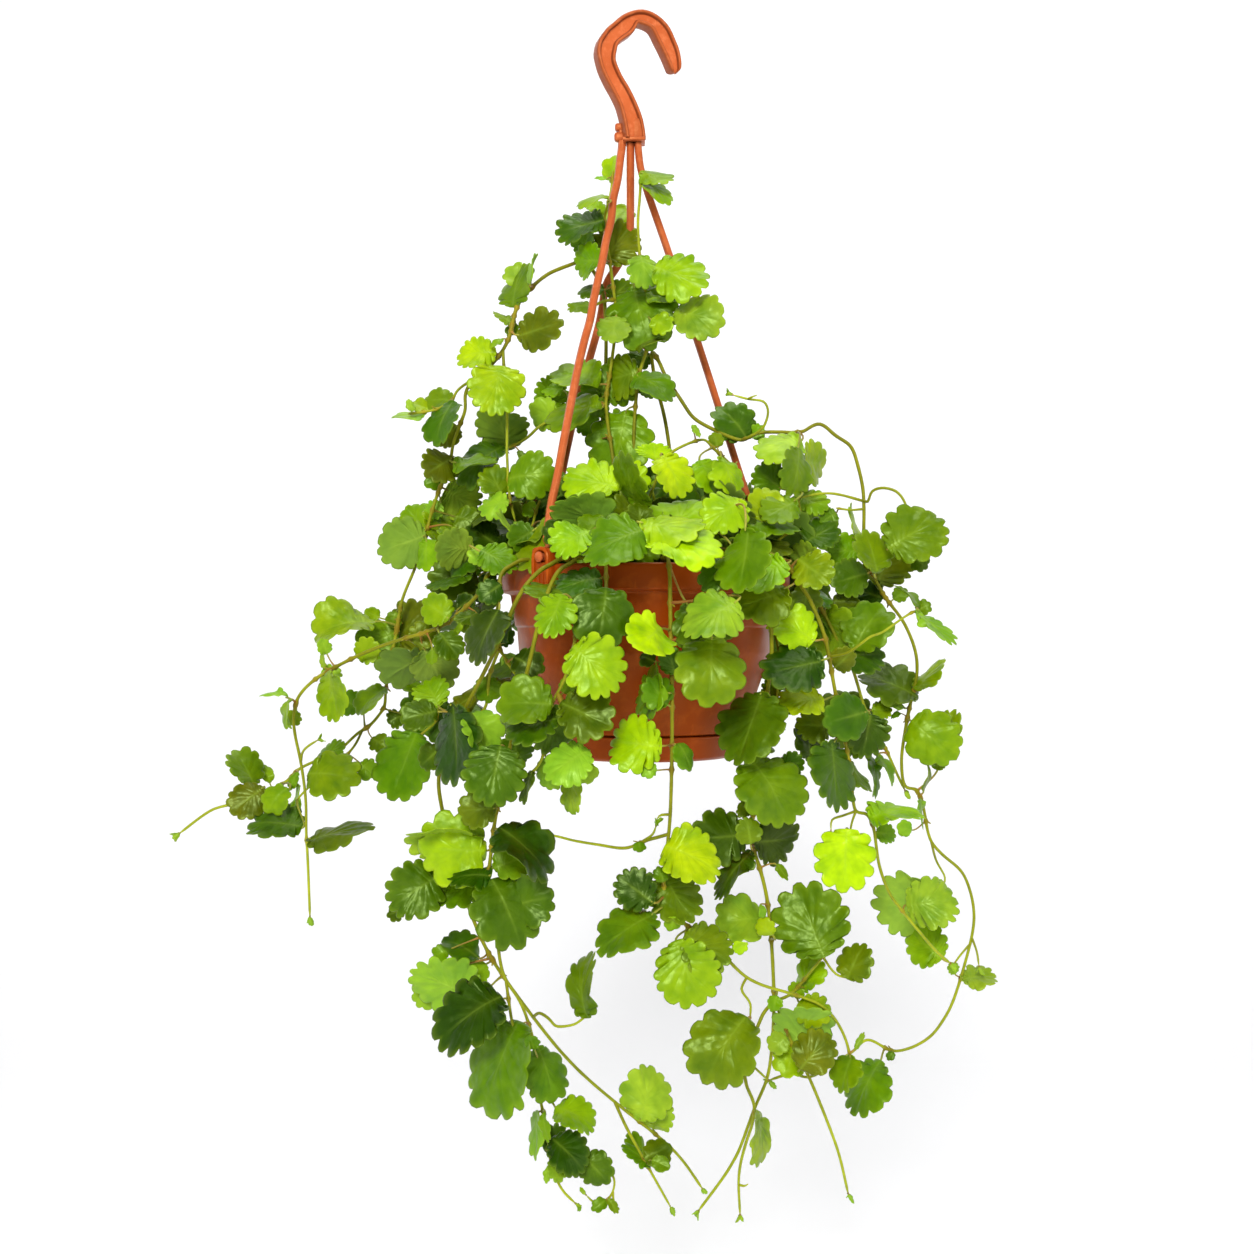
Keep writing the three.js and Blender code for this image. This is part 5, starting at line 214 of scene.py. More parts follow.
(1, -577, -52, -2693, -485, -190, -2683, -22, -312, -21, -45, -63, 63, 336, 'M', '-', 2107),
(0, -707, -61, -2702, -721, 42, -2791, -247, 130, 0, -68, 24, 69, 293, 'M', '-', 2109),
(0, -821, -88, -2750, -882, -149, -2838, -188, -133, -91, -61, -32, 73, 269, 'D', '-', 2191)]),
("vine_left_bush_lower", [
[120, 70, -379, -324, -2876, -424, -357, -2864, -473, -400, -2838, -517, -448, -2799, -543, -475, -2795, -586, -513, -2797, -643, -556, -2830, -664, -582,
-2847, -679, -627, -2881, -680, -667, -2926, -678, -684, -2959, -679, -688, -2976, -684, -687, -3012, -692, -669, -3084, -685, -639, -3172, -686, -625, -3204,
-691, -611, -3233, -727, -564, -3319, -741, -543, -3367, -748, -529, -3420, -756, -519, -3489, -768, -516, -3518, -788, -511, -3536, -814, -503, -3546, -876,
-485, -3551],
[80, 50, -688, -618, -3219, -661, -646, -3258, -643, -659, -3285, -633, -662, -3301, -602, -660, -3351]],
[(0, -680, -667, -2926, -666, -745, -2921, -101, -31, -76, 19, -97, 14, 133, 'K', '-', 85),
(0, -685, -632, -3188, -654, -679, -3196, 36, 32, 153, -76, -57, 30, 160, 'K', '-', 86),
(1, -643, -659, -3285, -608, -708, -3263, 142, -32, -71, -4, -94, 34, 161, 'K', '-', 87),
(0, -876, -485, -3551, -924, -447, -3505, 311, 67, 121, -24, -45, 86, 189, 'O', '-', 88),
(0, -829, -499, -3549, -825, -556, -3540, 104, -43, -187, 34, -86, 39, 217, 'P', '-', 89),
(0, -876, -485, -3551, -997, -450, -3510, -74, 111, 132, -29, -80, 52, 193, 'G', '-', 90),
(0, -876, -485, -3551, -997, -489, -3530, -173, -36, -52, -2, -80, 60, 184, 'D', '-', 91),
(0, -876, -485, -3551, -931, -535, -3485, 26, -81, -400, -82, -57, 6, 408, 'K', '-', 92),
(0, -733, -557, -3334, -757, -534, -3358, 19, 15, -131, 8, -93, 36, 142, 'M', '-', 2044),
(1, -679, -627, -3232, -685, -566, -3206, 56, -7, 85, -1, -95, 31, 103, 'K', '-', 2077)]),
("vine_left_bush_rim", [
[110, 60, -285, 140, -2876, -373, 178, -2802, -420, 196, -2771, -504, 222, -2735, -575, 243, -2719, -646, 266, -2719, -715, 286, -2736, -779, 296, -2767, -835,
299, -2812, -896, 302, -2879, -946, 302, -2952, -987, 298, -3033, -1028, 287, -3136, -1054, 274, -3225, -1073, 254, -3333, -1085, 237, -3425, -1087, 218, -3549,
-1094, 205, -3603, -1107, 193, -3632, -1117, 185, -3644, -1175, 140, -3693]],
[(0, -1175, 140, -3693, -1172, 83, -3680, -136, -75, -346, -37, -87, 33, 379, 'M', '-', 93),
(0, -1086, 230, -3466, -1148, 289, -3467, 105, 39, 164, -27, -88, 38, 198, 'D', '-', 94),
(0, -972, 300, -3001, -976, 374, -2995, -130, -35, -118, -20, -86, 47, 179, 'D', '-', 95),
(0, -885, 301, -2865, -885, 261, -2863, 116, -73, -105, -31, -91, 28, 178, 'K', '-', 96),
(0, -748, 292, -2750, -737, 306, -2762, -76, 68, 141, -19, -92, 35, 179, 'D', '-', 97),
(0, -1099, 200, -3617, -1107, 261, -3627, 145, -39, -128, -15, -98, 13, 202, 'K', '-', 98),
(0, -1085, 237, -3425, -1070, 264, -3478, -207, 13, -201, -16, -95, 28, 306, 'D', '-', 2040),
(0, -907, 302, -2893, -913, 361, -2855, -117, 46, 203, -2, -89, 45, 240, 'M', '-', 2041),
(0, -972, 300, -3001, -923, 163, -3072, -5, -255, -66, -79, -46, 40, 285, 'B', '-', 2124),
(0, -861, 300, -2838, -816, 246, -2956, -42, -31, -252, -60, 1, 80, 266, 'D', '-', 2131),
(0, -715, 286, -2736, -857, 366, -2630, -132, 66, 150, -23, -21, 95, 238, 'M', '-', 2173),
(0, -593, 248, -2718, -616, 251, -2632, -78, 35, 233, -31, 11, 94, 261, 'O', '-', 2180)]),
("vine_lower_left_trail", [
[140, 70, -223, -300, -2876, -304, -517, -2837, -318, -551, -2825, -343, -603, -2796, -352, -621, -2793, -382, -674, -2795, -437, -752, -2831, -473, -786,
-2853, -510, -807, -2888, -535, -814, -2917, -557, -816, -2947, -585, -811, -2994, -609, -797, -3042, -670, -740, -3178, -711, -697, -3257, -798, -599, -3411,
-883, -523, -3563, -931, -468, -3653, -960, -435, -3715, -986, -408, -3781, -1003, -386, -3850, -1006, -366, -3924, -983, -327, -4095, -970, -304, -4226, -946,
-291, -4318, -879, -266, -4501, -830, -237, -4642, -795, -217, -4728, -754, -199, -4809, -697, -176, -4905, -525, -108, -5162, -413, -69, -5313, -301, -35,
-5440, -104, 23, -5628, 88, 64, -5795, 156, 79, -5860, 226, 95, -5945, 318, 120, -6086],
[90, 50, -143, 14, -5591, -87, -13, -5705, -51, -25, -5769, 144, -60, -6106],
[80, 50, -558, -120, -5115, -536, -157, -5088, -519, -180, -5078, -492, -202, -5085, -466, -220, -5101, -447, -234, -5119, -435, -240, -5126, -419, -245, -5127,
-378, -252, -5122, -339, -260, -5110, -311, -268, -5090, -273, -280, -5054]],
[(0, -958, -296, -4282, -961, -392, -4271, 0, -328, 207, 0, 53, 85, 400, 'B', 'U', 99),
(0, -940, -289, -4337, -996, -407, -4335, -244, -58, -154, 10, -97, 20, 293, 'D', '-', 100),
(0, -899, -275, -4446, -790, -402, -4382, -265, 53, -11, -19, -88, 43, 270, 'M', '-', 101),
(0, -780, -209, -4761, -829, -151, -4808, -203, 44, 77, 23, -45, 86, 197, 'D', '-', 102),
(0, -707, -180, -4889, -845, -237, -4981, -315, -70, 152, -5, 94, 33, 356, 'B', 'U', 103),
(2, -273, -280, -5054, -274, -314, -5067, 48, 101, 312, -71, -63, 32, 197, 'M', 'C', 104),
(0, -18, 43, -5703, -13, 18, -5696, 85, 135, 242, 15, -89, 44, 298, 'P', '-', 105),
(1, 3, -35, -5864, 9, -76, -5855, 144, 31, 56, -2, -84, 53, 158, 'O', '-', 106),
(1, 21, -38, -5896, 37, 65, -5938, -130, 37, 130, 57, -45, 69, 140, 'M', '-', 107),
(1, 31, -40, -5912, 47, -45, -5909, -156, 37, 95, 39, -45, 81, 113, 'M', '-', 108),
(1, 21, -38, -5896, 50, -115, -5847, 92, -28, -31, -7, -84, 54, 88, 'M', '-', 109),
(0, 74, 61, -5782, 58, 166, -5783, 56, -42, 180, 16, -82, 55, 188, 'P', '-', 2023),
(0, -754, -199, -4809, -795, -141, -4838, -108, 21, -88, 3, -100, -6, 154, 'B', '-', 2032),
(0, -817, -229, -4677, -986, -179, -4759, -79, -12, -36, 4, -93, 38, 97, 'G', '-', 2035),
(0, -960, -435, -3715, -1002, -377, -3720, -96, 24, -94, -17, -95, 26, 149, 'D', '-', 2061),
(0, -763, -202, -4793, -1037, -143, -4922, -111, -5, -135, 0, -100, 7, 189, 'P', '-', 2081),
(0, -913, -280, -4410, -1198, -190, -4542, -100, 9, -43, -39, -81, 44, 118, 'D', '-', 2097),
(0, -362, -638, -2793, -385, -530, -2776, -206, 154, 77, -79, -47, 39, 300, 'G', '-', 2111),
(0, -304, -517, -2837, -246, -482, -2722, -113, 3, 237, -58, -56, 59, 280, 'D', '-', 2181)]),
("vine_lower_left_trail_inner", [
[130, 60, -201, -400, -2876, -229, -497, -2858, -246, -554, -2843, -271, -628, -2798, -278, -646, -2794, -310, -717, -2797, -338, -767, -2823, -376, -825,
-2848, -393, -847, -2867, -409, -866, -2892, -430, -886, -2941, -449, -896, -2994, -466, -898, -3046, -480, -894, -3099, -503, -877, -3193, -545, -838, -3362,
-660, -709, -3835, -689, -675, -3965, -709, -646, -4080, -727, -617, -4213, -739, -596, -4324, -741, -583, -4398, -734, -570, -4474, -703, -543, -4627, -689,
-518, -4738, -678, -505, -4791, -657, -492, -4841, -610, -474, -4919, -586, -463, -4969, -557, -447, -5057, -535, -430, -5146, -523, -418, -5220, -514, -398,
-5365, -504, -382, -5451, -478, -367, -5578, -453, -360, -5748, -436, -360, -5819, -416, -360, -5869, -387, -360, -5914, -335, -360, -5965],
[70, 50, -665, -496, -4824, -637, -519, -5001, -628, -520, -5039, -606, -516, -5111, -583, -507, -5181, -566, -495, -5234, -522, -440, -5376],
[50, 35, -463, -361, -5692, -371, -345, -5702, -319, -338, -5717, -239, -331, -5765, -181, -330, -5807, -156, -330, -5831, -141, -330, -5863, -143, -330, -5903,
-158, -330, -5940, -182, -330, -5968, -201, -330, -5975, -242, -330, -5973, -256, -330, -5964, -281, -330, -5938],
[50, 35, -513, -395, -5382, -456, -378, -5449, -428, -380, -5489],
[50, 35, -148, -330, -5921, -145, -337, -5958, -132, -350, -5989]],
[(0, -693, -670, -3984, -690, -711, -3968, -187, 38, -20, -22, -87, 44, 192, 'O', '-', 110),
(0, -709, -646, -4080, -683, -704, -4064, 253, -68, -228, 43, -61, 66, 347, 'K', '-', 111),
(0, -733, -606, -4268, -710, -642, -4264, 179, 37, 51, 8, -92, 39, 190, 'M', '-', 112),
(0, -740, -593, -4342, -723, -644, -4315, 153, -71, -317, 31, -88, 35, 358, 'D', '-', 113),
(0, -737, -599, -4305, -718, -652, -4293, -215, 43, -15, -16, -49, 86, 219, 'K', '-', 114),
(0, -628, -744, -3704, -659, -841, -3665, -50, -99, -273, 6, -94, 33, 303, 'D', '-', 115),
(1, -650, -510, -4923, -676, -548, -4904, -311, -75, -207, -24, -73, 63, 381, 'K', '-', 116),
(0, -557, -447, -5057, -580, -503, -5033, -157, -92, -428, -61, -70, 37, 464, 'M', '-', 117),
(0, -528, -424, -5183, -513, -462, -5158, 68, -55, -263, 70, -65, 31, 276, 'M', '-', 118),
(0, -493, -374, -5504, -516, -372, -5502, -11, -47, -234, -89, -45, 13, 155, 'P', '-', 119),
(0, -493, -374, -5504, -477, -463, -5480, 19, -39, -136, -52, -84, 17, 62, 'G', '-', 120),
(3, -428, -380, -5489, -425, -475, -5452, 194, -43, -94, 25, -57, 78, 220, 'B', '-', 121),
(0, -463, -361, -5692, -485, -319, -5723, 107, 30, 102, -9, -92, 37, 151, 'D', '-', 122),
(0, -468, -362, -5654, -453, -398, -5634, 170, -45, -149, 36, -69, 62, 230, 'K', '-', 123),
(0, -453, -360, -5748, -448, -413, -5728, 53, -32, -101, 33, -84, 44, 105, 'P', '-', 124),
(2, -286, -335, -5734, -291, -348, -5733, 128, -36, -128, -14, -98, 14, 185, 'D', '-', 125),
(2, -182, -330, -5968, -182, -343, -5958, -69, -24, -45, -7, -84, 54, 68, 'M', '-', 126),
(2, -169, -330, -5956, -172, -377, -5938, 49, -23, -64, 25, -84, 49, 51, 'M', '-', 127),
(0, -446, -360, -5784, -462, -388, -5772, -10, -23, -79, -46, -84, 30, 40, 'P', '-', 128),
(0, -719, -629, -4156, -753, -533, -4198, -336, 4, 7, 50, -85, 16, 372, 'B', '-', 2003),
(0, -734, -570, -4474, -653, -657, -4449, 236, -39, 66, -45, -87, 22, 262, 'D', '-', 2013),
(0, -647, -724, -3779, -604, -639, -3775, 2, -22, 165, 16, -98, 13, 172, 'D', '-', 2055),
(0, -523, -418, -5220, -514, -673, -5111, -24, -10, 72, 0, -95, -31, 81, 'M', '-', 2065),
(0, -252, -573, -2834, -96, -538, -2770, 193, -52, 92, -19, -97, 18, 223, 'G', '-', 2186)]),
("vine_front_left", [
[110, 60, -151, -440, -2876, -162, -537, -2859, -168, -595, -2844, -171, -632, -2824, -174, -667, -2800, -175, -685, -2796, -176, -755, -2796, -176, -771,
-2808, -175, -803, -2869, -174, -856, -2938, -178, -879, -2967, -197, -908, -3007, -218, -923, -3030, -243, -934, -3053, -279, -940, -3088, -302, -941, -3132,
-325, -938, -3241, -347, -932, -3317, -376, -922, -3388, -417, -904, -3462, -435, -891, -3509, -446, -876, -3561, -456, -842, -3650, -467, -810, -3717, -488,
-787, -3759, -529, -760, -3808],
[80, 50, -393, -915, -3419, -355, -936, -3503, -340, -938, -3537, -321, -933, -3572, -293, -915, -3623, -283, -900, -3657, -282, -892, -3674, -286, -876, -3708,
-303, -840, -3777]],
[(0, -175, -868, -2953, -172, -938, -2942, -29, -57, -283, 2, -98, 20, 298, 'D', '-', 129),
(0, -174, -817, -2891, -195, -789, -2891, -220, -46, -60, -5, -69, 72, 232, 'D', '-', 130),
(0, -268, -939, -3076, -366, -1007, -2974, -77, -43, -198, -37, -87, 33, 216, 'B', '-', 131),
(0, -321, -939, -3222, -313, -1037, -3207, 211, -58, -183, -15, -98, 13, 294, 'B', '-', 132),
(0, -424, -900, -3477, -414, -993, -3474, -257, 52, 5, -17, -87, 47, 261, 'M', '-', 133),
(0, -443, -881, -3543, -390, -948, -3546, -234, -49, -73, -11, -62, 77, 250, 'D', '-', 134),
(1, -370, -928, -3469, -379, -986, -3462, 242, -53, -102, 5, -83, 55, 268, 'D', '-', 135),
(1, -283, -884, -3691, -246, -983, -3677, -204, -47, -116, -10, -85, 52, 239, 'P', '-', 136),
(0, -518, -767, -3796, -516, -795, -3785, -35, -32, -155, -85, -45, 28, 134, 'D', '-', 137),
(1, -303, -840, -3777, -311, -869, -3795, 5, -36, -178, -89, -45, 6, 166, 'P', '-', 138),
(0, -311, -940, -3166, -242, -896, -3178, 128, -66, -25, -44, -89, 9, 150, 'D', '-', 139),
(1, -378, -924, -3452, -376, -885, -3478, -89, 13, -224, 38, -92, -11, 243, 'D', '-', 2012),
(0, -463, -818, -3701, -454, -769, -3726, 54, 12, -154, -44, -83, 34, 170, 'P', '-', 2028),
(1, -290, -867, -3725, -282, -841, -3749, 32, 9, -93, 44, -88, 18, 102, 'P', '-', 2085),
(1, -385, -919, -3436, -372, -830, -3423, 46, 5, 63, 28, -83, 48, 85, 'M', '-', 2096),
(0, -197, -908, -3007, -271, -861, -3027, -285, 26, 96, 8, -49, 87, 324, 'M', '-', 2103),
(0, -175, -703, -2796, -256, -519, -2724, -196, 191, -29, -53, -79, 29, 286, 'G', '-', 2161),
(0, -151, -440, -2876, -210, -323, -2675, -295, 139, -6, -31, -71, 63, 330, 'K', '-', 2170)]),
("vine_front_left_rim", [
[110, 60, -113, -300, -2876, -151, -480, -2775, -178, -562, -2733, -206, -620, -2707, -238, -664, -2692, -275, -700, -2688, -304, -716, -2694, -367, -740, -2714],
[90, 60, -151, -480, -2775, -94, -557, -2748, -64, -600, -2729, -17, -680, -2673]],
[(1, -17, -680, -2673, -10, -982, -2689, -267, -60, -136, -7, -86, 51, 305, 'M', '-', 140),
(0, -250, -677, -2690, -239, -930, -2686, -181, -41, -98, -18, -75, 64, 209, 'B', '-', 141),
(0, -275, -700, -2688, -276, -766, -2701, 75, 66, 110, 25, -90, 37, 153, 'M', '-', 142),
(0, -367, -740, -2714, -367, -678, -2724, -87, 53, 112, -21, -94, 28, 155, 'K', '-', 143),
(1, -83, -572, -2742, -80, -508, -2743, -84, 30, 125, 9, -95, 29, 153, 'G', '-', 144),
(0, -289, -709, -2690, -259, -646, -2692, 55, 284, -25, -5, -83, 55, 306, 'D', '-', 2117),
(1, -105, -542, -2754, -142, -552, -2777, 75, -222, 33, -5, -88, 47, 262, 'G', '-', 2136),
(1, -55, -614, -2721, -177, -569, -2670, -227, -152, 144, -66, -13, 74, 327, 'M', '-', 2153),
(0, -142, -449, -2792, -179, -357, -2730, -60, 162, 238, -29, -29, 91, 332, 'G', '-', 2189)]),
("vine_young_centre", [
[110, 50, -83, -100, -2876, -57, -155, -2670, -53, -180, -2578, -65, -206, -2511, -98, -254, -2399, -123, -280, -2295],
[80, 50, -53, -180, -2578, 3, -231, -2521, 30, -254, -2475, 67, -280, -2385, 83, -294, -2330, 96, -300, -2298, 119, -302, -2271, 160, -298, -2239, 206, -289,
-2214, 237, -280, -2200, 286, -256, -2182, 314, -240, -2180, 327, -233, -2188, 363, -215, -2223, 459, -180, -2304]],
[(0, -93, -248, -2415, -116, -458, -2455, -284, 59, 74, -2, -81, 59, 299, 'Y', '-', 145),
(0, -73, -220, -2480, -89, -362, -2501, 37, 46, 224, -42, -88, 25, 231, 'Y', '-', 146),
(1, 96, -300, -2298, 61, -330, -2295, -11, 28, 96, 46, -84, 29, 201, 'Y', '-', 147),
(1, 107, -301, -2283, 89, -444, -2288, 100, -47, -211, 46, -80, 39, 238, 'Y', '-', 148),
(1, 12, -240, -2507, 10, -126, -2500, 105, 28, 94, -9, -92, 37, 143, 'D', '-', 149),
(1, -19, -211, -2544, -9, -93, -2535, -67, 32, 144, 43, -82, 38, 162, 'K', '-', 150),
(1, 350, -220, -2213, 281, -330, -2295, 86, -39, -171, 41, -82, 39, 195, 'B', '-', 151),
(1, 459, -180, -2304, 344, -328, -2446, 16, 141, 172, 6, -77, 63, 229, 'B', '-', 152),
(1, 402, -200, -2256, 387, -393, -2282, 64, -43, -202, 58, -74, 34, 215, 'B', '-', 153),
(1, 459, -180, -2304, 459, -313, -2309, -35, -13, -30, -14, -84, 53, 46, 'M', '-', 154),
(1, 270, -265, -2187, 246, -295, -2113, 40, -22, -65, 30, -84, 46, 46, 'P', '-', 155),
(1, 389, -205, -2244, 386, -105, -2203, -17, -9, 81, -1, -98, 22, 90, 'M', '-', 2082),
(0, -57, -193, -2543, 3, -186, -2531, 195, -87, 41, 44, -19, 88, 236, 'O', '-', 2125),
(0, -93, -248, -2415, -228, -322, -2488, -195, -129, -30, -29, -17, 94, 253, 'K', '-', 2129),
(0, -65, -206, -2511, 103, -188, -2620, 253, -87, -45, 66, -58, 49, 275, 'O', '-', 2171)]),
("vine_young_right", [
[110, 50, 7, -240, -2876, 24, -442, -2801, 22, -491, -2778, 3, -613, -2715, 7, -720, -2679, 14, -757, -2666, 28, -787, -2653, 74, -826, -2627],
[90, 50, 24, -459, -2794, 149, -581, -2721, 190, -610, -2696, 237, -634, -2665, 283, -652, -2634, 332, -663, -2604, 418, -660, -2552, 479, -660, -2520]],
[(0, 20, -773, -2660, -21, -961, -2646, 297, -60, -19, -8, -64, 76, 303, 'Y', '-', 156),
(0, 8, -566, -2737, 13, -991, -2755, 339, -69, -48, 1, -53, 85, 349, 'Y', '-', 157),
(1, 464, -660, -2527, 457, -719, -2520, -177, -47, -152, -5, -94, 35, 237, 'B', '-', 158),
(1, 268, -647, -2644, 386, -909, -2839, -128, -35, -118, -16, -89, 43, 177, 'D', '-', 159),
(1, 418, -660, -2552, 448, -1037, -2677, -34, -60, -298, -65, -72, 22, 305, 'M', '-', 160),
(0, 5, -698, -2685, -12, -641, -2659, -8, 5, 130, -14, -82, 56, 138, 'D', '-', 2033),
(0, 24, -442, -2801, -3, -230, -2807, 142, 179, 136, 9, -84, 54, 266, 'K', '-', 2119),
(0, 4, -675, -2692, -62, -526, -2665, -3, 76, 211, 47, -35, 81, 221, 'O', '-', 2133),
(0, 3, -613, -2715, -44, -558, -2540, -31, -175, 237, -69, -72, 2, 314, 'M', '-', 2159)]),
("vine_front_centre", [
[110, 60, 45, -400, -2876, 81, -615, -2836, 87, -651, -2821, 94, -686, -2799, 97, -704, -2796, 110, -773, -2796, 113, -787, -2807, 120, -826, -2906, 120, -837,
-2958, 121, -841, -3048, 129, -840, -3457, 126, -841, -3819, 117, -832, -4036, 91, -823, -4266, 91, -818, -4319, 98, -810, -4370, 117, -799, -4416, 160, -781,
-4470, 228, -757, -4531, 342, -724, -4625, 445, -692, -4734, 486, -679, -4770, 517, -668, -4790, 566, -652, -4815, 697, -606, -4864, 785, -581, -4899, 837,
-568, -4925, 883, -557, -4960, 920, -548, -5002, 957, -536, -5065, 982, -525, -5127, 998, -520, -5190],
[80, 45, 114, -830, -4073, 66, -808, -4090, 21, -781, -4107, -69, -711, -4153, -111, -680, -4161, -206, -620, -4156, -290, -575, -4150, -340, -552, -4144, -425,
-520, -4128, -529, -480, -4120],
[50, 35, 120, -835, -3982, 81, -870, -3979, 71, -878, -3981, 59, -890, -3995],
[50, 35, -9, -760, -4120, 41, -800, -4077, 56, -820, -4037],
[50, 35, 486, -679, -4770, 461, -710, -4805, 458, -719, -4817, 464, -726, -4831, 489, -736, -4862, 497, -740, -4878, 499, -741, -4894, 496, -740, -4944]],
[(0, 123, -841, -3141, 66, -941, -3130, -107, -200, -83, 65, -56, 51, 248, 'Y', '-', 161),
(0, 124, -840, -3180, 306, -958, -3162, -19, -65, -321, 1, -98, 20, 332, 'M', '-', 162),
(0, 120, -840, -3012, 408, -1088, -3004, -243, -58, -153, -12, -85, 52, 292, 'P', '-', 163),
(0, 129, -840, -3418, 109, -915, -3420, -128, 245, 10, -88, -46, 7, 285, 'M', '-', 164),
(0, 128, -840, -3667, 80, -925, -3660, -235, 135, 15, -50, -87, 3, 279, 'Y', '-', 165),
(0, 128, -840, -3667, 147, -899, -3652, 64, -28, -123, 59, -66, 46, 141, 'M', '-', 166),
(0, 105, -828, -4150, 90, -906, -4129, 255, -56, -108, 6, -82, 57, 282, 'Y', '-', 167),
(0, 98, -810, -4370, 42, -921, -4372, -167, 41, 118, 0, -94, 33, 208, 'K', '-', 168),
(0, 91, -823, -4266, 88, -806, -4252, 130, -53, -229, 19, -93, 32, 268, 'O', '-', 169),
(0, 109, -803, -4401, 45, -906, -4418, -255, -62, -177, -34, -62, 71, 316, 'M', '-', 170),
(0, 214, -761, -4519, 143, -819, -4565, 119, -62, -284, -8, -98, 18, 314, 'B', '-', 171),
(0, 257, -748, -4554, 264, -707, -4560, 131, -39, -38, -9, -84, 54, 81, 'D', '-', 172),
(4, 496, -740, -4944, 480, -797, -4926, -205, -71, -290, -38, -80, 46, 361, 'M', '-', 173),
(0, 126, -840, -3278, 50, -858, -3280, -69, 21, 27, -4, -84, 55, 105, 'K', '-', 174),
(0, 998, -520, -5190, 994, -556, -5171, -57, -37, -176, -69, -63, 36, 188, 'M', '-', 175),
(1, -20, -751, -4126, -27, -781, -4117, 9, -14, -46, 44, -84, 33, 75, 'M', '-', 176),
(0, 994, -521, -5174, 1019, -541, -5154, 53, 27, 77, -27, -84, 48, 33, 'P', '-', 177),
(0, 200, -766, -4507, 187, -807, -4540, 216, -33, -116, 15, -79, 60, 269, 'M', '-', 2017),
(0, 128, -840, -3359, 142, -858, -3333, -28, -23, 125, -16, -99, -4, 131, 'D', '-', 2020),
(0, 124, -840, -3180, 154, -780, -3142, 158, 24, -59, -27, -96, 6, 173, 'P', '-', 2036),
(0, 395, -708, -4679, 413, -743, -4621, 73, -2, 28, 34, -92, -19, 81, 'Y', '-', 2039),
(0, 732, -596, -4877, 745, -547, -4924, 149, -17, -88, -36, -91, 19, 181, 'G', '-', 2056),
(0, 91, -818, -4319, 85, -879, -4284, -25, 5, 71, 9, -82, 57, 79, 'M', '-', 2068),
(0, 129, -840, -3495, 106, -868, -3478, -103, -20, 122, 27, -94, 21, 166, 'M', '-', 2091),
(0, 127, -841, -3781, 57, -882, -3774, -78, 4, 2, 44, -87, 22, 87, 'P', '-', 2092),
(0, 126, -795, -4430, 140, -875, -4441, -24, 12, -73, 7, -100, -7, 79, 'G', '-', 2095),
(0, 116, -800, -2836, 195, -795, -3005, 169, -103, -206, 16, -71, 68, 308, 'D', '-', 2174),
(0, 94, -686, -2799, 136, -563, -2724, 77, 172, 243, 19, -81, 55, 336, 'B', '-', 2184)]),
("vine_right_bush_front", [
[120, 70, 131, -140, -2876, 230, -292, -2816, 283, -360, -2789, 375, -451, -2752, 417, -483, -2741, 445, -500, -2738, 480, -515, -2738, 535, -529, -2746, 603,
-544, -2765, 652, -554, -2788, 691, -564, -2821, 735, -580, -2895, 766, -582, -2941, 797, -580, -2991, 822, -575, -3043, 854, -565, -3118, 878, -554, -3192,
923, -513, -3408, 1022, -400, -3847, 1036, -375, -3971, 1047, -364, -4019, 1053, -360, -4029, 1070, -353, -4038, 1106, -340, -4046, 1129, -327, -4071, 1139,
-320, -4089, 1152, -307, -4132, 1185, -260, -4308, 1223, -234, -4416, 1257, -215, -4482, 1303, -192, -4541, 1477, -98, -4749, 1525, -73, -4800, 1592, -40,
-4857],
[60, 40, 894, -540, -3264, 971, -600, -3244, 1005, -632, -3219, 1029, -647, -3199, 1070, -660, -3167, 1120, -670, -3148, 1148, -675, -3130, 1225, -681, -3075,
1269, -680, -3049, 1292, -680, -3040],
[50, 35, 1053, -360, -4029, 978, -400, -4048, 939, -415, -4057, 926, -420, -4065, 921, -421, -4079, 921, -420, -4114],
[50, 35, 1053, -360, -4029, 1037, -340, -4086, 1027, -340, -4136]],
[(0, 680, -560, -2808, 668, -740, -2822, -242, -53, -101, -19, -60, 77, 267, 'B', '-', 178),
(0, 735, -580, -2895, 670, -725, -2934, -263, -56, -91, -2, -82, 57, 283, 'M', '-', 179),
(0, 701, -567, -2834, 738, -623, -2797, 133, -112, -123, -39, -85, 36, 219, 'G', '-', 180),
(0, 873, -557, -3173, 818, -587, -3186, -212, 48, 114, -1, -93, 37, 244, 'Y', '-', 181),
(0, 894, -540, -3264, 849, -695, -3272, -304, -63, -71, 4, -83, 56, 318, 'K', '-', 182),
(0, 934, -500, -3462, 862, -587, -3467, -232, -47, -41, 0, -64, 77, 240, 'Y', '-', 183),
(0, 956, -475, -3559, 1080, -537, -3527, -229, -47, -52, 19, -98, 4, 243, 'D', '-', 184),
(0, 981, -446, -3671, 925, -523, -3661, -5, -70, -349, 67, -73, 14, 355, 'D', '-', 185),
(0, 960, -470, -3579, 1125, -353, -3552, -53, -57, -219, 6, -97, 24, 239, 'K', '-', 186),
(3, 1027, -340, -4136, 994, -423, -4107, -21, -63, -306, 1, -98, 20, 323, 'Y', '-', 187),
(0, 994, -431, -3725, 815, -373, -3784, -16, 43, 213, 70, -68, 19, 218, 'K', '-', 188),
(0, 1139, -320, -4089, 1117, -422, -4076, 259, 52, 32, -2, -45, 90, 237, 'B', '-', 189),
(0, 1007, -417, -3778, 1022, -343, -3773, 107, -39, -160, 69, -45, 57, 168, 'O', '-', 190),
(1, 1292, -680, -3040, 1272, -742, -3034, 176, -49, -171, 56, -45, 70, 147, 'P', '-', 191),
(1, 1292, -680, -3040, 1292, -678, -3035, -107, 31, 112, 58, -45, 68, 137, 'M', '-', 192),
(0, 1144, -316, -4101, 1170, -252, -4152, 104, 0, -13, -51, -75, 41, 116, 'P', '-', 2016),
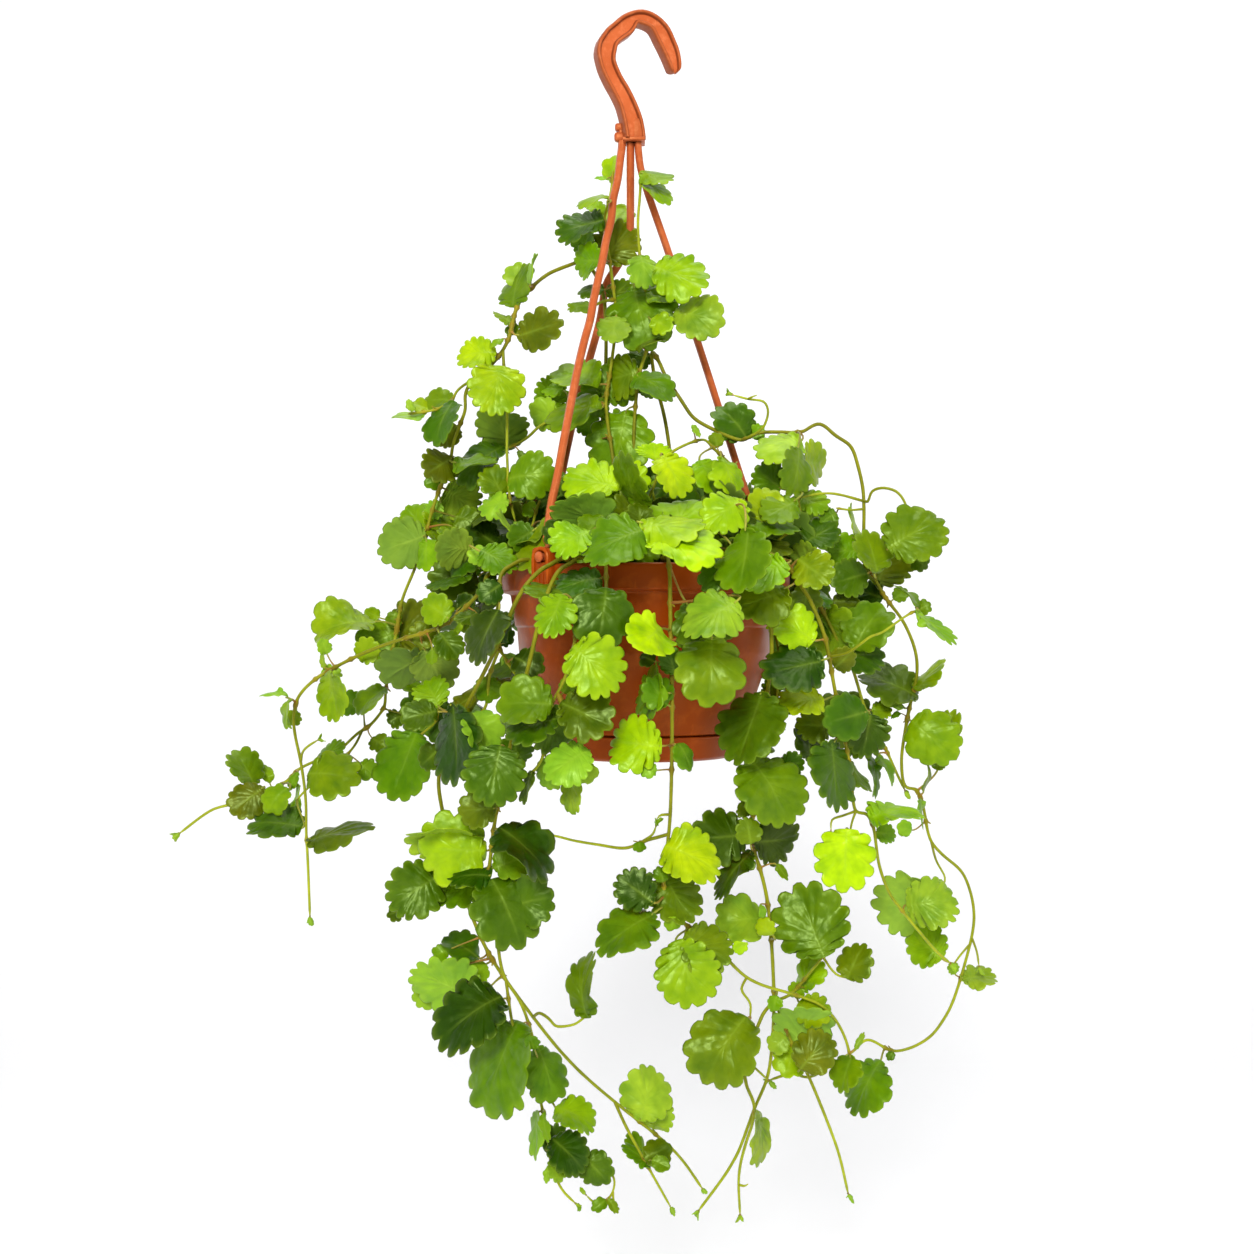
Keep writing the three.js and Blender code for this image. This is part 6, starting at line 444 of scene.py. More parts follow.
(0, 735, -580, -2895, 796, -518, -2919, -38, 16, -160, 21, -97, 10, 171, 'O', '-', 2025),
(0, 1315, -186, -4556, 1360, -78, -4548, 255, -26, 32, 7, -98, 16, 278, 'P', '-', 2038),
(1, 1256, -680, -3056, 1299, -620, -3050, 65, -18, 40, -31, -88, 37, 84, 'M', '-', 2052),
(0, 960, -470, -3579, 922, -361, -3615, -176, -27, 14, 27, -94, 19, 187, 'O', '-', 2075),
(0, 908, -528, -3335, 935, -440, -3317, 89, -27, 91, 18, -98, -3, 139, 'O', '-', 2087),
(0, 389, -463, -2748, 287, -392, -2649, 52, 198, 109, 82, -20, 53, 234, 'D', '-', 2182)]),
("vine_right_bush_back", [
[120, 70, 158, 60, -2876, 266, 35, -2792, 330, 20, -2752, 418, 0, -2717, 510, -21, -2697, 586, -40, -2695, 658, -62, -2707, 704, -80, -2728, 788, -113, -2789,
798, -115, -2801, 837, -121, -2894, 898, -118, -2994, 945, -106, -3077, 1016, -76, -3210, 1071, -50, -3303, 1095, -35, -3353, 1157, 23, -3528, 1187, 45, -3596,
1287, 103, -3765, 1356, 158, -3899, 1402, 180, -3988],
[70, 50, 658, -62, -2707, 747, -78, -2635, 785, -89, -2593, 804, -97, -2561, 809, -100, -2546, 810, -101, -2527, 799, -100, -2469, 794, -100, -2417]],
[(1, 799, -100, -2469, 755, -387, -2491, -175, -41, -106, -15, -81, 56, 209, 'M', '-', 193),
(0, 605, -45, -2696, 588, -360, -2598, 32, 45, 171, 5, -97, 25, 185, 'B', '-', 194),
(0, 567, -35, -2694, 520, -359, -2631, 256, 52, 5, 12, -65, 75, 261, 'M', '-', 195),
(1, 797, -100, -2451, 811, -38, -2450, 151, -33, -67, 3, -86, 50, 168, 'G', '-', 196),
(0, 788, -113, -2789, 831, -119, -2700, 177, 43, 122, -13, -86, 50, 218, 'D', '-', 197),
(0, 1043, -64, -3256, 1083, -146, -3236, 160, 56, 231, -32, -85, 43, 286, 'M', '-', 198),
(0, 1043, -64, -3256, 1003, -116, -3263, 254, 51, -6, 15, -68, 72, 259, 'D', '-', 199),
(0, 1287, 103, -3765, 1198, 75, -3789, 17, -47, -233, 88, -45, 15, 165, 'M', '-', 200),
(0, 1296, 110, -3781, 1234, 51, -3789, 68, -36, -164, 79, -45, 42, 152, 'P', '-', 201),
(1, 794, -100, -2417, 808, 9, -2244, -39, -39, -191, 53, -85, 7, 199, 'M', '-', 202),
(0, 908, -117, -3010, 938, -24, -3027, 128, -46, -239, -43, -87, 23, 277, 'G', '-', 2008),
(1, 795, -100, -2434, 722, -15, -2404, -140, -31, 111, 32, -91, -26, 197, 'M', '-', 2009),
(0, 1260, 86, -3718, 1249, 182, -3718, -323, -27, 186, 54, -71, 44, 414, 'O', '-', 2015),
(0, 927, -112, -3043, 985, -16, -2992, 143, -25, 2, -13, -78, 61, 152, 'O', '-', 2024),
(0, 1171, 34, -3563, 1208, 85, -3556, 109, -10, -1, 26, -88, 39, 117, 'G', '-', 2057),
(0, 827, -120, -2873, 792, -73, -2946, 149, -104, -256, 21, -10, 97, 308, 'D', '-', 2100),
(1, 795, -94, -2577, 797, 52, -2628, 126, 281, -91, 48, -26, 84, 336, 'D', '-', 2110),
(1, 747, -78, -2635, 569, 63, -2639, -218, -129, -169, 69, -1, 72, 302, 'D', '-', 2113),
(0, 767, -106, -2775, 810, -134, -2877, 144, -57, -149, 71, -18, 68, 213, 'D', '-', 2132),
(0, 908, -117, -3010, 844, -158, -2901, -19, -145, 207, 35, -5, 93, 252, 'B', '-', 2143),
(0, 878, -121, -2962, 776, -121, -3007, -76, -199, -149, 70, -27, 65, 296, 'O', '-', 2148),
(0, 347, 16, -2744, 373, -50, -2747, 271, -80, -50, 91, -21, 36, 283, 'B', '-', 2158)]),
("vine_right_arch", [
[120, 70, 76, 160, -2876, 122, 161, -2734, 143, 159, -2639, 158, 151, -2503, 161, 141, -2361, 154, 134, -2240, 133, 124, -2080, 114, 117, -1985, 70, 100, -1818,
53, 91, -1708, 52, 85, -1680, 53, 80, -1674, 59, 71, -1677, 67, 60, -1690, 91, 34, -1738, 120, 20, -1806, 148, 11, -1855, 203, 0, -1940, 252, 0, -2014, 276, 0,
-2038, 319, 0, -2066, 467, 1, -2136, 515, 0, -2148, 534, -1, -2145, 588, -8, -2119, 625, -12, -2110, 715, -20, -2109, 788, -27, -2113, 823, -30, -2110, 839,
-31, -2105, 886, -30, -2077, 916, -30, -2069, 945, -30, -2080, 999, -30, -2126, 1071, -30, -2175, 1091, -30, -2203, 1104, -30, -2237, 1142, -30, -2394, 1149,
-30, -2509, 1150, -22, -2640, 1158, -12, -2714, 1175, 0, -2782, 1196, 10, -2830, 1261, 37, -2948, 1355, 64, -3067, 1386, 73, -3116, 1427, 86, -3206, 1446, 93,
-3276, 1451, 98, -3344, 1447, 104, -3398, 1411, 123, -3571, 1378, 130, -3782, 1375, 127, -3852, 1384, 131, -3934, 1398, 136, -3964, 1411, 140, -3973, 1444, 149,
-3979, 1458, 153, -3986, 1469, 158, -3999, 1497, 171, -4068, 1527, 185, -4213, 1545, 190, -4262, 1563, 193, -4289, 1611, 200, -4339, 1685, 214, -4400, 1712,
220, -4428, 1731, 225, -4456, 1753, 233, -4504, 1779, 243, -4591, 1789, 249, -4684, 1781, 256, -4773, 1753, 261, -4896, 1694, 260, -5093, 1660, 260, -5178,
1622, 258, -5242, 1577, 253, -5301, 1536, 250, -5337, 1488, 247, -5365, 1452, 246, -5381, 1397, 243, -5396, 1362, 240, -5398, 1326, 237, -5389, 1239, 227,
-5340, 1208, 220, -5333, 1178, 208, -5343, 1137, 187, -5375, 1107, 175, -5393, 997, 145, -5451, 915, 114, -5487, 882, 100, -5492, 865, 93, -5491, 799, 67,
-5467, 782, 60, -5464, 750, 48, -5465, 668, 20, -5482],
[70, 50, 1148, -31, -2469, 1163, -60, -2473, 1167, -69, -2464, 1175, -83, -2434, 1182, -90, -2423, 1192, -98, -2416, 1218, -113, -2409, 1247, -128, -2411, 1282,
-143, -2423, 1297, -150, -2433, 1317, -163, -2458, 1332, -175, -2490, 1340, -185, -2523, 1342, -194, -2556, 1338, -200, -2589, 1323, -201, -2626, 1302, -200,
-2660, 1252, -200, -2721],
[70, 50, 1148, -31, -2469, 1121, -60, -2465, 1108, -67, -2462, 1018, -95, -2442, 963, -111, -2436, 892, -130, -2441, 803, -150, -2463],
[60, 40, 515, 0, -2148, 546, -37, -2142, 567, -60, -2135, 604, -86, -2111, 625, -100, -2089, 631, -107, -2075, 641, -120, -2042, 642, -130, -2012, 631, -137,
-1983, 621, -140, -1973, 608, -142, -1967, 538, -150, -1959, 462, -150, -1939],
[50, 35, 538, -150, -1959, 557, -170, -1952, 581, -180, -1944],
[50, 35, 1149, -30, -2509, 1069, -80, -2518, 994, -100, -2510],
[50, 35, 1545, 190, -4262, 1565, 160, -4359, 1601, 126, -4434, 1603, 120, -4447, 1601, 113, -4461, 1588, 100, -4486],
[50, 35, 1770, 260, -4828, 1706, 200, -4871, 1660, 160, -4911],
[50, 35, 1778, 258, -4790, 1796, 219, -4859, 1803, 200, -4932]],
[(3, 535, -25, -2144, 550, 38, -2133, -158, 47, 175, 9, -94, 33, 240, 'D', '-', 203),
(0, 806, -29, -2113, 813, -135, -2168, -242, -52, -88, -8, -75, 65, 263, 'P', '-', 204),
(0, 806, -29, -2113, 822, -80, -2271, 150, 196, 11, 79, -61, 6, 255, 'B', '-', 205),
(0, 806, -29, -2113, 781, -256, -2223, -54, -51, -249, 71, -71, -1, 260, 'M', '-', 206),
(0, 1151, -20, -2658, 1093, -25, -2666, 0, 39, 196, 89, -45, 9, 151, 'B', '-', 207),
(0, 1204, 13, -2845, 1173, -196, -2850, -44, 47, 229, 50, -83, 26, 238, 'M', '-', 208),
(1, 1252, -200, -2721, 1223, -294, -2732, 291, 67, 162, 0, -92, 39, 339, 'M', '-', 209),
(0, 1271, 40, -2963, 1271, 96, -2969, -114, 116, 46, -64, -73, 26, 174, 'K', '-', 210),
(0, 1196, 10, -2830, 1167, -29, -2843, -201, -42, -56, 19, -98, 5, 216, 'D', '-', 211),
(0, 1435, 111, -3455, 1445, 71, -3457, 153, 46, 170, -60, -45, 66, 178, 'G', '-', 212),
(0, 1426, 116, -3494, 1456, 94, -3499, -307, 67, 125, 15, -67, 72, 338, 'D', '-', 213),
(0, 1404, 125, -3611, 1415, 67, -3611, 210, -59, -204, -14, -98, 14, 300, 'G', '-', 214),
(0, 1458, 153, -3986, 1582, 211, -3887, 127, 70, 324, -80, -45, 41, 181, 'G', '-', 215),
(6, 1588, 100, -4486, 1591, 57, -4465, -334, 80, -221, -12, 86, 50, 408, 'P', 'U', 216),
(7, 1660, 160, -4911, 1579, 76, -4865, -165, 100, 136, -33, -91, 27, 243, 'B', '-', 217),
(0, 1722, 260, -5005, 1712, 228, -5003, 203, 41, 0, 9, -45, 89, 182, 'P', '-', 218),
(0, 1722, 260, -5005, 1678, 211, -4977, -27, 17, 54, 33, -84, 43, 86, 'P', '-', 219),
(0, 1308, 235, -5380, 1279, 198, -5433, -162, -64, -277, -65, -56, 51, 326, 'M', '-', 220),
(0, 1344, 238, -5396, 1345, 208, -5394, -27, -14, -43, -29, -84, 46, 49, 'D', '-', 221),
(0, 1415, 122, -3552, 1392, 122, -3548, -116, -34, 26, 34, -84, 43, 49, 'P', '-', 222),
(0, 1407, 124, -3591, 1370, 145, -3576, -53, -17, -27, -1, -84, 55, 37, 'M', '-', 223),
(0, 1478, 162, -4015, 1492, 120, -3998, 23, 31, 154, 89, -45, -4, 115, 'M', '-', 224),
(0, 1485, 165, -4033, 1471, 122, -4029, 11, -32, -160, 88, -45, 15, 115, 'P', '-', 225),
(0, 1261, 37, -2948, 1239, 110, -2902, 95, -32, 249, 17, -97, 19, 289, 'O', '-', 2007),
(0, 1158, -12, -2714, 1136, 35, -2730, -181, 2, 25, 38, -92, -2, 196, 'G', '-', 2018),
(0, 76, 49, -1707, 47, 108, -1683, -134, -3, -34, -13, -93, 35, 141, 'D', '-', 2019),
(1, 1278, -200, -2691, 1374, -146, -2758, 83, 5, -62, -53, -83, 17, 109, 'D', '-', 2030),
(3, 535, -25, -2144, 575, 55, -2129, 65, -9, 60, -5, -96, 27, 94, 'B', '-', 2034),
(0, 1516, 180, -4159, 1452, 246, -4214, -83, -14, 27, -11, -95, 30, 94, 'P', '-', 2050),
(0, 1292, 47, -2991, 1322, 77, -2975, 70, 0, 57, 21, -97, 7, 91, 'M', '-', 2064),
(5, 1013, -96, -2512, 1005, -48, -2534, -92, -21, -47, 17, -96, 23, 111, 'M', '-', 2067),
(0, 161, 141, -2361, 120, 206, -2358, -3, 307, -71, 39, 84, 38, 317, 'K', '-', 2168)]),
("vine_right_trail", [
[140, 70, 106, -300, -2876, 207, -473, -2842, 239, -519, -2834, 263, -546, -2829, 305, -580, -2817, 353, -607, -2795, 386, -622, -2793, 449, -643, -2793, 464,
-647, -2800, 479, -650, -2821, 563, -659, -2961, 587, -656, -3030, 601, -649, -3105, 608, -637, -3200, 606, -623, -3293, 566, -555, -3650, 531, -499, -4042,
528, -488, -4116, 533, -480, -4170, 540, -475, -4206, 578, -460, -4329, 600, -447, -4419, 612, -439, -4495, 623, -430, -4591, 638, -413, -4805, 643, -401,
-4958, 639, -389, -5132, 629, -377, -5257, 619, -366, -5324, 606, -358, -5374, 553, -340, -5508, 477, -320, -5723, 443, -313, -5791, 405, -306, -5855, 282,
-280, -6034],
[100, 60, 643, -401, -4958, 600, -434, -4992, 582, -446, -5015, 569, -455, -5041, 540, -462, -5105, 507, -461, -5182, 492, -460, -5237, 490, -461, -5273, 498,
-462, -5323, 506, -457, -5357, 540, -426, -5444, 547, -405, -5495, 538, -365, -5580, 512, -314, -5691, 489, -272, -5812, 482, -255, -5901, 490, -240, -6071],
[90, 60, 643, -401, -4958, 660, -449, -4987, 672, -467, -5014, 698, -479, -5081, 736, -479, -5171, 771, -470, -5238, 813, -454, -5323, 935, -393, -5626, 972,
-373, -5738, 1017, -340, -5924],
[80, 50, 643, -401, -4958, 705, -417, -4930, 732, -424, -4909, 876, -460, -4726],
[50, 35, 876, -460, -4726, 915, -475, -4783, 936, -480, -4804, 950, -481, -4812, 995, -480, -4824],
[50, 35, 495, -460, -5220, 618, -370, -5355],
[50, 35, 483, -252, -5919, 511, -276, -5915, 526, -290, -5900]],
[(0, 555, -538, -3768, 510, -616, -3740, 169, -72, -318, 42, -81, 41, 367, 'M', '-', 226),
(0, 592, -596, -3441, 555, -653, -3424, -123, -74, -347, -51, -79, 35, 375, 'D', '-', 227),
(0, 529, -485, -4134, 500, -534, -4120, -286, -58, -16, 17, -94, 28, 291, 'K', '-', 228),
(0, 533, -480, -4170, 536, -522, -4158, 229, 118, 0, 46, -89, 0, 265, 'K', '-', 229),
(0, 540, -475, -4206, 521, -532, -4195, -172, -58, -234, -67, -45, 60, 175, 'D', '-', 230),
(0, 567, -464, -4293, 648, -503, -4266, 48, -26, -77, 29, -84, 46, 56, 'M', '-', 231),
(0, 533, -502, -4023, 530, -462, -4020, -68, 21, 29, -3, -84, 55, 123, 'O', '-', 232),
(3, 876, -460, -4726, 866, -565, -4705, -114, 132, 337, -11, -94, 33, 390, 'M', '-', 233),
(4, 995, -480, -4824, 986, -511, -4822, 94, 39, 167, -42, -80, 42, 195, 'M', '-', 234),
(0, 619, -433, -4552, 598, -457, -4545, -242, -49, -42, 4, -76, 65, 250, 'P', '-', 235),
(3, 753, -429, -4883, 769, -391, -4911, 106, 38, 159, -69, -45, 57, 190, 'B', '-', 236),
(2, 728, -480, -5154, 726, -457, -5158, 100, -166, 231, 22, 84, 50, 310, 'P', 'U', 237),
(2, 728, -480, -5154, 729, -482, -5147, -47, -82, -136, 16, -87, 47, 171, 'B', '-', 238),
(2, 780, -467, -5255, 742, -634, -5217, 149, 43, 154, -7, -94, 33, 218, 'O', '-', 239),
(1, 547, -405, -5495, 551, -443, -5476, 0, -53, -263, 89, -45, 9, 201, 'P', '-', 240),
(0, 609, -441, -4476, 566, -495, -4466, 10, -24, -82, 46, -84, 29, 45, 'P', '-', 241),
(0, 536, -478, -4188, 501, -701, -4137, -23, -8, 129, 3, -96, 27, 133, 'M', '-', 2021),
(0, 555, -538, -3768, 656, -510, -3793, 127, 10, 22, 27, -96, 9, 133, 'D', '-', 2046),
(2, 698, -479, -5081, 688, -548, -5091, -84, -22, -58, -30, -91, 28, 114, 'P', '-', 2048),
(0, 628, -425, -4650, 612, -628, -4581, -58, 11, 80, -43, -90, -6, 100, 'B', '-', 2062),
(3, 785, -437, -4838, 783, -406, -4874, -65, -12, -52, -4, -100, -4, 90, 'G', '-', 2078),
(0, 642, -406, -4900, 639, -564, -4887, -25, -10, -76, 0, -98, 18, 81, 'G', '-', 2084),
(0, 136, -352, -2865, 85, -305, -2812, 57, -230, 226, -22, -77, 60, 325, 'K', '-', 2118)]),
("vine_back_01", [
[110, 60, 421, 198, -2876, 449, 215, -2832, 474, 242, -2790, 522, 311, -2730, 545, 338, -2714, 558, 349, -2710, 574, 360, -2709, 606, 381, -2716, 654, 412,
-2740, 707, 448, -2782, 731, 462, -2809, 742, 464, -2824, 760, 456, -2856, 774, 433, -2892, 771, 431, -2911, 757, 437, -2951, 745, 438, -2991, 735, 435, -3067,
733, 427, -3104, 738, 404, -3161, 750, 351, -3256, 750, 338, -3293, 749, 331, -3331, 747, 333, -3388, 744, 356, -3482, 745, 361, -3520, 750, 358, -3577, 758,
349, -3633]],
[(0, 680, 430, -2759, 752, 433, -2707, 173, -81, 260, -9, 93, 35, 319, 'M', '-', 242),
(0, 774, 433, -2892, 838, 463, -2890, 194, -254, -96, 69, 28, 67, 355, 'D', '-', 243),
(0, 734, 432, -3086, 793, 421, -3082, 116, 355, -71, 22, 12, 97, 404, 'M', '-', 244),
(0, 750, 334, -3312, 756, 282, -3320, 36, -303, -128, 73, -19, 66, 333, 'D', '-', 245),
(0, 750, 334, -3312, 759, 441, -3324, 82, 315, -170, 70, 19, 69, 375, 'M', '-', 246),
(0, 745, 361, -3520, 778, 263, -3528, 257, 63, -172, 58, -17, 80, 346, 'M', '-', 247),
(0, 707, 448, -2782, 749, 528, -2751, 146, 22, -12, -16, -97, 20, 149, 'G', '-', 2029),
(0, 747, 333, -3388, 748, 415, -3415, -59, -16, -102, -42, -90, 12, 123, 'M', '-', 2045),
(0, 742, 464, -2824, 777, 509, -2836, 61, 16, -67, -32, -86, 40, 99, 'G', '-', 2069),
(0, 767, 446, -2873, 801, 502, -2844, -14, -28, 147, 22, -95, 24, 155, 'G', '-', 2094),
(0, 757, 437, -2951, 788, 530, -2922, 43, -4, 85, 5, -90, 42, 98, 'G', '-', 2098),
(0, 590, 371, -2711, 584, 544, -2657, 59, 253, 63, 32, 43, 85, 264, 'M', '-', 2106),
(0, 752, 462, -2840, 664, 604, -2898, -109, 204, -78, 14, -6, 99, 276, 'M', '-', 2134),
(0, 774, 433, -2892, 643, 340, -2706, 110, 33, 236, 3, 34, 94, 284, 'M', '-', 2135),
(0, 734, 421, -3123, 753, 232, -3108, 121, -175, 44, -3, -3, 100, 240, 'D', '-', 2142),
(0, 767, 446, -2873, 641, 476, -2933, -54, 170, -233, 43, 13, 89, 323, 'O', '-', 2172)]),
("vine_back_02", [
[110, 60, 364, 287, -2876, 406, 322, -2803, 425, 338, -2778, 474, 378, -2730, 514, 410, -2710, 528, 422, -2709, 558, 447, -2716, 614, 493, -2749, 662, 534,
-2795, 681, 548, -2824, 687, 553, -2840, 691, 554, -2856, 695, 549, -2892, 686, 524, -2991, 677, 522, -3048, 652, 533, -3142, 645, 534, -3180, 643, 529, -3218,
643, 506, -3312, 642, 503, -3350, 639, 507, -3388, 629, 530, -3482, 629, 535, -3520, 633, 535, -3577, 650, 525, -3690]],
[(0, 691, 533, -2951, 719, 509, -2923, 149, -275, 9, 71, 40, 58, 320, 'D', '-', 248),
(0, 641, 504, -3369, 691, 572, -3392, 263, -162, -166, 62, 23, 76, 360, 'D', '-', 249),
(0, 642, 524, -3237, 619, 635, -3223, -164, -50, 172, 11, -99, -1, 248, 'D', '-', 2010),
(0, 637, 511, -3407, 674, 459, -3244, 144, 2, 143, 68, 40, 61, 200, 'M', '-', 2116),
(0, 689, 528, -2971, 548, 587, -2890, -86, 169, 87, 34, 40, 85, 233, 'M', '-', 2128),
(0, 425, 338, -2778, 391, 309, -2693, -78, -220, 116, -2, 23, 97, 270, 'M', '-', 2140),
(0, 573, 459, -2722, 532, 325, -2559, 51, -39, 224, 62, 19, 76, 230, 'D', '-', 2169),
(0, 693, 538, -2931, 653, 497, -3011, 87, -296, -93, -22, 20, 95, 353, 'M', '-', 2178)]),
("vine_back_03", [
[110, 60, 248, 330, -2876, 279, 374, -2803, 294, 395, -2778, 332, 449, -2735, 353, 479, -2719, 374, 508, -2710, 404, 551, -2711, 444, 608, -2732, 472, 647,
-2759, 491, 674, -2782, 513, 704, -2824, 517, 711, -2840, 520, 714, -2874, 518, 710, -2911, 510, 698, -2971, 497, 695, -3027, 451, 709, -3146, 441, 711, -3180,
435, 708, -3218, 430, 695, -3312, 425, 694, -3350, 418, 700, -3384, 393, 725, -3469, 383, 737, -3520, 381, 742, -3576, 386, 747, -3690]],
[(0, 322, 434, -2745, 355, 412, -2717, 223, -256, 84, 18, 45, 88, 370, 'M', '-', 250),
(0, 471, 703, -3095, 521, 782, -3100, 297, -168, -118, 49, 28, 82, 381, 'D', '-', 251),
(0, 471, 703, -3095, 464, 765, -3072, -53, 298, -22, 52, 16, 84, 314, 'D', '-', 252),
(0, 393, 725, -3469, 409, 789, -3468, 177, -298, -181, 88, 29, 38, 395, 'D', '-', 253),
(0, 384, 745, -3652, 414, 672, -3649, 279, -175, -188, 63, 20, 75, 380, 'D', '-', 254),
(0, 384, 745, -3652, 367, 683, -3634, -147, 346, -83, 42, 38, 82, 411, 'D', '-', 255),
(0, 441, 711, -3180, 490, 756, -3210, 163, -7, 122, 9, -93, 35, 226, 'D', '-', 2072),
(0, 444, 608, -2732, 440, 447, -2604, 49, -72, 298, 61, 20, 77, 332, 'D', '-', 2121),
(0, 364, 494, -2713, 372, 440, -2712, -206, 41, 199, 58, 37, 73, 315, 'B', '-', 2157),
(0, 472, 647, -2759, 417, 707, -2699, -21, 289, 64, 52, 71, 48, 305, 'K', '-', 2164),
(0, 384, 522, -2709, 193, 537, -2591, -26, 99, 222, -12, 99, 11, 242, 'O', '-', 2179),
(0, 294, 395, -2778, 196, 349, -2594, 73, 26, 196, 68, 69, 23, 221, 'O', '-', 2188)]),
("vine_back_04", [
[110, 60, 177, 421, -2876, 193, 466, -2817, 206, 508, -2778, 229, 572, -2730, 247, 615, -2710, 254, 631, -2709, 268, 663, -2716, 289, 711, -2740, 312, 769,
-2782, 325, 805, -2824, 328, 812, -2840, 332, 816, -2873, 332, 810, -2911, 329, 796, -2971, 320, 789, -3029, 277, 789, -3142, 267, 788, -3180, 264, 784, -3218,
266, 768, -3312, 263, 766, -3350, 251, 772, -3407, 218, 794, -3520]],
[(0, 307, 788, -3067, 344, 708, -3074, 205, -148, -142, 70, 45, 55, 292, 'D', '-', 256),
(0, 264, 777, -3255, 284, 975, -3272, 100, 314, -194, 6, 51, 86, 393, 'M', '-', 257),
(0, 229, 787, -3482, 261, 807, -3485, 190, 262, -117, -35, 58, 74, 373, 'D', '-', 258),
(0, 265, 774, -3274, 321, 752, -3066, 73, 195, 237, 73, 43, 54, 315, 'G', '-', 2152),
(0, 327, 792, -2991, 396, 705, -2980, 205, -73, -48, 2, -20, 98, 231, 'D', '-', 2167)]),
("vine_back_05", [
[110, 60, 60, 361, -2876, 67, 414, -2803, 72, 455, -2767, 80, 523, -2730, 85, 561, -2717, 90, 597, -2710, 99, 669, -2713, 107, 739, -2733, 114, 804, -2770, 119,
846, -2809, 123, 863, -2840, 125, 867, -2856, 132, 866, -2892, 145, 846, -2971, 146, 838, -3010, 142, 834, -3048, 119, 824, -3142, 114, 820, -3180, 117, 814,
-3218, 135, 798, -3312, 138, 795, -3350, 132, 797, -3407, 110, 808, -3520]],
[(0, 146, 841, -2991, 113, 988, -3007, -228, 174, -272, -10, 79, 60, 385, 'D', '-', 259),
(0, 116, 822, -3161, 99, 942, -3184, -102, 300, -200, 20, 59, 78, 379, 'D', '-', 260),
(0, 132, 797, -3407, 174, 796, -3402, 161, 201, -84, -17, 50, 85, 272, 'D', '-', 261),
(0, 101, 687, -2716, 59, 586, -2546, -121, -82, 267, -8, 64, 76, 338, 'M', '-', 2147),
(0, 63, 382, -2846, 2, 419, -2639, 10, 211, 211, -23, 70, 68, 313, 'O', '-', 2156),
(0, 146, 841, -2991, 318, 763, -3051, 253, 60, -83, 31, 74, 59, 301, 'D', '-', 2175)]),
("vine_back_06", [
[110, 60, -27, 465, -2876, -32, 520, -2803, -35, 544, -2778, -40, 603, -2730, -43, 635, -2714, -44, 651, -2710, -46, 668, -2709, -49, 704, -2716, -54, 757,
-2740, -60, 820, -2782, -64, 859, -2824, -64, 866, -2840, -62, 872, -2873, -57, 867, -2911, -51, 853, -2971, -53, 843, -3029, -87, 825, -3142, -93, 820, -3180,
-93, 812, -3236, -80, 799, -3350]],
[(0, -59, 870, -2892, -64, 1018, -2902, -33, 302, -237, -19, 59, 78, 415, 'D', '-', 262)]),
("vine_back_07", [
[110, 60, -92, 310, -2876, -109, 360, -2803, -118, 386, -2777, -127, 414, -2759, -144, 464, -2734, -169, 535, -2712, -181, 571, -2708, -194, 609, -2710, -220,
685, -2726, -244, 751, -2759, -260, 794, -2795, -267, 815, -2824, -268, 823, -2840, -263, 830, -2873, -239, 823, -2951, -227, 814, -3010, -227, 808, -3048,
-238, 792, -3142, -236, 785, -3199, -197, 777, -3350]],
[(0, -234, 819, -2971, -288, 941, -2982, -224, 82, -156, -41, 43, 81, 312, 'D', '-', 263),
(0, -236, 785, -3199, -249, 737, -3233, -50, 222, -209, -19, 65, 74, 305, 'D', '-', 264),
(0, -202, 778, -3331, -171, 877, -3424, 58, -27, -103, -2, -97, 24, 129, 'P', '-', 2063),
(0, -202, 778, -3331, -173, 855, -3410, 61, 5, -107, -44, -87, -20, 124, 'P', '-', 2079),
(0, -246, 826, -2931, -234, 816, -2904, 173, 227, 31, -12, 49, 86, 304, 'K', '-', 2101),
(0, -169, 535, -2712, -257, 688, -2648, -113, 186, 117, 4, 48, 88, 266, 'M', '-', 2137),
(0, -263, 830, -2873, -89, 839, -2798, 129, 182, 32, -3, 89, 45, 233, 'D', '-', 2154),
(0, -201, 629, -2712, -298, 532, -2674, -271, -18, 80, -14, 67, 73, 298, 'O', '-', 2187)]),
("vine_back_08", [
[110, 60, -149, 273, -2876, -176, 318, -2803, -198, 354, -2768, -224, 398, -2741, -244, 431, -2727, -284, 497, -2710, -322, 561, -2711, -360, 624, -2727, -395,
680, -2759, -412, 707, -2782, -426, 730, -2810, -433, 746, -2840, -433, 750, -2856, -426, 754, -2892, -402, 748, -2971, -394, 743, -3010, -394, 738, -3048,
-404, 718, -3142, -404, 712, -3180, -397, 710, -3218, -370, 710, -3312, -365, 710, -3350, -369, 709, -3407, -391, 706, -3520]],
[(0, -394, 741, -3029, -456, 817, -3033, -253, -98, -71, -38, 36, 85, 284, 'D', '-', 265),
(0, -394, 741, -3029, -363, 895, -3033, 249, 200, -208, -21, 82, 53, 373, 'D', '-', 266),
(0, -392, 709, -3237, -409, 725, -3242, -112, 289, -203, -55, 33, 77, 377, 'M', '-', 267),
(0, -372, 708, -3425, -356, 715, -3442, 66, 269, -114, -63, 43, 65, 305, 'M', '-', 268),
(0, -376, 708, -3444, -394, 825, -3419, -97, -35, 123, -14, -99, 4, 173, 'G', '-', 2022),
(0, -376, 708, -3444, -405, 806, -3423, -74, -4, 133, 0, -100, 3, 161, 'G', '-', 2073),
(0, -264, 464, -2716, -294, 415, -2600, -110, 88, 195, 8, 63, 77, 261, 'D', '-', 2166)]),
("vine_back_09", [
[110, 60, -217, 267, -2876, -252, 307, -2803, -279, 339, -2767, -296, 368, -2747, -312, 404, -2730, -325, 444, -2717, -337, 482, -2710, -360, 534, -2710, -381,
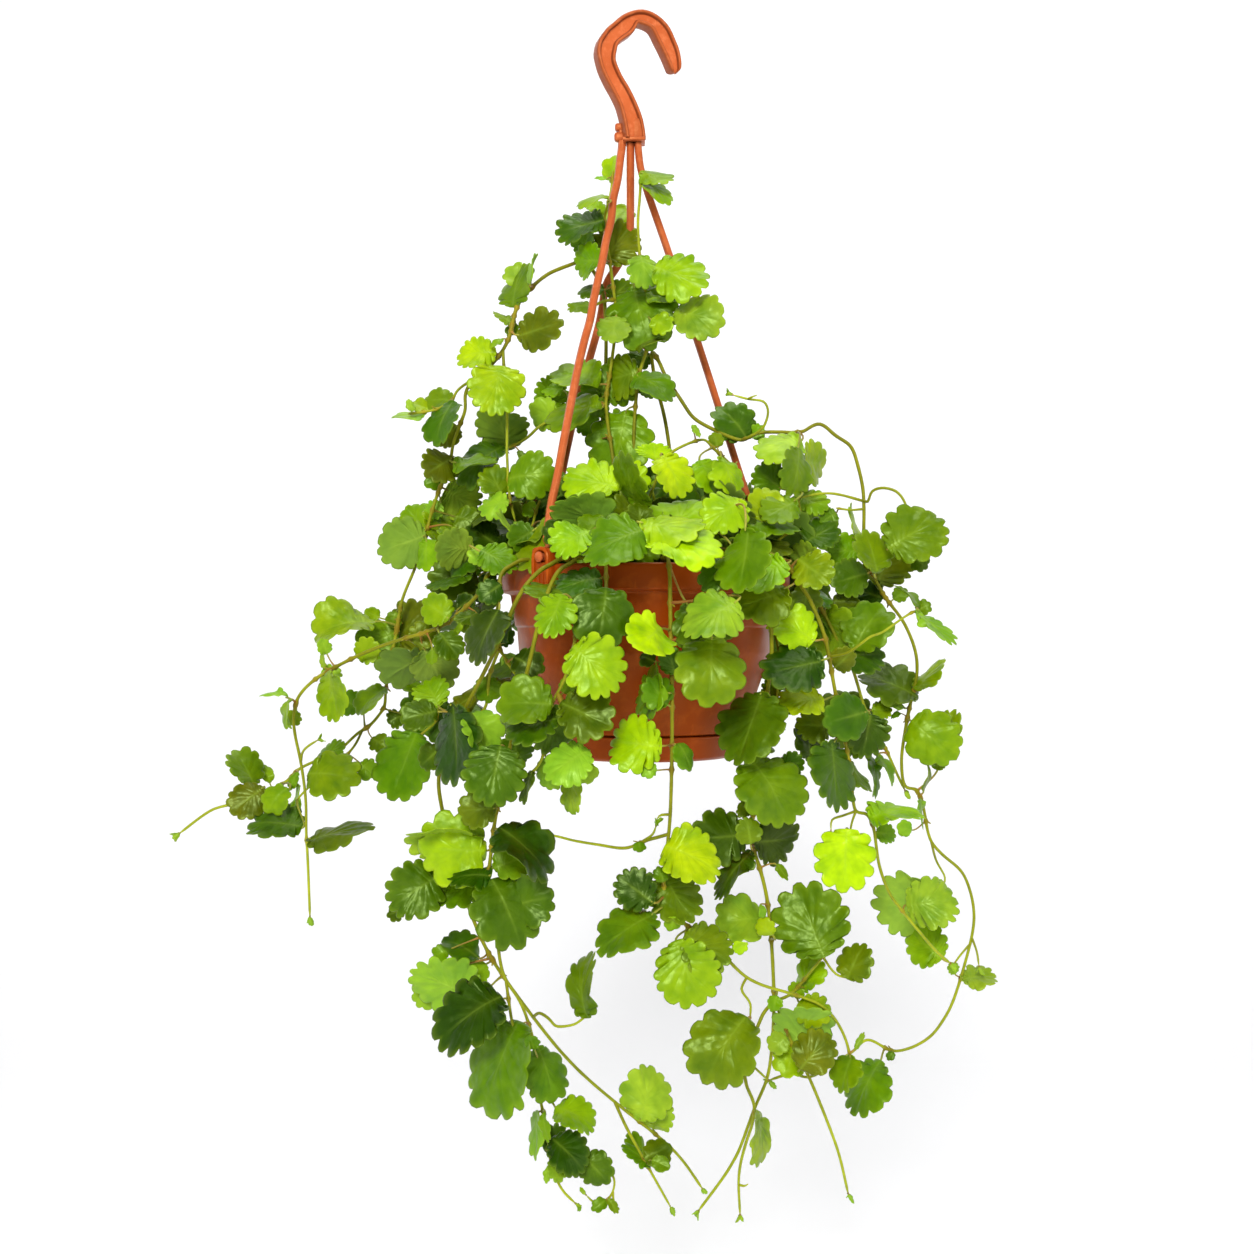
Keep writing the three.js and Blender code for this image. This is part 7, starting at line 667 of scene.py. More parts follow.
566, -2716, -411, 610, -2733, -449, 664, -2770, -475, 698, -2809, -492, 707, -2840, -498, 707, -2856, -510, 698, -2892, -504, 698, -2911, -473, 703, -2971,
-468, 701, -2991, -467, 694, -3029, -478, 681, -3067, -531, 624, -3161, -540, 614, -3180, -549, 597, -3218, -550, 588, -3255, -541, 583, -3331, -544, 579,
-3369, -551, 574, -3407, -586, 556, -3520]],
[(0, -288, 353, -2757, -312, 456, -2722, -195, -221, 220, 10, 66, 75, 366, 'D', '-', 269),
(0, -467, 694, -3029, -575, 770, -3029, -307, 97, -81, -18, 24, 95, 349, 'D', '-', 270),
(0, -550, 588, -3255, -572, 438, -3264, -148, -276, -218, -92, 23, 33, 370, 'D', '-', 271),
(0, -550, 588, -3255, -545, 762, -3248, 37, 356, -107, -28, 30, 91, 388, 'D', '-', 272),
(0, -563, 568, -3445, -575, 628, -3462, -71, 286, -152, -63, 24, 74, 325, 'D', '-', 273),
(0, -402, 596, -2726, -307, 558, -2574, -4, 99, 227, -45, 28, 85, 246, 'G', '-', 2141),
(0, -318, 424, -2723, -172, 271, -2620, 316, 20, 17, -12, 60, 79, 338, 'K', '-', 2145),
(0, -440, 650, -2759, -525, 481, -2698, -203, -199, 165, -25, 42, 87, 355, 'M', '-', 2149),
(0, -325, 444, -2717, -360, 307, -2615, -142, -86, 243, -58, 46, 67, 308, 'K', '-', 2190)]),
("vine_back_10", [
[110, 60, -320, 255, -2876, -364, 288, -2803, -385, 303, -2778, -435, 338, -2735, -463, 357, -2719, -491, 376, -2710, -536, 410, -2713, -567, 432, -2724, -595,
453, -2740, -647, 491, -2782, -677, 515, -2824, -685, 523, -2856, -678, 526, -2911, -662, 510, -3010, -671, 470, -3142, -671, 462, -3180, -650, 459, -3312,
-648, 456, -3350, -653, 449, -3388, -679, 427, -3482, -687, 422, -3520, -690, 423, -3576, -691, 433, -3690]],
[(0, -667, 488, -3086, -695, 431, -3091, -209, 259, -168, -56, 8, 82, 407, 'D', '-', 274),
(0, -655, 459, -3274, -675, 508, -3284, -91, 223, -177, -27, 53, 81, 302, 'M', '-', 275),
(0, -679, 427, -3482, -652, 493, -3511, 102, 185, -217, -60, 73, 34, 305, 'D', '-', 276),
(0, -691, 430, -3652, -682, 369, -3668, 44, -322, -163, -79, -36, 50, 352, 'D', '-', 277),
(0, -691, 430, -3652, -732, 484, -3642, -320, 221, -1, 22, 33, 92, 382, 'D', '-', 278),
(0, -435, 338, -2735, -331, 279, -2743, 169, 252, 61, 48, -25, 84, 345, 'D', '-', 2192)]),
("vine_back_11", [
[110, 60, -408, 155, -2876, -460, 172, -2803, -483, 179, -2778, -543, 197, -2730, -591, 210, -2710, -627, 220, -2711, -681, 237, -2731, -744, 262, -2770, -785,
282, -2809, -802, 293, -2840, -805, 297, -2856, -798, 307, -2911, -782, 311, -2971, -774, 310, -3010, -772, 303, -3048, -769, 275, -3142, -766, 268, -3180,
-761, 268, -3218, -749, 274, -3274]],
[(0, -699, 243, -2740, -703, 385, -2704, -91, 237, 217, -88, -45, 13, 361, 'D', '-', 279),
(0, -798, 307, -2911, -841, 428, -2935, -155, 190, -208, -71, 17, 69, 335, 'M', '-', 280),
(0, -771, 292, -3086, -831, 170, -3070, -313, -37, -50, -19, 49, 85, 315, 'D', '-', 281),
(0, -497, 183, -2765, -447, 145, -2718, 144, -37, 207, -80, 8, 60, 258, 'O', '-', 2112)]),
("vine_crown_01", [
[110, 60, 56, -113, -2876, 44, -131, -2782, 42, -140, -2726, 47, -144, -2688, 70, -149, -2594, 72, -154, -2557, 52, -181, -2426]],
[(0, 41, -138, -2744, 84, -85, -2725, 202, -194, -51, 22, -2, 97, 308, 'D', '-', 282),
(0, 44, -142, -2707, 199, -126, -2571, 269, -39, 48, 39, -13, 91, 282, 'M', '-', 2139)]),
("vine_crown_02", [
[110, 60, 305, -78, -2876, 313, -70, -2782, 317, -71, -2726, 318, -77, -2688, 317, -107, -2576, 323, -123, -2426]],
[(0, 319, -115, -2519, 255, -45, -2523, -207, 110, -95, -18, 43, 89, 245, 'M', '-', 283),
(0, 319, -115, -2519, 384, -115, -2513, 238, -58, -84, 33, -2, 94, 285, 'D', '-', 284),
(0, 317, -98, -2613, 312, -282, -2547, 213, -219, 24, 79, -57, 22, 313, 'D', '-', 2146),
(0, 317, -103, -2594, 439, 20, -2699, 209, 158, -19, 86, 4, 50, 300, 'B', '-', 2193)]),
("vine_crown_03", [
[110, 60, 234, 260, -2876, 257, 336, -2594, 265, 348, -2538, 288, 366, -2426]],
[(0, 255, 331, -2613, 191, 244, -2607, -210, 126, -108, -9, 55, 83, 267, 'D', '-', 285),
(0, 252, 321, -2651, 180, 296, -2532, 130, -49, 278, 52, 79, 33, 324, 'K', '-', 2104),
(0, 269, 351, -2519, 407, 234, -2605, 314, -60, -50, 8, 20, 98, 326, 'D', '-', 2123),
(0, 245, 295, -2744, 242, 410, -2719, -82, 302, 98, -9, 70, 70, 372, 'D', '-', 2126),
(0, 269, 351, -2519, 235, 192, -2567, 114, -212, -98, 49, 23, 84, 276, 'K', '-', 2183),
(0, 257, 336, -2594, 142, 216, -2471, -220, 9, 123, 36, 80, 48, 283, 'M', '-', 2185)]),
("vine_crown_04", [
[110, 60, -53, 188, -2876, -65, 227, -2725, -99, 258, -2576]],
[(0, -85, 247, -2632, -50, 338, -2620, 195, 178, -65, -27, 58, 77, 294, 'M', '-', 286)]),
("vine_crown_05", [
[110, 60, -322, 47, -2876, -343, 22, -2763, -356, 18, -2688, -373, 39, -2557, -389, 76, -2426]],
[(0, -364, 25, -2632, -424, 0, -2626, -273, 129, -75, -42, -43, 80, 334, 'M', '-', 287),
(0, -364, 25, -2632, -322, 58, -2626, 333, -75, -27, 4, -17, 98, 365, 'M', '-', 288)]),
("vine_crown_06", [
[110, 60, -227, -140, -2876, -231, -175, -2744, -238, -184, -2669, -258, -185, -2557, -291, -168, -2426]],
[(0, -286, -171, -2444, -317, -208, -2454, -111, 235, -117, -45, 22, 87, 277, 'D', '-', 289),
(0, -232, -178, -2726, -47, -181, -2722, 244, -146, 4, 28, -38, 88, 315, 'G', '-', 2102)]),
("vine_crown_07", [
[110, 60, 203, 517, -2876, 235, 514, -2801, 249, 518, -2744, 257, 529, -2688, 268, 560, -2576]],
[(0, 264, 550, -2613, 229, 645, -2608, -238, 144, -27, 39, 75, 53, 293, 'D', '-', 290),
(0, 266, 555, -2594, 148, 551, -2608, -225, 57, -106, -36, 74, 57, 267, 'D', '-', 2115),
(0, 203, 517, -2876, 183, 441, -2830, 154, -74, 194, 32, 45, 83, 294, 'D', '-', 2150),
(0, 259, 534, -2669, 304, 383, -2623, 208, -83, 185, -9, 46, 88, 323, 'M', '-', 2176)]),
("vine_crown_08", [
[110, 60, -353, 368, -2876, -373, 371, -2782, -381, 376, -2726, -383, 388, -2669, -380, 415, -2576]],
[(0, -380, 410, -2594, -376, 389, -2550, -245, -54, 212, -36, 38, 85, 341, 'D', '-', 2127),
(0, -369, 370, -2800, -538, 427, -2776, -326, 29, -16, -88, 21, 42, 329, 'D', '-', 2160)]),
("vine_crown_09", [
[110, 60, 533, 45, -2876, 544, 44, -2726, 555, 34, -2576]],
[(0, 550, 39, -2650, 550, -39, -2642, 4, -286, -25, 32, -8, 95, 282, 'D', '-', 291),
(0, 550, 39, -2650, 578, -13, -2640, 245, 229, -2, 53, -56, 63, 350, 'M', '-', 292),
(0, 542, 44, -2744, 617, -7, -2709, 211, -157, 181, 71, -34, 62, 360, 'D', '-', 2108),
(0, 542, 44, -2744, 521, 137, -2613, 33, 118, 186, -60, 32, 74, 252, 'M', '-', 2120),
(0, 544, 44, -2726, 513, 132, -2516, 204, 40, 250, 88, 19, 43, 328, 'M', '-', 2144),
(0, 551, 38, -2632, 528, -163, -2692, 129, -252, -86, 17, -19, 97, 327, 'O', '-', 2162)]),
("vine_crown_10", [
[110, 60, -535, -19, -2876, -585, 0, -2594, -595, 10, -2538, -616, 38, -2426]],
[(0, -558, -9, -2744, -576, 146, -2738, -106, 303, -20, -61, -16, 78, 334, 'D', '-', 293),
(0, -582, -1, -2613, -632, 73, -2608, -291, 33, -52, -20, -46, 86, 301, 'M', '-', 294),
(0, -613, 33, -2444, -638, 1, -2454, -218, -184, -157, -42, -24, 87, 332, 'D', '-', 295),
(0, -606, 24, -2482, -380, 46, -2449, 34, 222, -28, -2, -26, 97, 236, 'K', '-', 2163),
(0, -606, 24, -2482, -618, 13, -2480, -195, 1, 134, -44, 5, 89, 261, 'M', '-', 2194)]),
]
LEGS = [[-104, 0, -614, -114, -15, -697, -127, -40, -809, -150, -60, -918, -160, -90, -1030, -185, -115, -1140, -203, -140, -1249, -247, -200, -1467, -264,
-225, -1573, -291, -255, -1680, -325, -295, -1838, -388, -395, -2201, -421, -455, -2404, -442, -480, -2504, -455, -505, -2603, -464, -520, -2700],
[-60, 10, -610, -60, 50, -779, -60, 108, -980, -62, 123, -1042, -67, 130, -1071, -76, 137, -1099, -101, 153, -1153, -132, 167, -1205, -169, 182, -1255, -185,
190, -1284, -196, 199, -1317, -215, 230, -1431, -232, 249, -1505, -351, 350, -1909, -428, 433, -2232, -443, 450, -2308, -459, 474, -2419, -473, 495, -2525,
-485, 515, -2652],
[-21, 0, -614, -12, 15, -701, -5, 20, -737, 23, 32, -830, 135, 70, -1141, 344, 149, -1752, 543, 221, -2350, 622, 247, -2569, 654, 255, -2678]]

# ---------------------------------------------------------------- small helpers
def srgb(*c):
    out = []
    for v in c:
        v = v / 255.0
        out.append(v / 12.92 if v <= 0.04045 else ((v + 0.055) / 1.055) ** 2.4)
    return tuple(out)


def unit(v):
    return v / (np.linalg.norm(v, axis=-1, keepdims=True) + 1e-12)


def catmull(points, step):
    """A smooth curve through the points (centripetal), then evenly spaced along its length."""
    P = np.asarray(points, float)
    if len(P) > 2:
        Q = np.vstack([2 * P[0] - P[1], P, 2 * P[-1] - P[-2]])
        out = []
        for i in range(1, len(Q) - 2):
            p0, p1, p2, p3 = Q[i - 1 : i + 3]
            t1 = max(1e-3, np.linalg.norm(p1 - p0)) ** 0.5
            t2 = t1 + max(1e-3, np.linalg.norm(p2 - p1)) ** 0.5
            t3 = t2 + max(1e-3, np.linalg.norm(p3 - p2)) ** 0.5
            n = max(2, int(np.linalg.norm(p2 - p1) / (step * 0.5)) + 1)
            t = (t1 + (t2 - t1) * np.arange(n) / n)[:, None]
            a1 = (t1 - t) / t1 * p0 + t / t1 * p1
            a2 = (t2 - t) / (t2 - t1) * p1 + (t - t1) / (t2 - t1) * p2
            a3 = (t3 - t) / (t3 - t2) * p2 + (t - t2) / (t3 - t2) * p3
            b1 = (t2 - t) / t2 * a1 + t / t2 * a2
            b2 = (t3 - t) / (t3 - t1) * a2 + (t - t1) / (t3 - t1) * a3
            out.append((t2 - t) / (t2 - t1) * b1 + (t - t1) / (t2 - t1) * b2)
        P = np.vstack(out + [P[-1:]])
    d = np.r_[0, np.cumsum(np.linalg.norm(np.diff(P, axis=0), axis=1))]
    n = max(2, int(round(d[-1] / step)) + 1)
    s = np.linspace(0, d[-1], n)
    return np.stack([np.interp(s, d, P[:, i]) for i in range(3)], 1)


def frames(P, up=None):
    """Tangents and two unit normals that turn as little as possible along the curve."""
    T = unit(np.gradient(P, axis=0))
    a = np.array(up if up is not None else [0.3, -0.9, 0.2], float)
    if abs(a @ T[0]) > 0.9:
        a = np.array([1.0, 0, 0])
    N = np.empty_like(P)
    n = a - (a @ T[0]) * T[0]
    N[0] = n / np.linalg.norm(n)
    for i in range(1, len(P)):
        n = N[i - 1] - (N[i - 1] @ T[i]) * T[i]
        N[i] = n / (np.linalg.norm(n) + 1e-12)
    return T, N, np.cross(T, N)


class Builder:
    """Collects vertices, faces, a colour, a 4-channel detail attribute and a material number."""

    def __init__(self):
        self.v, self.f, self.m, self.c, self.d, self.n = [], [], [], [], [], 0

    def add(self, v, f, mat, col, det):
        v = np.asarray(v, float)
        f = np.asarray(f, int)
        k = len(v)
        self.v.append(v)
        self.f.append(f + self.n)
        self.m.append(np.full(len(f), mat, int))
        self.c.append(np.broadcast_to(np.asarray(col, float), (k, 3)).copy())
        self.d.append(np.broadcast_to(np.asarray(det, float), (k, 4)).copy())
        self.n += k

    def make(self, name, mats, smooth=True):
        v = np.vstack(self.v) * MM
        tri = [f for f in self.f]
        faces, mat = [], []
        for f, m in zip(self.f, self.m):
            faces.append(f)
            mat.append(m)
        sizes = np.concatenate([np.full(len(f), f.shape[1]) for f in faces])
        loops = np.concatenate([f.ravel() for f in faces])
        starts = np.r_[0, np.cumsum(sizes)[:-1]]
        me = bpy.data.meshes.new(name)
        me.vertices.add(len(v))
        me.vertices.foreach_set("co", v.ravel().astype(np.float32))
        me.loops.add(len(loops))
        me.loops.foreach_set("vertex_index", loops.astype(np.int32))
        me.polygons.add(len(sizes))
        me.polygons.foreach_set("loop_start", starts.astype(np.int32))
        me.polygons.foreach_set("loop_total", sizes.astype(np.int32))
        me.polygons.foreach_set("material_index", np.concatenate(mat).astype(np.int32))
        me.polygons.foreach_set("use_smooth", np.full(len(sizes), smooth))
        for m in mats:
            me.materials.append(m)
        col = me.attributes.new("tint", "FLOAT_COLOR", "POINT")
        c = np.vstack(self.c)
        col.data.foreach_set("color", np.c_[c, np.ones(len(c))].ravel().astype(np.float32))
        det = me.attributes.new("detail", "FLOAT_COLOR", "POINT")
        det.data.foreach_set("color", np.vstack(self.d).ravel().astype(np.float32))
        me.update(calc_edges=True)
        me.validate()
        ob = bpy.data.objects.new(name, me)
        bpy.context.scene.collection.objects.link(ob)
        return ob


def tube(b, P, R, sides, mat, col, det, flat=None, ends=(True, True), up=None):
    """A closed tube along P. R: a radius for each point. flat: thickness along the second normal relative to R."""
    n = len(P)
    T, N, B = frames(P, up)
    a = np.arange(sides) * 2 * math.pi / sides
    R = np.broadcast_to(R, (n,))
    k = 1.0 if flat is None else flat
    ring = P[:, None] + R[:, None, None] * (np.cos(a)[None, :, None] * N[:, None] + k * np.sin(a)[None, :, None] * B[:, None])
    v = ring.reshape(-1, 3)
    i = np.arange(n - 1)[:, None] * sides
    j = np.arange(sides)[None]
    q = np.stack([i + j, i + (j + 1) % sides, i + sides + (j + 1) % sides, i + sides + j], -1).reshape(-1, 4)
    col = np.repeat(np.broadcast_to(col, (n, 3)), sides, 0)
    det = np.repeat(np.broadcast_to(det, (n, 4)), sides, 0)
    # end points a little beyond, so that the ends are rounded
    e0 = P[0] - T[0] * R[0] * 0.7
    e1 = P[-1] + T[-1] * R[-1] * 0.7
    v = np.vstack([v, e0, e1])
    col = np.vstack([col, col[:1], col[-1:]])
    det = np.vstack([det, det[:1], det[-1:]])
    j = np.arange(sides)
    t0 = np.stack([np.full(sides, n * sides), (j + 1) % sides, j], 1)
    t1 = np.stack([np.full(sides, n * sides + 1), (n - 1) * sides + j, (n - 1) * sides + (j + 1) % sides], 1)
    base = b.n
    b.add(v, q, mat, col, det)
    b.f.append(np.vstack([t0, t1]) + base)
    b.m.append(np.full(2 * sides, mat, int))


# ---------------------------------------------------------------- leaves
# Tone colours: D and K are partly painted shade, and P is a painted sheen.
TONES = {
    "Y": (170, 204, 0),
    "B": (140, 176, 4),
    "G": (121, 157, 2),
    "M": (99, 133, 2),
    "D": (69, 101, 0),
    "K": (43, 72, 0),
    "O": (90, 106, 0),
    "P": (140, 178, 40),
}


def leaf_outline(rng, q, per, lobes):
    """The scalloped outline in the leaf's own plane: base at 0,0, tip at 1,0, width q. Returns points, lobe phase."""
    m = lobes
    # shares of the outline, from the base up one side: a plain stretch at the stalk, then the lobes, then the tip lobe
    plain = rng.uniform(0.09, 0.15)
    wts = np.array([0.74] + [1.0] * (m - 1)) * rng.uniform(0.72, 1.28, m)
    full = []
    for side in (1, -1):
        w = wts * rng.uniform(0.93, 1.07, m)
        tipw = 0.5 * rng.uniform(0.95, 1.2)
        tot = w.sum() + tipw
        edges = plain + (1 - plain) * np.r_[0, np.cumsum(w)] / tot
        full.append((side, edges))
    al = rng.uniform(0.86, 1.06)  # under 1: widest nearer the tip... over 1: nearer the base
    rnd = rng.uniform(0.46, 0.56)
    dep = rng.uniform(0.14, 0.22)
    out, ph = [], []

    def body(t, side):
        s = np.sin(math.pi * np.clip(t, 0, 1) ** al)
        x = 0.5 - 0.5 * np.cos(math.pi * t)
        y = side * (q / 2) * np.abs(s) ** (0.5 + rnd)
        return np.stack([x, y], -1)

    centre = np.array([0.52, 0.0])
    for side, edges in full:
        T, D, PH = [0.0, plain * 0.35, plain * 0.7], [1.0, 1.0, 1.0], [0.0, 0.25, 0.5]
        for k in range(m):
            u = np.arange(per) / per
            T += list(edges[k] + (edges[k + 1] - edges[k]) * u)
            dd = dep * (0.45 + 0.55 * min(1.0, (k + 0.6) / 2.0)) * rng.uniform(0.8, 1.2)
            D += list(1 + dd * (np.sin(math.pi * u) ** 0.5 - 0.66))
            PH += list(1 + k + u)
        u = np.linspace(0, 0.5, per // 2 + 1)
        T += list(edges[m] + (1 - edges[m]) * u * 2)
        D += list(1 + dep * 1.0 * (np.sin(math.pi * u) ** 0.5 - 0.66))
        PH += list(1 + m + u)
        T, D, PH = map(np.array, (T, D, PH))
        p = centre + (body(T, side) - centre) * D[:, None]
        out.append(p)
        ph.append(PH)
    a, c = out
    # one loop: base, up the +y side, tip, down the -y side
    P = np.vstack([a, c[-2:0:-1]])
    H = np.r_[ph[0], ph[1][-2:0:-1]]
    x0 = P[:, 0].min()
    P[:, 0] = (P[:, 0] - 0.0) / (P[:, 0].max())
    P[:, 1] *= q / (P[:, 1].max() - P[:, 1].min())
    return P, H


def add_leaf(b, base, L, N, width, tone, kind, rng, attach, tangent):
    ln = float(np.linalg.norm(L))
    ex = L / ln
    N = N - (N @ ex) * ex
    ez = N / (np.linalg.norm(N) + 1e-9)
    ey = np.cross(ez, ex)
    q = max(0.25, min(1.6, width / ln))
    size = max(ln, width)
    if size > 19:
        per, lobes, rings = 5, int(rng.choice([4, 5, 5, 6])), [0.22, 0.45, 0.67, 0.85, 0.96]
    elif size > 11:
        per, lobes, rings = 5, int(rng.choice([3, 4, 4, 5])), [0.3, 0.6, 0.82, 0.95]
    else:
        per, lobes, rings = 4, int(rng.choice([2, 3, 3])), [0.35, 0.65, 0.9]
    O2, PH = leaf_outline(rng, q, per, lobes)
    K = len(O2)
    H = K // 2 + 1  # points up one side, base and tip counted
    half = np.minimum(np.arange(K), K - np.arange(K))
    # the midrib: side veins leave it one after another on the way to the tip
    x0, x1 = rng.uniform(0.02, 0.07), rng.uniform(0.42, 0.60)
    mid = x0 + (x1 - x0) * (np.arange(H) / (H - 1)) ** 1.25
    rho = np.array(rings + [1.0])
    cen = np.stack([mid[half], np.zeros(K)], 1)
    G = cen + (O2[None] - cen) * rho[:, None, None]
    pts = np.vstack([np.stack([mid, np.zeros(H)], 1), G.reshape(-1, 2)])
    rr = np.r_[np.zeros(H), np.repeat(rho, K)]
    phase = np.r_[PH[:H], np.tile(PH, len(rho))]
    x, y = pts[:, 0].copy(), pts[:, 1].copy()
    ang = np.arctan2(y, x - 0.3)
    # relief: lobes swell between the notches, veins lie in shallow troughs, the edge waves
    soft = 1.0 if kind != "U" else 0.6
    on = np.clip(phase - 0.6, 0, 1)
    pleat = rng.uniform(0.0, 0.007) * soft
    z = pleat * rr**2.4 * -np.cos(2 * math.pi * phase) * on
    vein = np.exp(-((np.abs(phase % 1 - 0.5) / 0.16) ** 2)) * on
    quilt = rng.uniform(0.002, 0.006)
    z += quilt * np.sin(math.pi * np.clip(rr, 0, 1)) * (1 - 2 * vein)
    tilt = rng.normal(0, 0.022, lobes * 2 + 4)
    side = np.where(np.r_[np.zeros(H), np.tile((np.arange(K) > H - 1).astype(float), len(rho))] > 0, lobes + 2, 0)
    which = np.clip(np.floor(phase).astype(int), 0, lobes + 1) + side.astype(int)
    z += tilt[which] * rr**4 * np.abs(np.sin(math.pi * phase)) * on
    bow = rng.uniform(-0.04, 0.22)
    z -= bow * (((x - 0.5) ** 2) * 0.8 + (y**2) * 1.1)
    a2, a3, a5 = rng.uniform(0.02, 0.08), rng.uniform(0.015, 0.06), rng.uniform(0.006, 0.03)
    z += rr**2 * (a2 * np.cos(2 * ang + rng.uniform(0, 6.3)) + a3 * np.cos(3 * ang + rng.uniform(0, 6.3)) + a5 * np.cos(5 * ang + rng.uniform(0, 6.3)))
    fold = rng.choice([rng.uniform(0.02, 0.14), rng.uniform(0.1, 0.3), rng.uniform(-0.12, 0.02)], p=[0.5, 0.3, 0.2])
    if kind in ("N", "C", "R"):
        fold = rng.uniform(0.25, 0.5)
    z += fold * np.sqrt(y**2 + 0.0010) * (0.4 + 0.6 * np.clip(x, 0, 1))
    bend = rng.choice([rng.uniform(0.1, 0.5), rng.uniform(0.5, 1.0), rng.uniform(-0.25, 0.1)], p=[0.55, 0.25, 0.20])
    if kind == "C":
        bend = rng.uniform(1.0, 1.5)
    X, Y, Z = x * ln, y * ln, z * ln
    if abs(bend) > 1e-3:
        R = ln / bend
        t = X / R
        X, Z = (R + Z) * np.sin(t), (R + Z) * np.cos(t) - R
    twist = rng.uniform(-0.35, 0.35) * (X / ln)
    Y, Z = Y * np.cos(twist) - Z * np.sin(twist), Y * np.sin(twist) + Z * np.cos(twist)
    # back on the chord: the tip point lies at (ln, 0, 0), the base point at 0
    last = H + (len(rho) - 1) * K
    tip = last + H - 1
    off = np.array([X[last], Y[last], Z[last]])
    X, Y, Z = X - off[0], Y - off[1], Z - off[2]
    th = math.atan2(Z[tip], X[tip])
    s = ln / math.hypot(X[tip], Z[tip])
    X, Z = s * (X * math.cos(th) + Z * math.sin(th)), s * (-X * math.sin(th) + Z * math.cos(th))
    Y = (Y - Y[last]) * (width / max(1e-6, Y.max() - Y.min()))
    C = np.stack([X, Y, Z], 1)
    # faces of the mid surface
    j = np.arange(K)
    jn = (j + 1) % K
    h0, h1 = half[j], half[jn]
    inner = np.stack([h0, H + j, H + jn, h1], 1)
    quads = [inner]
    for r in range(len(rho) - 1):
        a0, a1 = H + r * K, H + (r + 1) * K
        quads.append(np.stack([a0 + j, a1 + j, a1 + jn, a0 + jn], 1))
    quads = np.vstack(quads)
    nv = np.zeros_like(C)
    fq = np.cross(C[quads[:, 2]] - C[quads[:, 0]], C[quads[:, 3]] - C[quads[:, 1]])
    for c in range(4):
        np.add.at(nv, quads[:, c], fq)
    nv = unit(nv)
    flip = nv[:, 2].mean() < 0
    if flip:
        nv = -nv
    th = 0.24 if size > 11 else 0.17
    edge = np.where(rr > 0.999, 0.0, np.where(rr > 0.93, 0.75, 1.0))
    up = C + nv * (th * edge)[:, None]
    rib = vein * np.clip(1.1 - rr, 0, 1) * 0.6
    rib = np.maximum(rib, np.where(rr < 0.01, 1.0, 0.0) * (1 - 0.6 * np.clip(x, 0, 1)))
    rib = np.maximum(rib, np.where((phase > lobes + 1.4), 0.8, 0) * np.clip(1.0 - rr, 0, 1))
    lo = C - nv * (th * edge + 0.4 * rib * (edge > 0) * min(1.0, size / 20))[:, None]
    M = np.stack([ex, ey, ez], 0)
    nvtx = len(C)
    rim = last
    V = np.vstack([up, lo[: nvtx - K]]) @ M + base
    # colour
    t = np.array(TONES[tone], float)
    t = t * rng.uniform(0.93, 1.07) + np.array([rng.uniform(-9, 9), rng.uniform(-5, 5), rng.uniform(-3, 3)])
    colour = np.array(srgb(*np.clip(t, 0, 255)))
    det = np.stack([phase / 16.0, rr, np.zeros(nvtx), np.clip(np.abs(Y) / 30.0, 0, 1)], 1)
    det_lo = det[: nvtx - K].copy()
    det_lo[:, 2] = 1
    D = np.vstack([det, det_lo])
    # lower faces: the same, reversed, their outer ring is the shared rim
    ql = quads + nvtx
    outer = quads[:, 1] >= rim
    ql[outer, 1] -= nvtx
    ql[outer, 2] -= nvtx
    F = np.vstack([quads[:, ::-1], ql]) if flip else np.vstack([quads, ql[:, ::-1]])
    # the first quads at the base and the tip have two corners on one midrib point
    n_in = np.zeros(len(F), bool)
    same = (F[:, :, None] == F[:, None, :]).sum((1, 2)) > 4
    quad_f, tri_f = F[~same], F[same]
    if len(tri_f):
        tri_f = np.array([list(dict.fromkeys(f.tolist())) for f in tri_f])
    base_n = b.n
    b.add(V, quad_f, 0, colour, D)
    if len(tri_f):
        b.f.append(tri_f + base_n)
        b.m.append(np.zeros(len(tri_f), int))
    # stalk: leaves the stem, curves, and runs on under the blade as its midrib
    a = attach
    gap = float(np.linalg.norm(base - a))
    d1 = unit(M.T @ np.array([1.0, 0, -0.05]))
    out = unit(base - a)
    d0 = unit(out * 0.9 + tangent * 0.25 * (1 if out @ tangent > 0 else 0.4) + np.array([0, 0, 0.25]))
    p3 = base + d1 * min(1.4, ln * 0.12) - ez * 0.25
    h = max(gap, 1.0)
    n = int(max(5, min(12, h / 1.6)))
    u = np.linspace(0, 1, n)[:, None]
    p1, p2 = a + d0 * h * 0.42, p3 - d1 * h * 0.36
    P = (1 - u) ** 3 * a + 3 * (1 - u) ** 2 * u * p1 + 3 * (1 - u) * u**2 * p2 + u**3 * p3
    rs = 0.62 if size > 14 else (0.5 if size > 8 else 0.36)
    U = u[:, 0]
    R = rs * (1 + 0.45 * np.exp(-((U / 0.12) ** 2)) - 0.18 * np.sin(math.pi * U) - 0.35 * np.clip((U - 0.9) / 0.1, 0, 1))
    green = np.array(srgb(150, 160, 62))
    red = np.array(srgb(*[(150, 96, 48), (168, 120, 66), (120, 118, 40), (134, 140, 48)][rng.randint(4)]))
    cc = red * (1 - U[:, None] ** 1.5) + green * U[:, None] ** 1.5
    tube(b, P, R, 6, 1, cc, (0.3, 0.5, 0, rng.uniform(0, 1)))


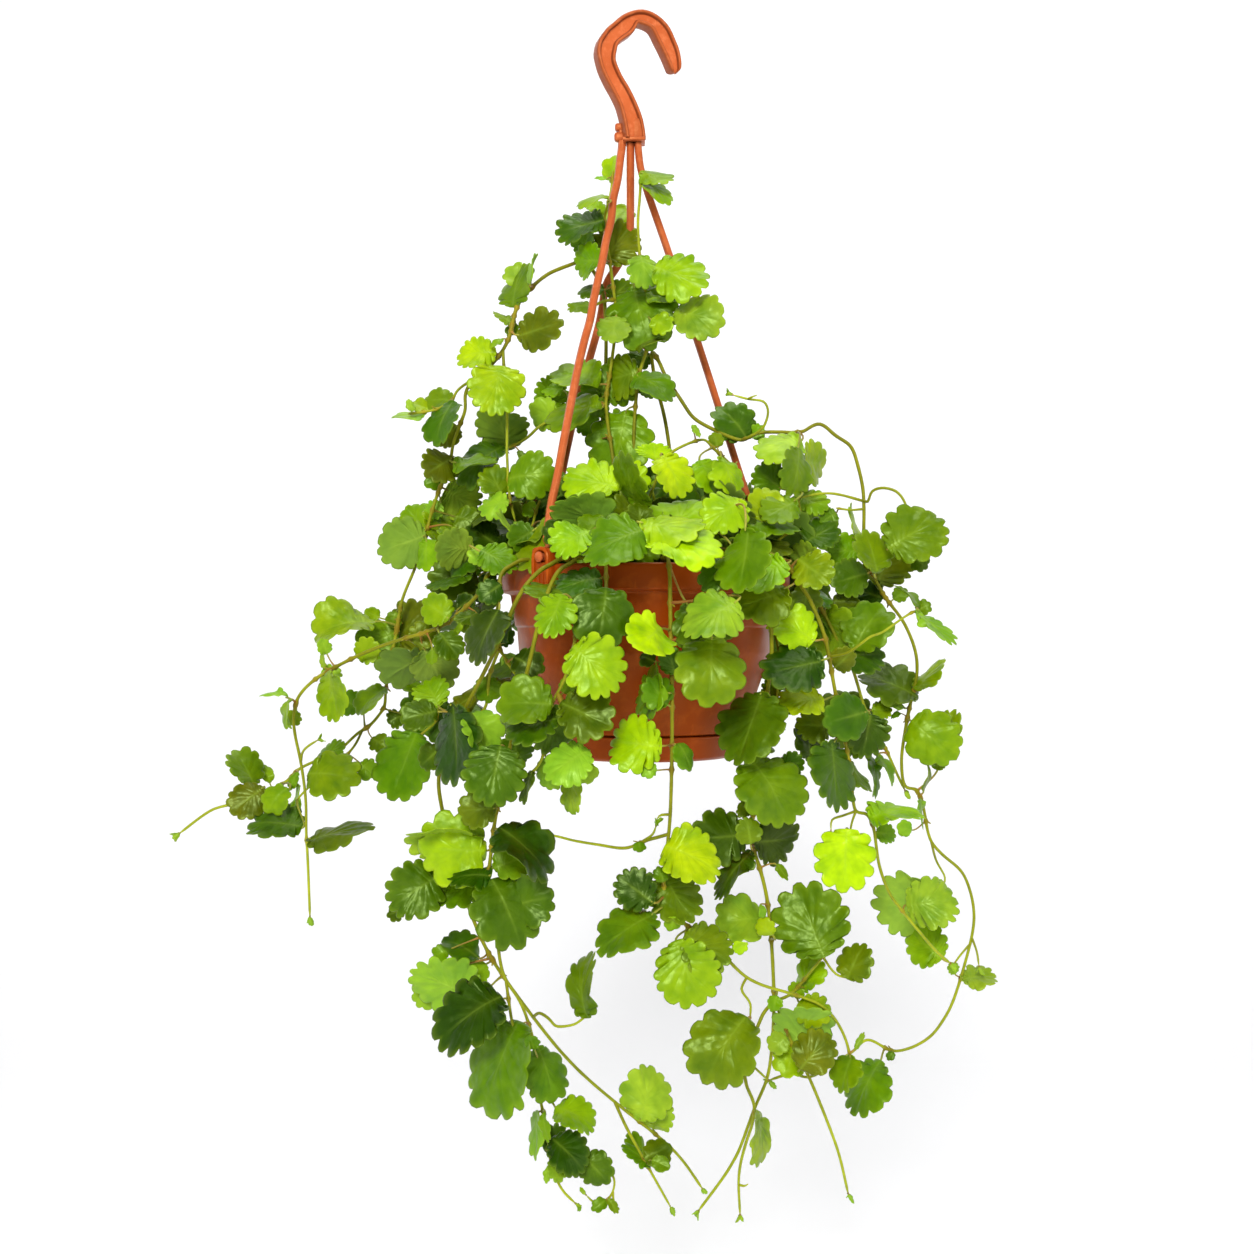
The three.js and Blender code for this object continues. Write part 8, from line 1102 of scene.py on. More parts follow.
def build_vine(name, stems, leaves, index):
    b = Builder()
    paths = []
    rng = np.random.RandomState(4000 + index)
    for s in stems:
        r0, r1 = 0.42 + s[0] / 100.0 * 0.52, 0.3 + s[1] / 100.0 * 0.62
        P = catmull(np.array(s[2:], float).reshape(-1, 3) / 10.0, 1.6)
        paths.append([P, r0, r1, []])
    placed = []
    for li, l in enumerate(leaves):
        si = l[0]
        a = np.array(l[1:4], float) / 10.0
        P = paths[si][0]
        d = np.linalg.norm(P - a, axis=1)
        k = int(d.argmin())
        paths[si][3].append(k)
        T = P[min(k + 1, len(P) - 1)] - P[max(k - 1, 0)]
        placed.append((l, P[k], unit(T)))
    green = np.array(srgb(156, 168, 36))
    olive = np.array(srgb(128, 130, 22))
    brown = np.array(srgb(132, 98, 28))
    for si, (P, r0, r1, at) in enumerate(paths):
        n = len(P)
        s = np.linspace(0, 1, n)
        ln = 1.6 * (n - 1)
        R = r0 + (r1 - r0) * s
        # small natural swelling
        R = R * (1 + 0.05 * np.sin(np.arange(n) * 0.9 + rng.uniform(0, 6)) * rng.uniform(0.4, 1))
        young = np.clip((s - 0.35) / 0.6, 0, 1)[:, None] if si == 0 else np.clip(s + 0.3, 0, 1)[:, None]
        vary = 0.5 + 0.5 * np.sin(np.arange(n) * 0.11 + rng.uniform(0, 6))[:, None]
        col = (olive * (1 - young) + green * young) * (0.88 + 0.2 * vary)
        # nodes: at each leaf
        marks = sorted(set(at))
        for k in marks:
            g = np.exp(-(((np.arange(n) - k) * 1.6 / 1.25) ** 2))
            R = np.maximum(R, (r0 + (r1 - r0) * s) * (1 + 0.75 * g))
            g2 = np.exp(-(((np.arange(n) - k) * 1.6 / 1.8) ** 2))[:, None] * 0.55
            col = col * (1 - g2) + brown * g2
        if n > 3:
            R[-1] *= 0.45
            R[-2] *= 0.8
        T, N, B = frames(P)
        tube(b, P, R, 8, 1, col, np.stack([np.full(n, 0.3), s, np.zeros(n), np.full(n, rng.uniform(0, 1))], 1))
        # leaf scars and stubs opposite the leaves
        for k in marks:
            if rng.uniform() < 0.55 and 2 < k < n - 3:
                a = rng.uniform(0, 2 * math.pi)
                dirn = unit(math.cos(a) * N[k] + math.sin(a) * B[k] + 0.5 * T[k])
                h = rng.uniform(1.4, 3.2)
                Q = P[k] + dirn * np.linspace(0, h, 4)[:, None] + T[k] * (np.linspace(0, 1, 4) ** 2 * 0.5)[:, None]
                tube(b, Q, np.array([0.62, 0.5, 0.42, 0.3]) * min(1.1, r0), 6, 1, brown * 0.6 + green * 0.4, (0.3, 0.5, 0, 0.5))
        # a bud of two or three small folded leaves at the growing end
        if n > 6 and not any(abs(k - (n - 1)) < 4 for k in marks):
            cnt = 2 if rng.uniform() < 0.6 else 3
            for c in range(cnt):
                a = 2 * math.pi * c / cnt + rng.uniform(-0.5, 0.5)
                side = math.cos(a) * N[-1] + math.sin(a) * B[-1]
                dirn = unit(T[-1] + side * rng.uniform(0.35, 0.8))
                l = rng.uniform(3.0, 5.5)
                add_leaf(b, P[-1] + dirn * 0.6, dirn * l, unit(T[-1] * 0.6 - side), l * rng.uniform(0.5, 0.75), "B", "N", rng, P[-1], T[-1])
    for (l, a, T) in placed:
        base = np.array(l[4:7], float) / 10.0
        L = np.array(l[7:10], float) / 10.0
        N = np.array(l[10:13], float) / 100.0
        add_leaf(b, base, L, N, l[13] / 10.0, l[14], l[15], np.random.RandomState(9000 + l[16]), a, T)
    return b


# ---------------------------------------------------------------- materials
def new_mat(name):
    m = bpy.data.materials.new(name)
    m.use_nodes = True
    nt = m.node_tree
    nt.nodes.clear()
    out = nt.nodes.new("ShaderNodeOutputMaterial")
    bs = nt.nodes.new("ShaderNodeBsdfPrincipled")
    nt.links.new(bs.outputs[0], out.inputs[0])
    return m, nt, bs, out


def node(nt, kind, **kw):
    n = nt.nodes.new(kind)
    for k, v in kw.items():
        setattr(n, k, v)
    return n


def math_node(nt, op, a, b=None, c=None, clamp=False):
    n = nt.nodes.new("ShaderNodeMath")
    n.operation = op
    n.use_clamp = clamp
    for i, v in enumerate((a, b, c)):
        if v is None:
            continue
        if isinstance(v, (int, float)):
            n.inputs[i].default_value = v
        else:
            nt.links.new(v, n.inputs[i])
    return n.outputs[0]


def ramp(nt, v, stops):
    n = nt.nodes.new("ShaderNodeValToRGB")
    nt.links.new(v, n.inputs[0])
    el = n.color_ramp.elements
    while len(el) < len(stops):
        el.new(0.5)
    for e, (p, c) in zip(el, stops):
        e.position = p
        e.color = (c, c, c, 1) if isinstance(c, (int, float)) else (*c, 1)
    return n.outputs[0]


def mix(nt, fac, a, b, kind="MIX"):
    n = nt.nodes.new("ShaderNodeMix")
    n.data_type = "RGBA"
    n.blend_type = kind
    for sock, v in ((n.inputs[0], fac), (n.inputs[6], a), (n.inputs[7], b)):
        if isinstance(v, (int, float)):
            sock.default_value = v
        elif isinstance(v, tuple):
            sock.default_value = (*v, 1)
        else:
            nt.links.new(v, sock)
    return n.outputs[2]


def noise(nt, vec, scale, detail=3.0, rough=0.55, dist=0.0):
    n = nt.nodes.new("ShaderNodeTexNoise")
    n.inputs["Scale"].default_value = scale
    n.inputs["Detail"].default_value = detail
    n.inputs["Roughness"].default_value = rough
    n.inputs["Distortion"].default_value = dist
    nt.links.new(vec, n.inputs["Vector"])
    return n.outputs[0]


def leaf_material():
    m, nt, bs, out = new_mat("hoya_leaf")
    tint = node(nt, "ShaderNodeAttribute", attribute_name="tint").outputs["Color"]
    att = node(nt, "ShaderNodeAttribute", attribute_name="detail")
    sep = node(nt, "ShaderNodeSeparateColor")
    nt.links.new(att.outputs["Color"], sep.inputs[0])
    phase, rho, under = sep.outputs[0], sep.outputs[1], sep.outputs[2]
    obj = node(nt, "ShaderNodeTexCoord").outputs["Object"]
    ph = math_node(nt, "MULTIPLY", phase, 16.0)
    fr = math_node(nt, "FRACT", ph)
    away = math_node(nt, "ABSOLUTE", math_node(nt, "SUBTRACT", fr, 0.5))
    wob = math_node(nt, "MULTIPLY", math_node(nt, "SUBTRACT", noise(nt, obj, 260.0, 0.0), 0.5), 0.22)
    spread = math_node(nt, "ADD", math_node(nt, "MULTIPLY", rho, 0.72), 0.28)
    dist = math_node(nt, "MULTIPLY", math_node(nt, "ABSOLUTE", math_node(nt, "ADD", away, wob)), spread)
    vein = ramp(nt, dist, [(0.0, 0.8), (0.03, 0.45), (0.07, 0.08), (0.12, 0.0)])
    open_ = ramp(nt, rho, [(0.0, 1.0), (0.55, 0.8), (1.0, 0.0)])
    vein = math_node(nt, "MULTIPLY", vein, open_)
    first = ramp(nt, ph, [(0.0, 0.0), (0.06, 0.0), (0.08, 1.0)])
    ribs = math_node(nt, "MULTIPLY", ramp(nt, att.outputs["Alpha"], [(0.0, 1.0), (0.012, 0.75), (0.03, 0.0)]), ramp(nt, rho, [(0.0, 1.0), (0.5, 0.6), (0.95, 0.0)]))
    vein = math_node(nt, "MAXIMUM", math_node(nt, "MULTIPLY", vein, first), ribs)
    # side veins: short slanted strokes off each main vein
    slant = math_node(nt, "ADD", math_node(nt, "MULTIPLY", rho, 7.0), math_node(nt, "MULTIPLY", away, -3.2))
    side = math_node(nt, "ABSOLUTE", math_node(nt, "SUBTRACT", math_node(nt, "FRACT", math_node(nt, "ADD", slant, math_node(nt, "MULTIPLY", wob, 1.6))), 0.5))
    side = ramp(nt, side, [(0.0, 0.35), (0.05, 0.16), (0.12, 0.0)])
    side = math_node(nt, "MULTIPLY", side, ramp(nt, rho, [(0.25, 0.0), (0.45, 1.0), (0.9, 0.6), (1.0, 0.0)]))
    veins = math_node(nt, "MAXIMUM", vein, math_node(nt, "MULTIPLY", side, 0.6))
    big = noise(nt, obj, 95.0, 2.0, 0.6)
    fine = noise(nt, obj, 620.0, 2.0, 0.6)
    light = mix(nt, 1.0, tint, (1.30, 1.20, 1.0), "MULTIPLY")
    dark = mix(nt, 1.0, tint, (0.62, 0.74, 0.62), "MULTIPLY")
    c = mix(nt, ramp(nt, big, [(0.28, 0.0), (0.72, 1.0)]), dark, light)
    c = mix(nt, ramp(nt, fine, [(0.35, 0.0), (0.75, 0.22)]), c, mix(nt, 1.0, c, (0.75, 0.84, 0.66), "MULTIPLY"))
    # paler towards the stalk and on the rim of the blade
    c = mix(nt, ramp(nt, rho, [(0.0, 0.20), (0.18, 0.05), (0.45, 0.0), (0.82, 0.0), (0.96, 0.22), (1.0, 0.40)]), c, mix(nt, 0.55, mix(nt, 1.0, c, (1.5, 1.35, 1.2), "MULTIPLY"), (0.40, 0.56, 0.03)))
    # darker along the veins: partly the veins' own tone, partly painted shade in their troughs
    c = mix(nt, math_node(nt, "MULTIPLY", veins, 0.30), c, mix(nt, 1.0, c, (0.62, 0.74, 0.6), "MULTIPLY"))
    c = mix(nt, math_node(nt, "MULTIPLY", math_node(nt, "MAXIMUM", ribs, math_node(nt, "MULTIPLY", vein, ramp(nt, rho, [(0.0, 0.2), (0.3, 0.0)]))), 0.30), c, mix(nt, 0.5, mix(nt, 1.0, c, (1.5, 1.4, 1.3), "MULTIPLY"), (0.34, 0.50, 0.06)))
    pale = mix(nt, 0.34, mix(nt, 1.0, c, (1.18, 1.12, 1.2), "MULTIPLY"), (0.24, 0.40, 0.07))
    pale = mix(nt, math_node(nt, "MULTIPLY", veins, 0.45), pale, mix(nt, 1.0, pale, (1.35, 1.25, 1.2), "MULTIPLY"))
    c = mix(nt, under, c, pale)
    nt.links.new(c, bs.inputs["Base Color"])
    r = math_node(nt, "ADD", math_node(nt, "MULTIPLY", fine, 0.16), 0.25)
    r = math_node(nt, "ADD", r, math_node(nt, "MULTIPLY", under, 0.26))
    nt.links.new(r, bs.inputs["Roughness"])
    bs.inputs["Specular IOR Level"].default_value = 0.46
    bs.inputs["Specular Tint"].default_value = (0.66, 0.90, 0.30, 1.0)
    h = math_node(nt, "ADD", math_node(nt, "MULTIPLY", veins, math_node(nt, "SUBTRACT", math_node(nt, "MULTIPLY", under, 1.3), 0.38)), math_node(nt, "MULTIPLY", fine, 0.55))
    bump = node(nt, "ShaderNodeBump")
    bump.inputs["Strength"].default_value = 0.5
    bump.inputs["Distance"].default_value = 0.00022
    nt.links.new(h, bump.inputs["Height"])
    # puckered blade: soft swellings between the veins
    pk = node(nt, "ShaderNodeBump")
    pk.inputs["Strength"].default_value = 0.75
    pk.inputs["Distance"].default_value = 0.0016
    nt.links.new(math_node(nt, "ADD", noise(nt, obj, 150.0, 1.0, 0.5), math_node(nt, "MULTIPLY", veins, -0.02)), pk.inputs["Height"])
    nt.links.new(pk.outputs[0], bump.inputs["Normal"])
    nt.links.new(bump.outputs[0], bs.inputs["Normal"])
    tr = node(nt, "ShaderNodeBsdfTranslucent")
    nt.links.new(mix(nt, 1.0, c, (1.15, 1.15, 0.55), "MULTIPLY"), tr.inputs["Color"])
    mx = node(nt, "ShaderNodeMixShader")
    mx.inputs[0].default_value = 0.16
    nt.links.new(bs.outputs[0], mx.inputs[1])
    nt.links.new(tr.outputs[0], mx.inputs[2])
    nt.links.new(mx.outputs[0], out.inputs[0])
    return m


def stem_material():
    m, nt, bs, out = new_mat("hoya_stem")
    tint = node(nt, "ShaderNodeAttribute", attribute_name="tint").outputs["Color"]
    obj = node(nt, "ShaderNodeTexCoord").outputs["Object"]
    big = noise(nt, obj, 70.0, 3.0, 0.6)
    fine = noise(nt, obj, 900.0, 4.0, 0.6)
    c = mix(nt, ramp(nt, big, [(0.3, 0.0), (0.7, 1.0)]), mix(nt, 1.0, tint, (0.66, 0.68, 0.62), "MULTIPLY"), mix(nt, 1.0, tint, (1.25, 1.2, 1.0), "MULTIPLY"))
    c = mix(nt, ramp(nt, fine, [(0.42, 0.0), (0.7, 0.45)]), c, mix(nt, 0.4, c, (0.10, 0.05, 0.012)))
    bs.inputs["Specular IOR Level"].default_value = 0.34
    bs.inputs["Specular Tint"].default_value = (0.9, 0.9, 0.3, 1.0)
    nt.links.new(c, bs.inputs["Base Color"])
    nt.links.new(math_node(nt, "ADD", math_node(nt, "MULTIPLY", fine, 0.2), 0.36), bs.inputs["Roughness"])
    bump = node(nt, "ShaderNodeBump")
    bump.inputs["Strength"].default_value = 0.6
    bump.inputs["Distance"].default_value = 0.0003
    nt.links.new(fine, bump.inputs["Height"])
    nt.links.new(bump.outputs[0], bs.inputs["Normal"])
    return m


def plastic_material(name, col, dark, light, rough=0.38, scale=1.0):
    m, nt, bs, out = new_mat(name)
    obj = node(nt, "ShaderNodeTexCoord").outputs["Object"]
    big = noise(nt, obj, 22.0 * scale, 3.0, 0.55)
    mid = noise(nt, obj, 140.0 * scale, 4.0, 0.6)
    grain = noise(nt, obj, 1500.0, 3.0, 0.6)
    c = mix(nt, ramp(nt, big, [(0.3, 0.0), (0.7, 1.0)]), dark, col)
    c = mix(nt, ramp(nt, mid, [(0.5, 0.0), (0.78, 0.5)]), c, light)
    # scuffs: thin pale scratches
    mp = node(nt, "ShaderNodeMapping")
    mp.inputs["Scale"].default_value = (1.0, 1.0, 0.12)
    mp.inputs["Rotation"].default_value = (0.3, 0.5, 0.2)
    nt.links.new(obj, mp.inputs["Vector"])
    sc = noise(nt, mp.outputs[0], 420.0, 2.0, 0.5)
    sc = ramp(nt, sc, [(0.66, 0.0), (0.72, 0.30)])
    c = mix(nt, sc, c, light)
    tone = node(nt, "ShaderNodeAttribute", attribute_name="tint").outputs["Color"]
    c = mix(nt, 1.0, c, tone, "MULTIPLY")
    bs.inputs["Specular IOR Level"].default_value = 0.42
    bs.inputs["Specular Tint"].default_value = (1.0, 0.50, 0.20, 1.0)
    nt.links.new(c, bs.inputs["Base Color"])
    r = math_node(nt, "ADD", math_node(nt, "MULTIPLY", mid, 0.16), rough - 0.08)
    nt.links.new(math_node(nt, "ADD", r, math_node(nt, "MULTIPLY", sc, 0.3)), bs.inputs["Roughness"])
    h = math_node(nt, "ADD", grain, math_node(nt, "MULTIPLY", mid, 0.8))
    bump = node(nt, "ShaderNodeBump")
    bump.inputs["Strength"].default_value = 0.28
    bump.inputs["Distance"].default_value = 0.00018
    nt.links.new(h, bump.inputs["Height"])
    nt.links.new(bump.outputs[0], bs.inputs["Normal"])
    return m


def soil_material():
    m, nt, bs, out = new_mat("potting_soil")
    obj = node(nt, "ShaderNodeTexCoord").outputs["Object"]
    a = noise(nt, obj, 160.0, 5.0, 0.7)
    c = ramp(nt, a, [(0.3, (0.012, 0.007, 0.004)), (0.52, (0.040, 0.022, 0.012)), (0.75, (0.10, 0.058, 0.030))])
    v = node(nt, "ShaderNodeTexVoronoi")
    v.inputs["Scale"].default_value = 210.0
    nt.links.new(obj, v.inputs["Vector"])
    speck = ramp(nt, v.outputs["Distance"], [(0.10, 1.0), (0.16, 0.0)])
    few = ramp(nt, noise(nt, obj, 90.0, 1.0), [(0.60, 0.0), (0.64, 1.0)])
    c = mix(nt, math_node(nt, "MULTIPLY", speck, few), c, (0.62, 0.58, 0.50))
    nt.links.new(c, bs.inputs["Base Color"])
    nt.links.new(math_node(nt, "ADD", math_node(nt, "MULTIPLY", a, 0.2), 0.78), bs.inputs["Roughness"])
    bump = node(nt, "ShaderNodeBump")
    bump.inputs["Strength"].default_value = 0.9
    bump.inputs["Distance"].default_value = 0.0012
    nt.links.new(a, bump.inputs["Height"])
    nt.links.new(bump.outputs[0], bs.inputs["Normal"])
    return m


LEAF = leaf_material()
STEM = stem_material()
POT_M = plastic_material("terracotta_plastic_pot", (0.37, 0.056, 0.002), (0.24, 0.033, 0.001), (0.54, 0.105, 0.008), 0.32)
HANG_M = plastic_material("terracotta_plastic_hanger", (0.52, 0.115, 0.034), (0.40, 0.078, 0.020), (0.68, 0.22, 0.09), 0.36, 2.0)
SAUC_M = plastic_material("terracotta_plastic_saucer", (0.34, 0.048, 0.002), (0.24, 0.032, 0.001), (0.46, 0.08, 0.008), 0.36)
SOIL_M = soil_material()


def finish_piece(ob, node_names):
    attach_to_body(ob, "root")
    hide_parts(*node_names)
    return ob


# ---------------------------------------------------------------- foliage
for index, (name, stems, leaves) in enumerate(VINES):
    ob = build_vine(name, stems, leaves, index).make(name + "_foliage", [LEAF, STEM])
    finish_piece(ob, [name])

PLAIN = (1.0, 1.0, 1.0)
# ---------------------------------------------------------------- pot, saucer and soil
AXIS_X = 1.5


def fillet(profile, radius, steps=3):
    """Rounds the corners of an open profile."""
    P = [np.array(p, float) for p in profile]
    out = [P[0]]
    for i in range(1, len(P) - 1):
        a, p, c = P[i - 1], P[i], P[i + 1]
        la, lc = np.linalg.norm(a - p), np.linalg.norm(c - p)
        d = min(radius, 0.42 * la, 0.42 * lc)
        u, w = p + (a - p) / la * d, p + (c - p) / lc * d
        for k in range(steps + 1):
            t = k / steps
            out.append((1 - t) ** 2 * u + 2 * (1 - t) * t * p + t * t * w)
    out.append(P[-1])
    return np.array(out)


def lathe(b, prof, seg, mat=0, wobble=None):
    """A closed turned body. The profile starts and ends on the axis."""
    n = len(prof)
    a = np.arange(seg) * 2 * math.pi / seg
    r, z = prof[1:-1, 0], prof[1:-1, 1]
    rr = np.repeat(r[:, None], seg, 1)
    zz = np.repeat(z[:, None], seg, 1)
    if wobble is not None:
        rr = rr * (1 + wobble(a[None, :], zz))
    v = np.stack([AXIS_X + rr * np.cos(a), rr * np.sin(a), zz], -1).reshape(-1, 3)
    m = n - 2
    i = np.arange(m - 1)[:, None] * seg
    j = np.arange(seg)[None]
    jn = (j + 1) % seg
    q = np.stack([i + j, i + jn, i + seg + jn, i + seg + j], -1).reshape(-1, 4)
    s = np.vstack([v, [AXIS_X, 0, prof[0, 1]], [AXIS_X, 0, prof[-1, 1]]])
    j = np.arange(seg)
    jn = (j + 1) % seg
    t0 = np.stack([np.full(seg, m * seg), jn, j], 1)
    t1 = np.stack([np.full(seg, m * seg + 1), (m - 1) * seg + j, (m - 1) * seg + jn], 1)
    base = b.n
    b.add(s, q, mat, PLAIN, (0, 0, 0, 0))
    b.f.append(np.vstack([t0, t1]) + base)
    b.m.append(np.full(2 * seg, mat, int))


def turned(points, R):
    """Rotates xyz rows about Z by R degrees."""
    c, s = math.cos(math.radians(R)), math.sin(math.radians(R))
    p = np.asarray(points, float)
    return np.stack([c * p[..., 0] - s * p[..., 1], s * p[..., 0] + c * p[..., 1], p[..., 2]], -1)


def slab(b, loop_out, loop_in, y0, y1, bev, place, mat=0):
    """A plate with a hole: two matching loops (x, z), from y0 (outer face) to y1, edges rounded by bev. place: maps xyz rows."""
    n = len(loop_out)
    o, i = np.asarray(loop_out, float), np.asarray(loop_in, float)
    co, ci = o.mean(0), i.mean(0)

    def grow(l, c, d):
        t = np.roll(l, -1, 0) - np.roll(l, 1, 0)
        nrm = np.stack([t[:, 1], -t[:, 0]], 1)
        nrm /= np.linalg.norm(nrm, axis=1, keepdims=True)
        if ((l - c) * nrm).sum() < 0:
            nrm = -nrm
        return l + nrm * d

    rings = []
    for l, y in (
        (grow(o, co, -bev), y0), (grow(o, co, -bev * 0.3), y0 + bev * 0.3), (o, y0 + bev), (o, y1 - bev * 0.5), (grow(o, co, -bev * 0.5), y1),
        (grow(i, ci, bev * 0.5), y1), (i, y1 - bev * 0.5), (i, y0 + bev), (grow(i, ci, bev * 0.3), y0 + bev * 0.3), (grow(i, ci, bev), y0),
    ):
        rings.append(np.stack([l[:, 0], np.full(n, y), l[:, 1]], 1))
    v = np.vstack(rings)
    m = len(rings)
    q = []
    j = np.arange(n)
    jn = (j + 1) % n
    for k in range(m):
        a0, a1 = k * n, ((k + 1) % m) * n
        q.append(np.stack([a0 + j, a0 + jn, a1 + jn, a1 + j], 1))
    q = np.vstack(q)
    # outward: test by volume
    t = np.vstack([q[:, :3], q[:, [0, 2, 3]]])
    vol = np.einsum("ij,ij->i", v[t[:, 0]], np.cross(v[t[:, 1]], v[t[:, 2]])).sum()
    w = place(v)
    t2 = np.einsum("ij,ij->i", w[t[:, 0]] - w[0], np.cross(w[t[:, 1]] - w[0], w[t[:, 2]] - w[0])).sum()
    if t2 < 0:
        q = q[:, ::-1]
    b.add(w, q, mat, PLAIN, (0, 0, 0, 0))


def rounded_rect(w, h, r, n, cx=0.0, cz=0.0):
    """n points a side round a rounded rectangle, corners rounded by r."""
    pts = []
    for k, (sx, sz) in enumerate(((1, -1), (1, 1), (-1, 1), (-1, -1))):
        for i in range(n + 1):
            a = -math.pi / 2 + k * math.pi / 2 + math.pi / 2 * i / n
            pts.append((cx + sx * (w / 2 - r) + r * math.cos(a), cz + sz * (h / 2 - r) + r * math.sin(a)))
    return np.array(pts)


def block(b, w, d, h, c, bev, place, mat=0, taper=1.0):
    """A box with rounded edges, its top scaled by taper."""
    bm = bmesh.new()
    bmesh.ops.create_cube(bm, size=1.0)
    for v in bm.verts:
        k = taper if v.co.z > 0 else 1.0
        v.co = Vector((v.co.x * w * k, v.co.y * d * k, v.co.z * h))
    bmesh.ops.bevel(bm, geom=list(bm.edges) + list(bm.verts), offset=bev, segments=3, profile=0.5, affect="EDGES")
    bm.verts.ensure_lookup_table()
    v = np.array([x.co for x in bm.verts]) + np.array(c, float)
    v = place(v)
    base = b.n
    by = {}
    for f in bm.faces:
        by.setdefault(len(f.verts), []).append([x.index for x in f.verts])
    bm.free()
    first = True
    for k, fs in by.items():
        if first:
            b.add(v, np.array(fs), mat, PLAIN, (0, 0, 0, 0))
            first = False
        else:
            b.f.append(np.array(fs) + base)
            b.m.append(np.full(len(fs), mat, int))


def holes(ob, cutters):
    """Cuts round holes, then applies."""
    for k, (x, y, z, r, depth) in enumerate(cutters):
        bm = bmesh.new()
        bmesh.ops.create_cone(bm, cap_ends=True, segments=24, radius1=r, radius2=r, depth=depth)
        me = bpy.data.meshes.new("cut")
        bm.to_mesh(me)
        bm.free()
        c = bpy.data.objects.new("cut", me)
        c.location = (x, y, z)
        bpy.context.scene.collection.objects.link(c)
        m = ob.modifiers.new("cut", "BOOLEAN")
        m.operation, m.object, m.solver = "DIFFERENCE", c, "EXACT"
        bpy.context.view_layer.update()
        dg = bpy.context.evaluated_depsgraph_get()
        new = bpy.data.meshes.new_from_object(ob.evaluated_get(dg))
        ob.modifiers.clear()
        old = ob.data
        ob.data = new
        bpy.data.objects.remove(c)
        bpy.data.meshes.remove(me)
        name = old.name
        bpy.data.meshes.remove(old)
        new.name = name


def sharpen(ob, deg=34):
    ob.data.set_sharp_from_angle(angle=math.radians(deg))


POT = [(0, -375.8), (47.4, -375.8), (48.8, -365.3), (51.2, -364.9), (58.2, -344.8), (65.3, -325), (66.2, -312.2), (67.3, -311.4), (69.6, -295.4),
       (74.7, -294.2), (74.9, -293.2), (74.9, -282.9), (74.0, -281.7), (72.2, -282.1), (71.7, -293.6), (67.5, -295.6), (65.2, -311.6), (63.9, -313.2),
       (63.1, -325.4), (56, -345.4), (49.2, -365.5), (46.9, -367.5), (45.4, -373.6), (0, -373.6)]
SAUCER = [(0, -378), (46.6, -378), (48.2, -376.6), (50.9, -366.9), (51.4, -366.1), (51, -365.7), (49.9, -365.7), (49.7, -366.9), (48.2, -376.2), (0, -376.2)]
SOIL = [(0, -373.2), (45, -373.2), (46.5, -367.5), (48.7, -365.3), (55.5, -345.2), (62.6, -325.2), (63.4, -313.2), (64.7, -311.4), (67, -295.5), (71, -293.1), (71.2, -289), (0, -289)]
LUGS = (-40.5, -136.0, 112.0)


def lug_place(deg):
    def f(v):
        w = turned(v, deg)
        w[..., 0] += AXIS_X
        return w
    return f


b = Builder()
lathe(b, fillet(POT, 1.1, 4), 168)
for deg in LUGS:
    outer = rounded_rect(12.4, 24.8, 2.2, 8, 0, (-273.8 - 298.6) / 2)
    inner = rounded_rect(5.2, 5.2, 1.2, 8, 0, -278.5)
    slab(b, outer, inner, -77.7, -73.7, 0.7, lug_place(deg))
    # a raised bead round the lug, tinted paler and bluer as a painted highlight, and two fine ribs below its hole
    arch = [(-4.7, -297.2), (-4.7, -292.0), (-4.7, -286.0), (-4.7, -281.0)] + [(-4.7 * math.cos(t), -278.9 + 4.4 * math.sin(t)) for t in np.linspace(0.15, math.pi - 0.15, 11)] + [(4.7, -281.0), (4.7, -286.0), (4.7, -292.0), (4.7, -297.2)]
    P = lug_place(deg)(np.array([(x, -77.9, z) for x, z in arch]))
    tube(b, P, 1.0, 10, 0, (1.25, 1.3, 1.4), (0, 0, 0, 0))
    for x in (-1.25, 1.25):
        z = np.linspace(-283.4, -297.0, 8)
        P = lug_place(deg)(np.stack([np.full(8, x), np.full(8, -77.75), z], 1))
        tube(b, P, 0.55, 8, 0, PLAIN, (0, 0, 0, 0))
pot = b.make("flowerpot", [POT_M])
holes(pot, [((AXIS_X + 30 * math.cos(math.pi / 4 + k * math.pi / 2)) * MM, 30 * math.sin(math.pi / 4 + k * math.pi / 2) * MM, -0.3747, 0.004, 0.008) for k in range(4)])
sharpen(pot)
finish_piece(pot, ["pot"])

b = Builder()
lathe(b, fillet(SAUCER, 0.6, 3), 160)
sau = b.make("saucer", [SAUC_M])
sharpen(sau)
finish_piece(sau, ["drip_saucer"])

# soil: a body with a crumbly top
rs = np.random.RandomState(77)
b = Builder()
prof = [np.array(p, float) for p in SOIL[:-1]]
top = [np.array((r, -289.0)) for r in np.linspace(69.5, 1.5, 40)]
prof = np.array(prof + top + [np.array((0, -289.0))])
lathe(b, prof, 150)
v = b.v[0]
on = v[:, 2] > -289.5
x, y = v[:, 0] - AXIS_X, v[:, 1]
rad = np.hypot(x, y)
h = np.zeros(len(v))
for k in range(46):
    f = rs.uniform(0.08, 1.1)
    a = rs.uniform(0, 2 * math.pi)
    h += 0.22 / (0.25 + f) * np.sin(f * (x * math.cos(a) + y * math.sin(a)) + rs.uniform(0, 6.3)) * 0.55
h = h + rs.normal(0, 0.22, len(v))
edge = np.clip((71.2 - rad) / 4.0, 0, 1)
v[:, 2] += np.where(on, (h * 0.9 + 0.6) * edge, 0)
top_at = np.c_[x[on], y[on], v[on, 2]]
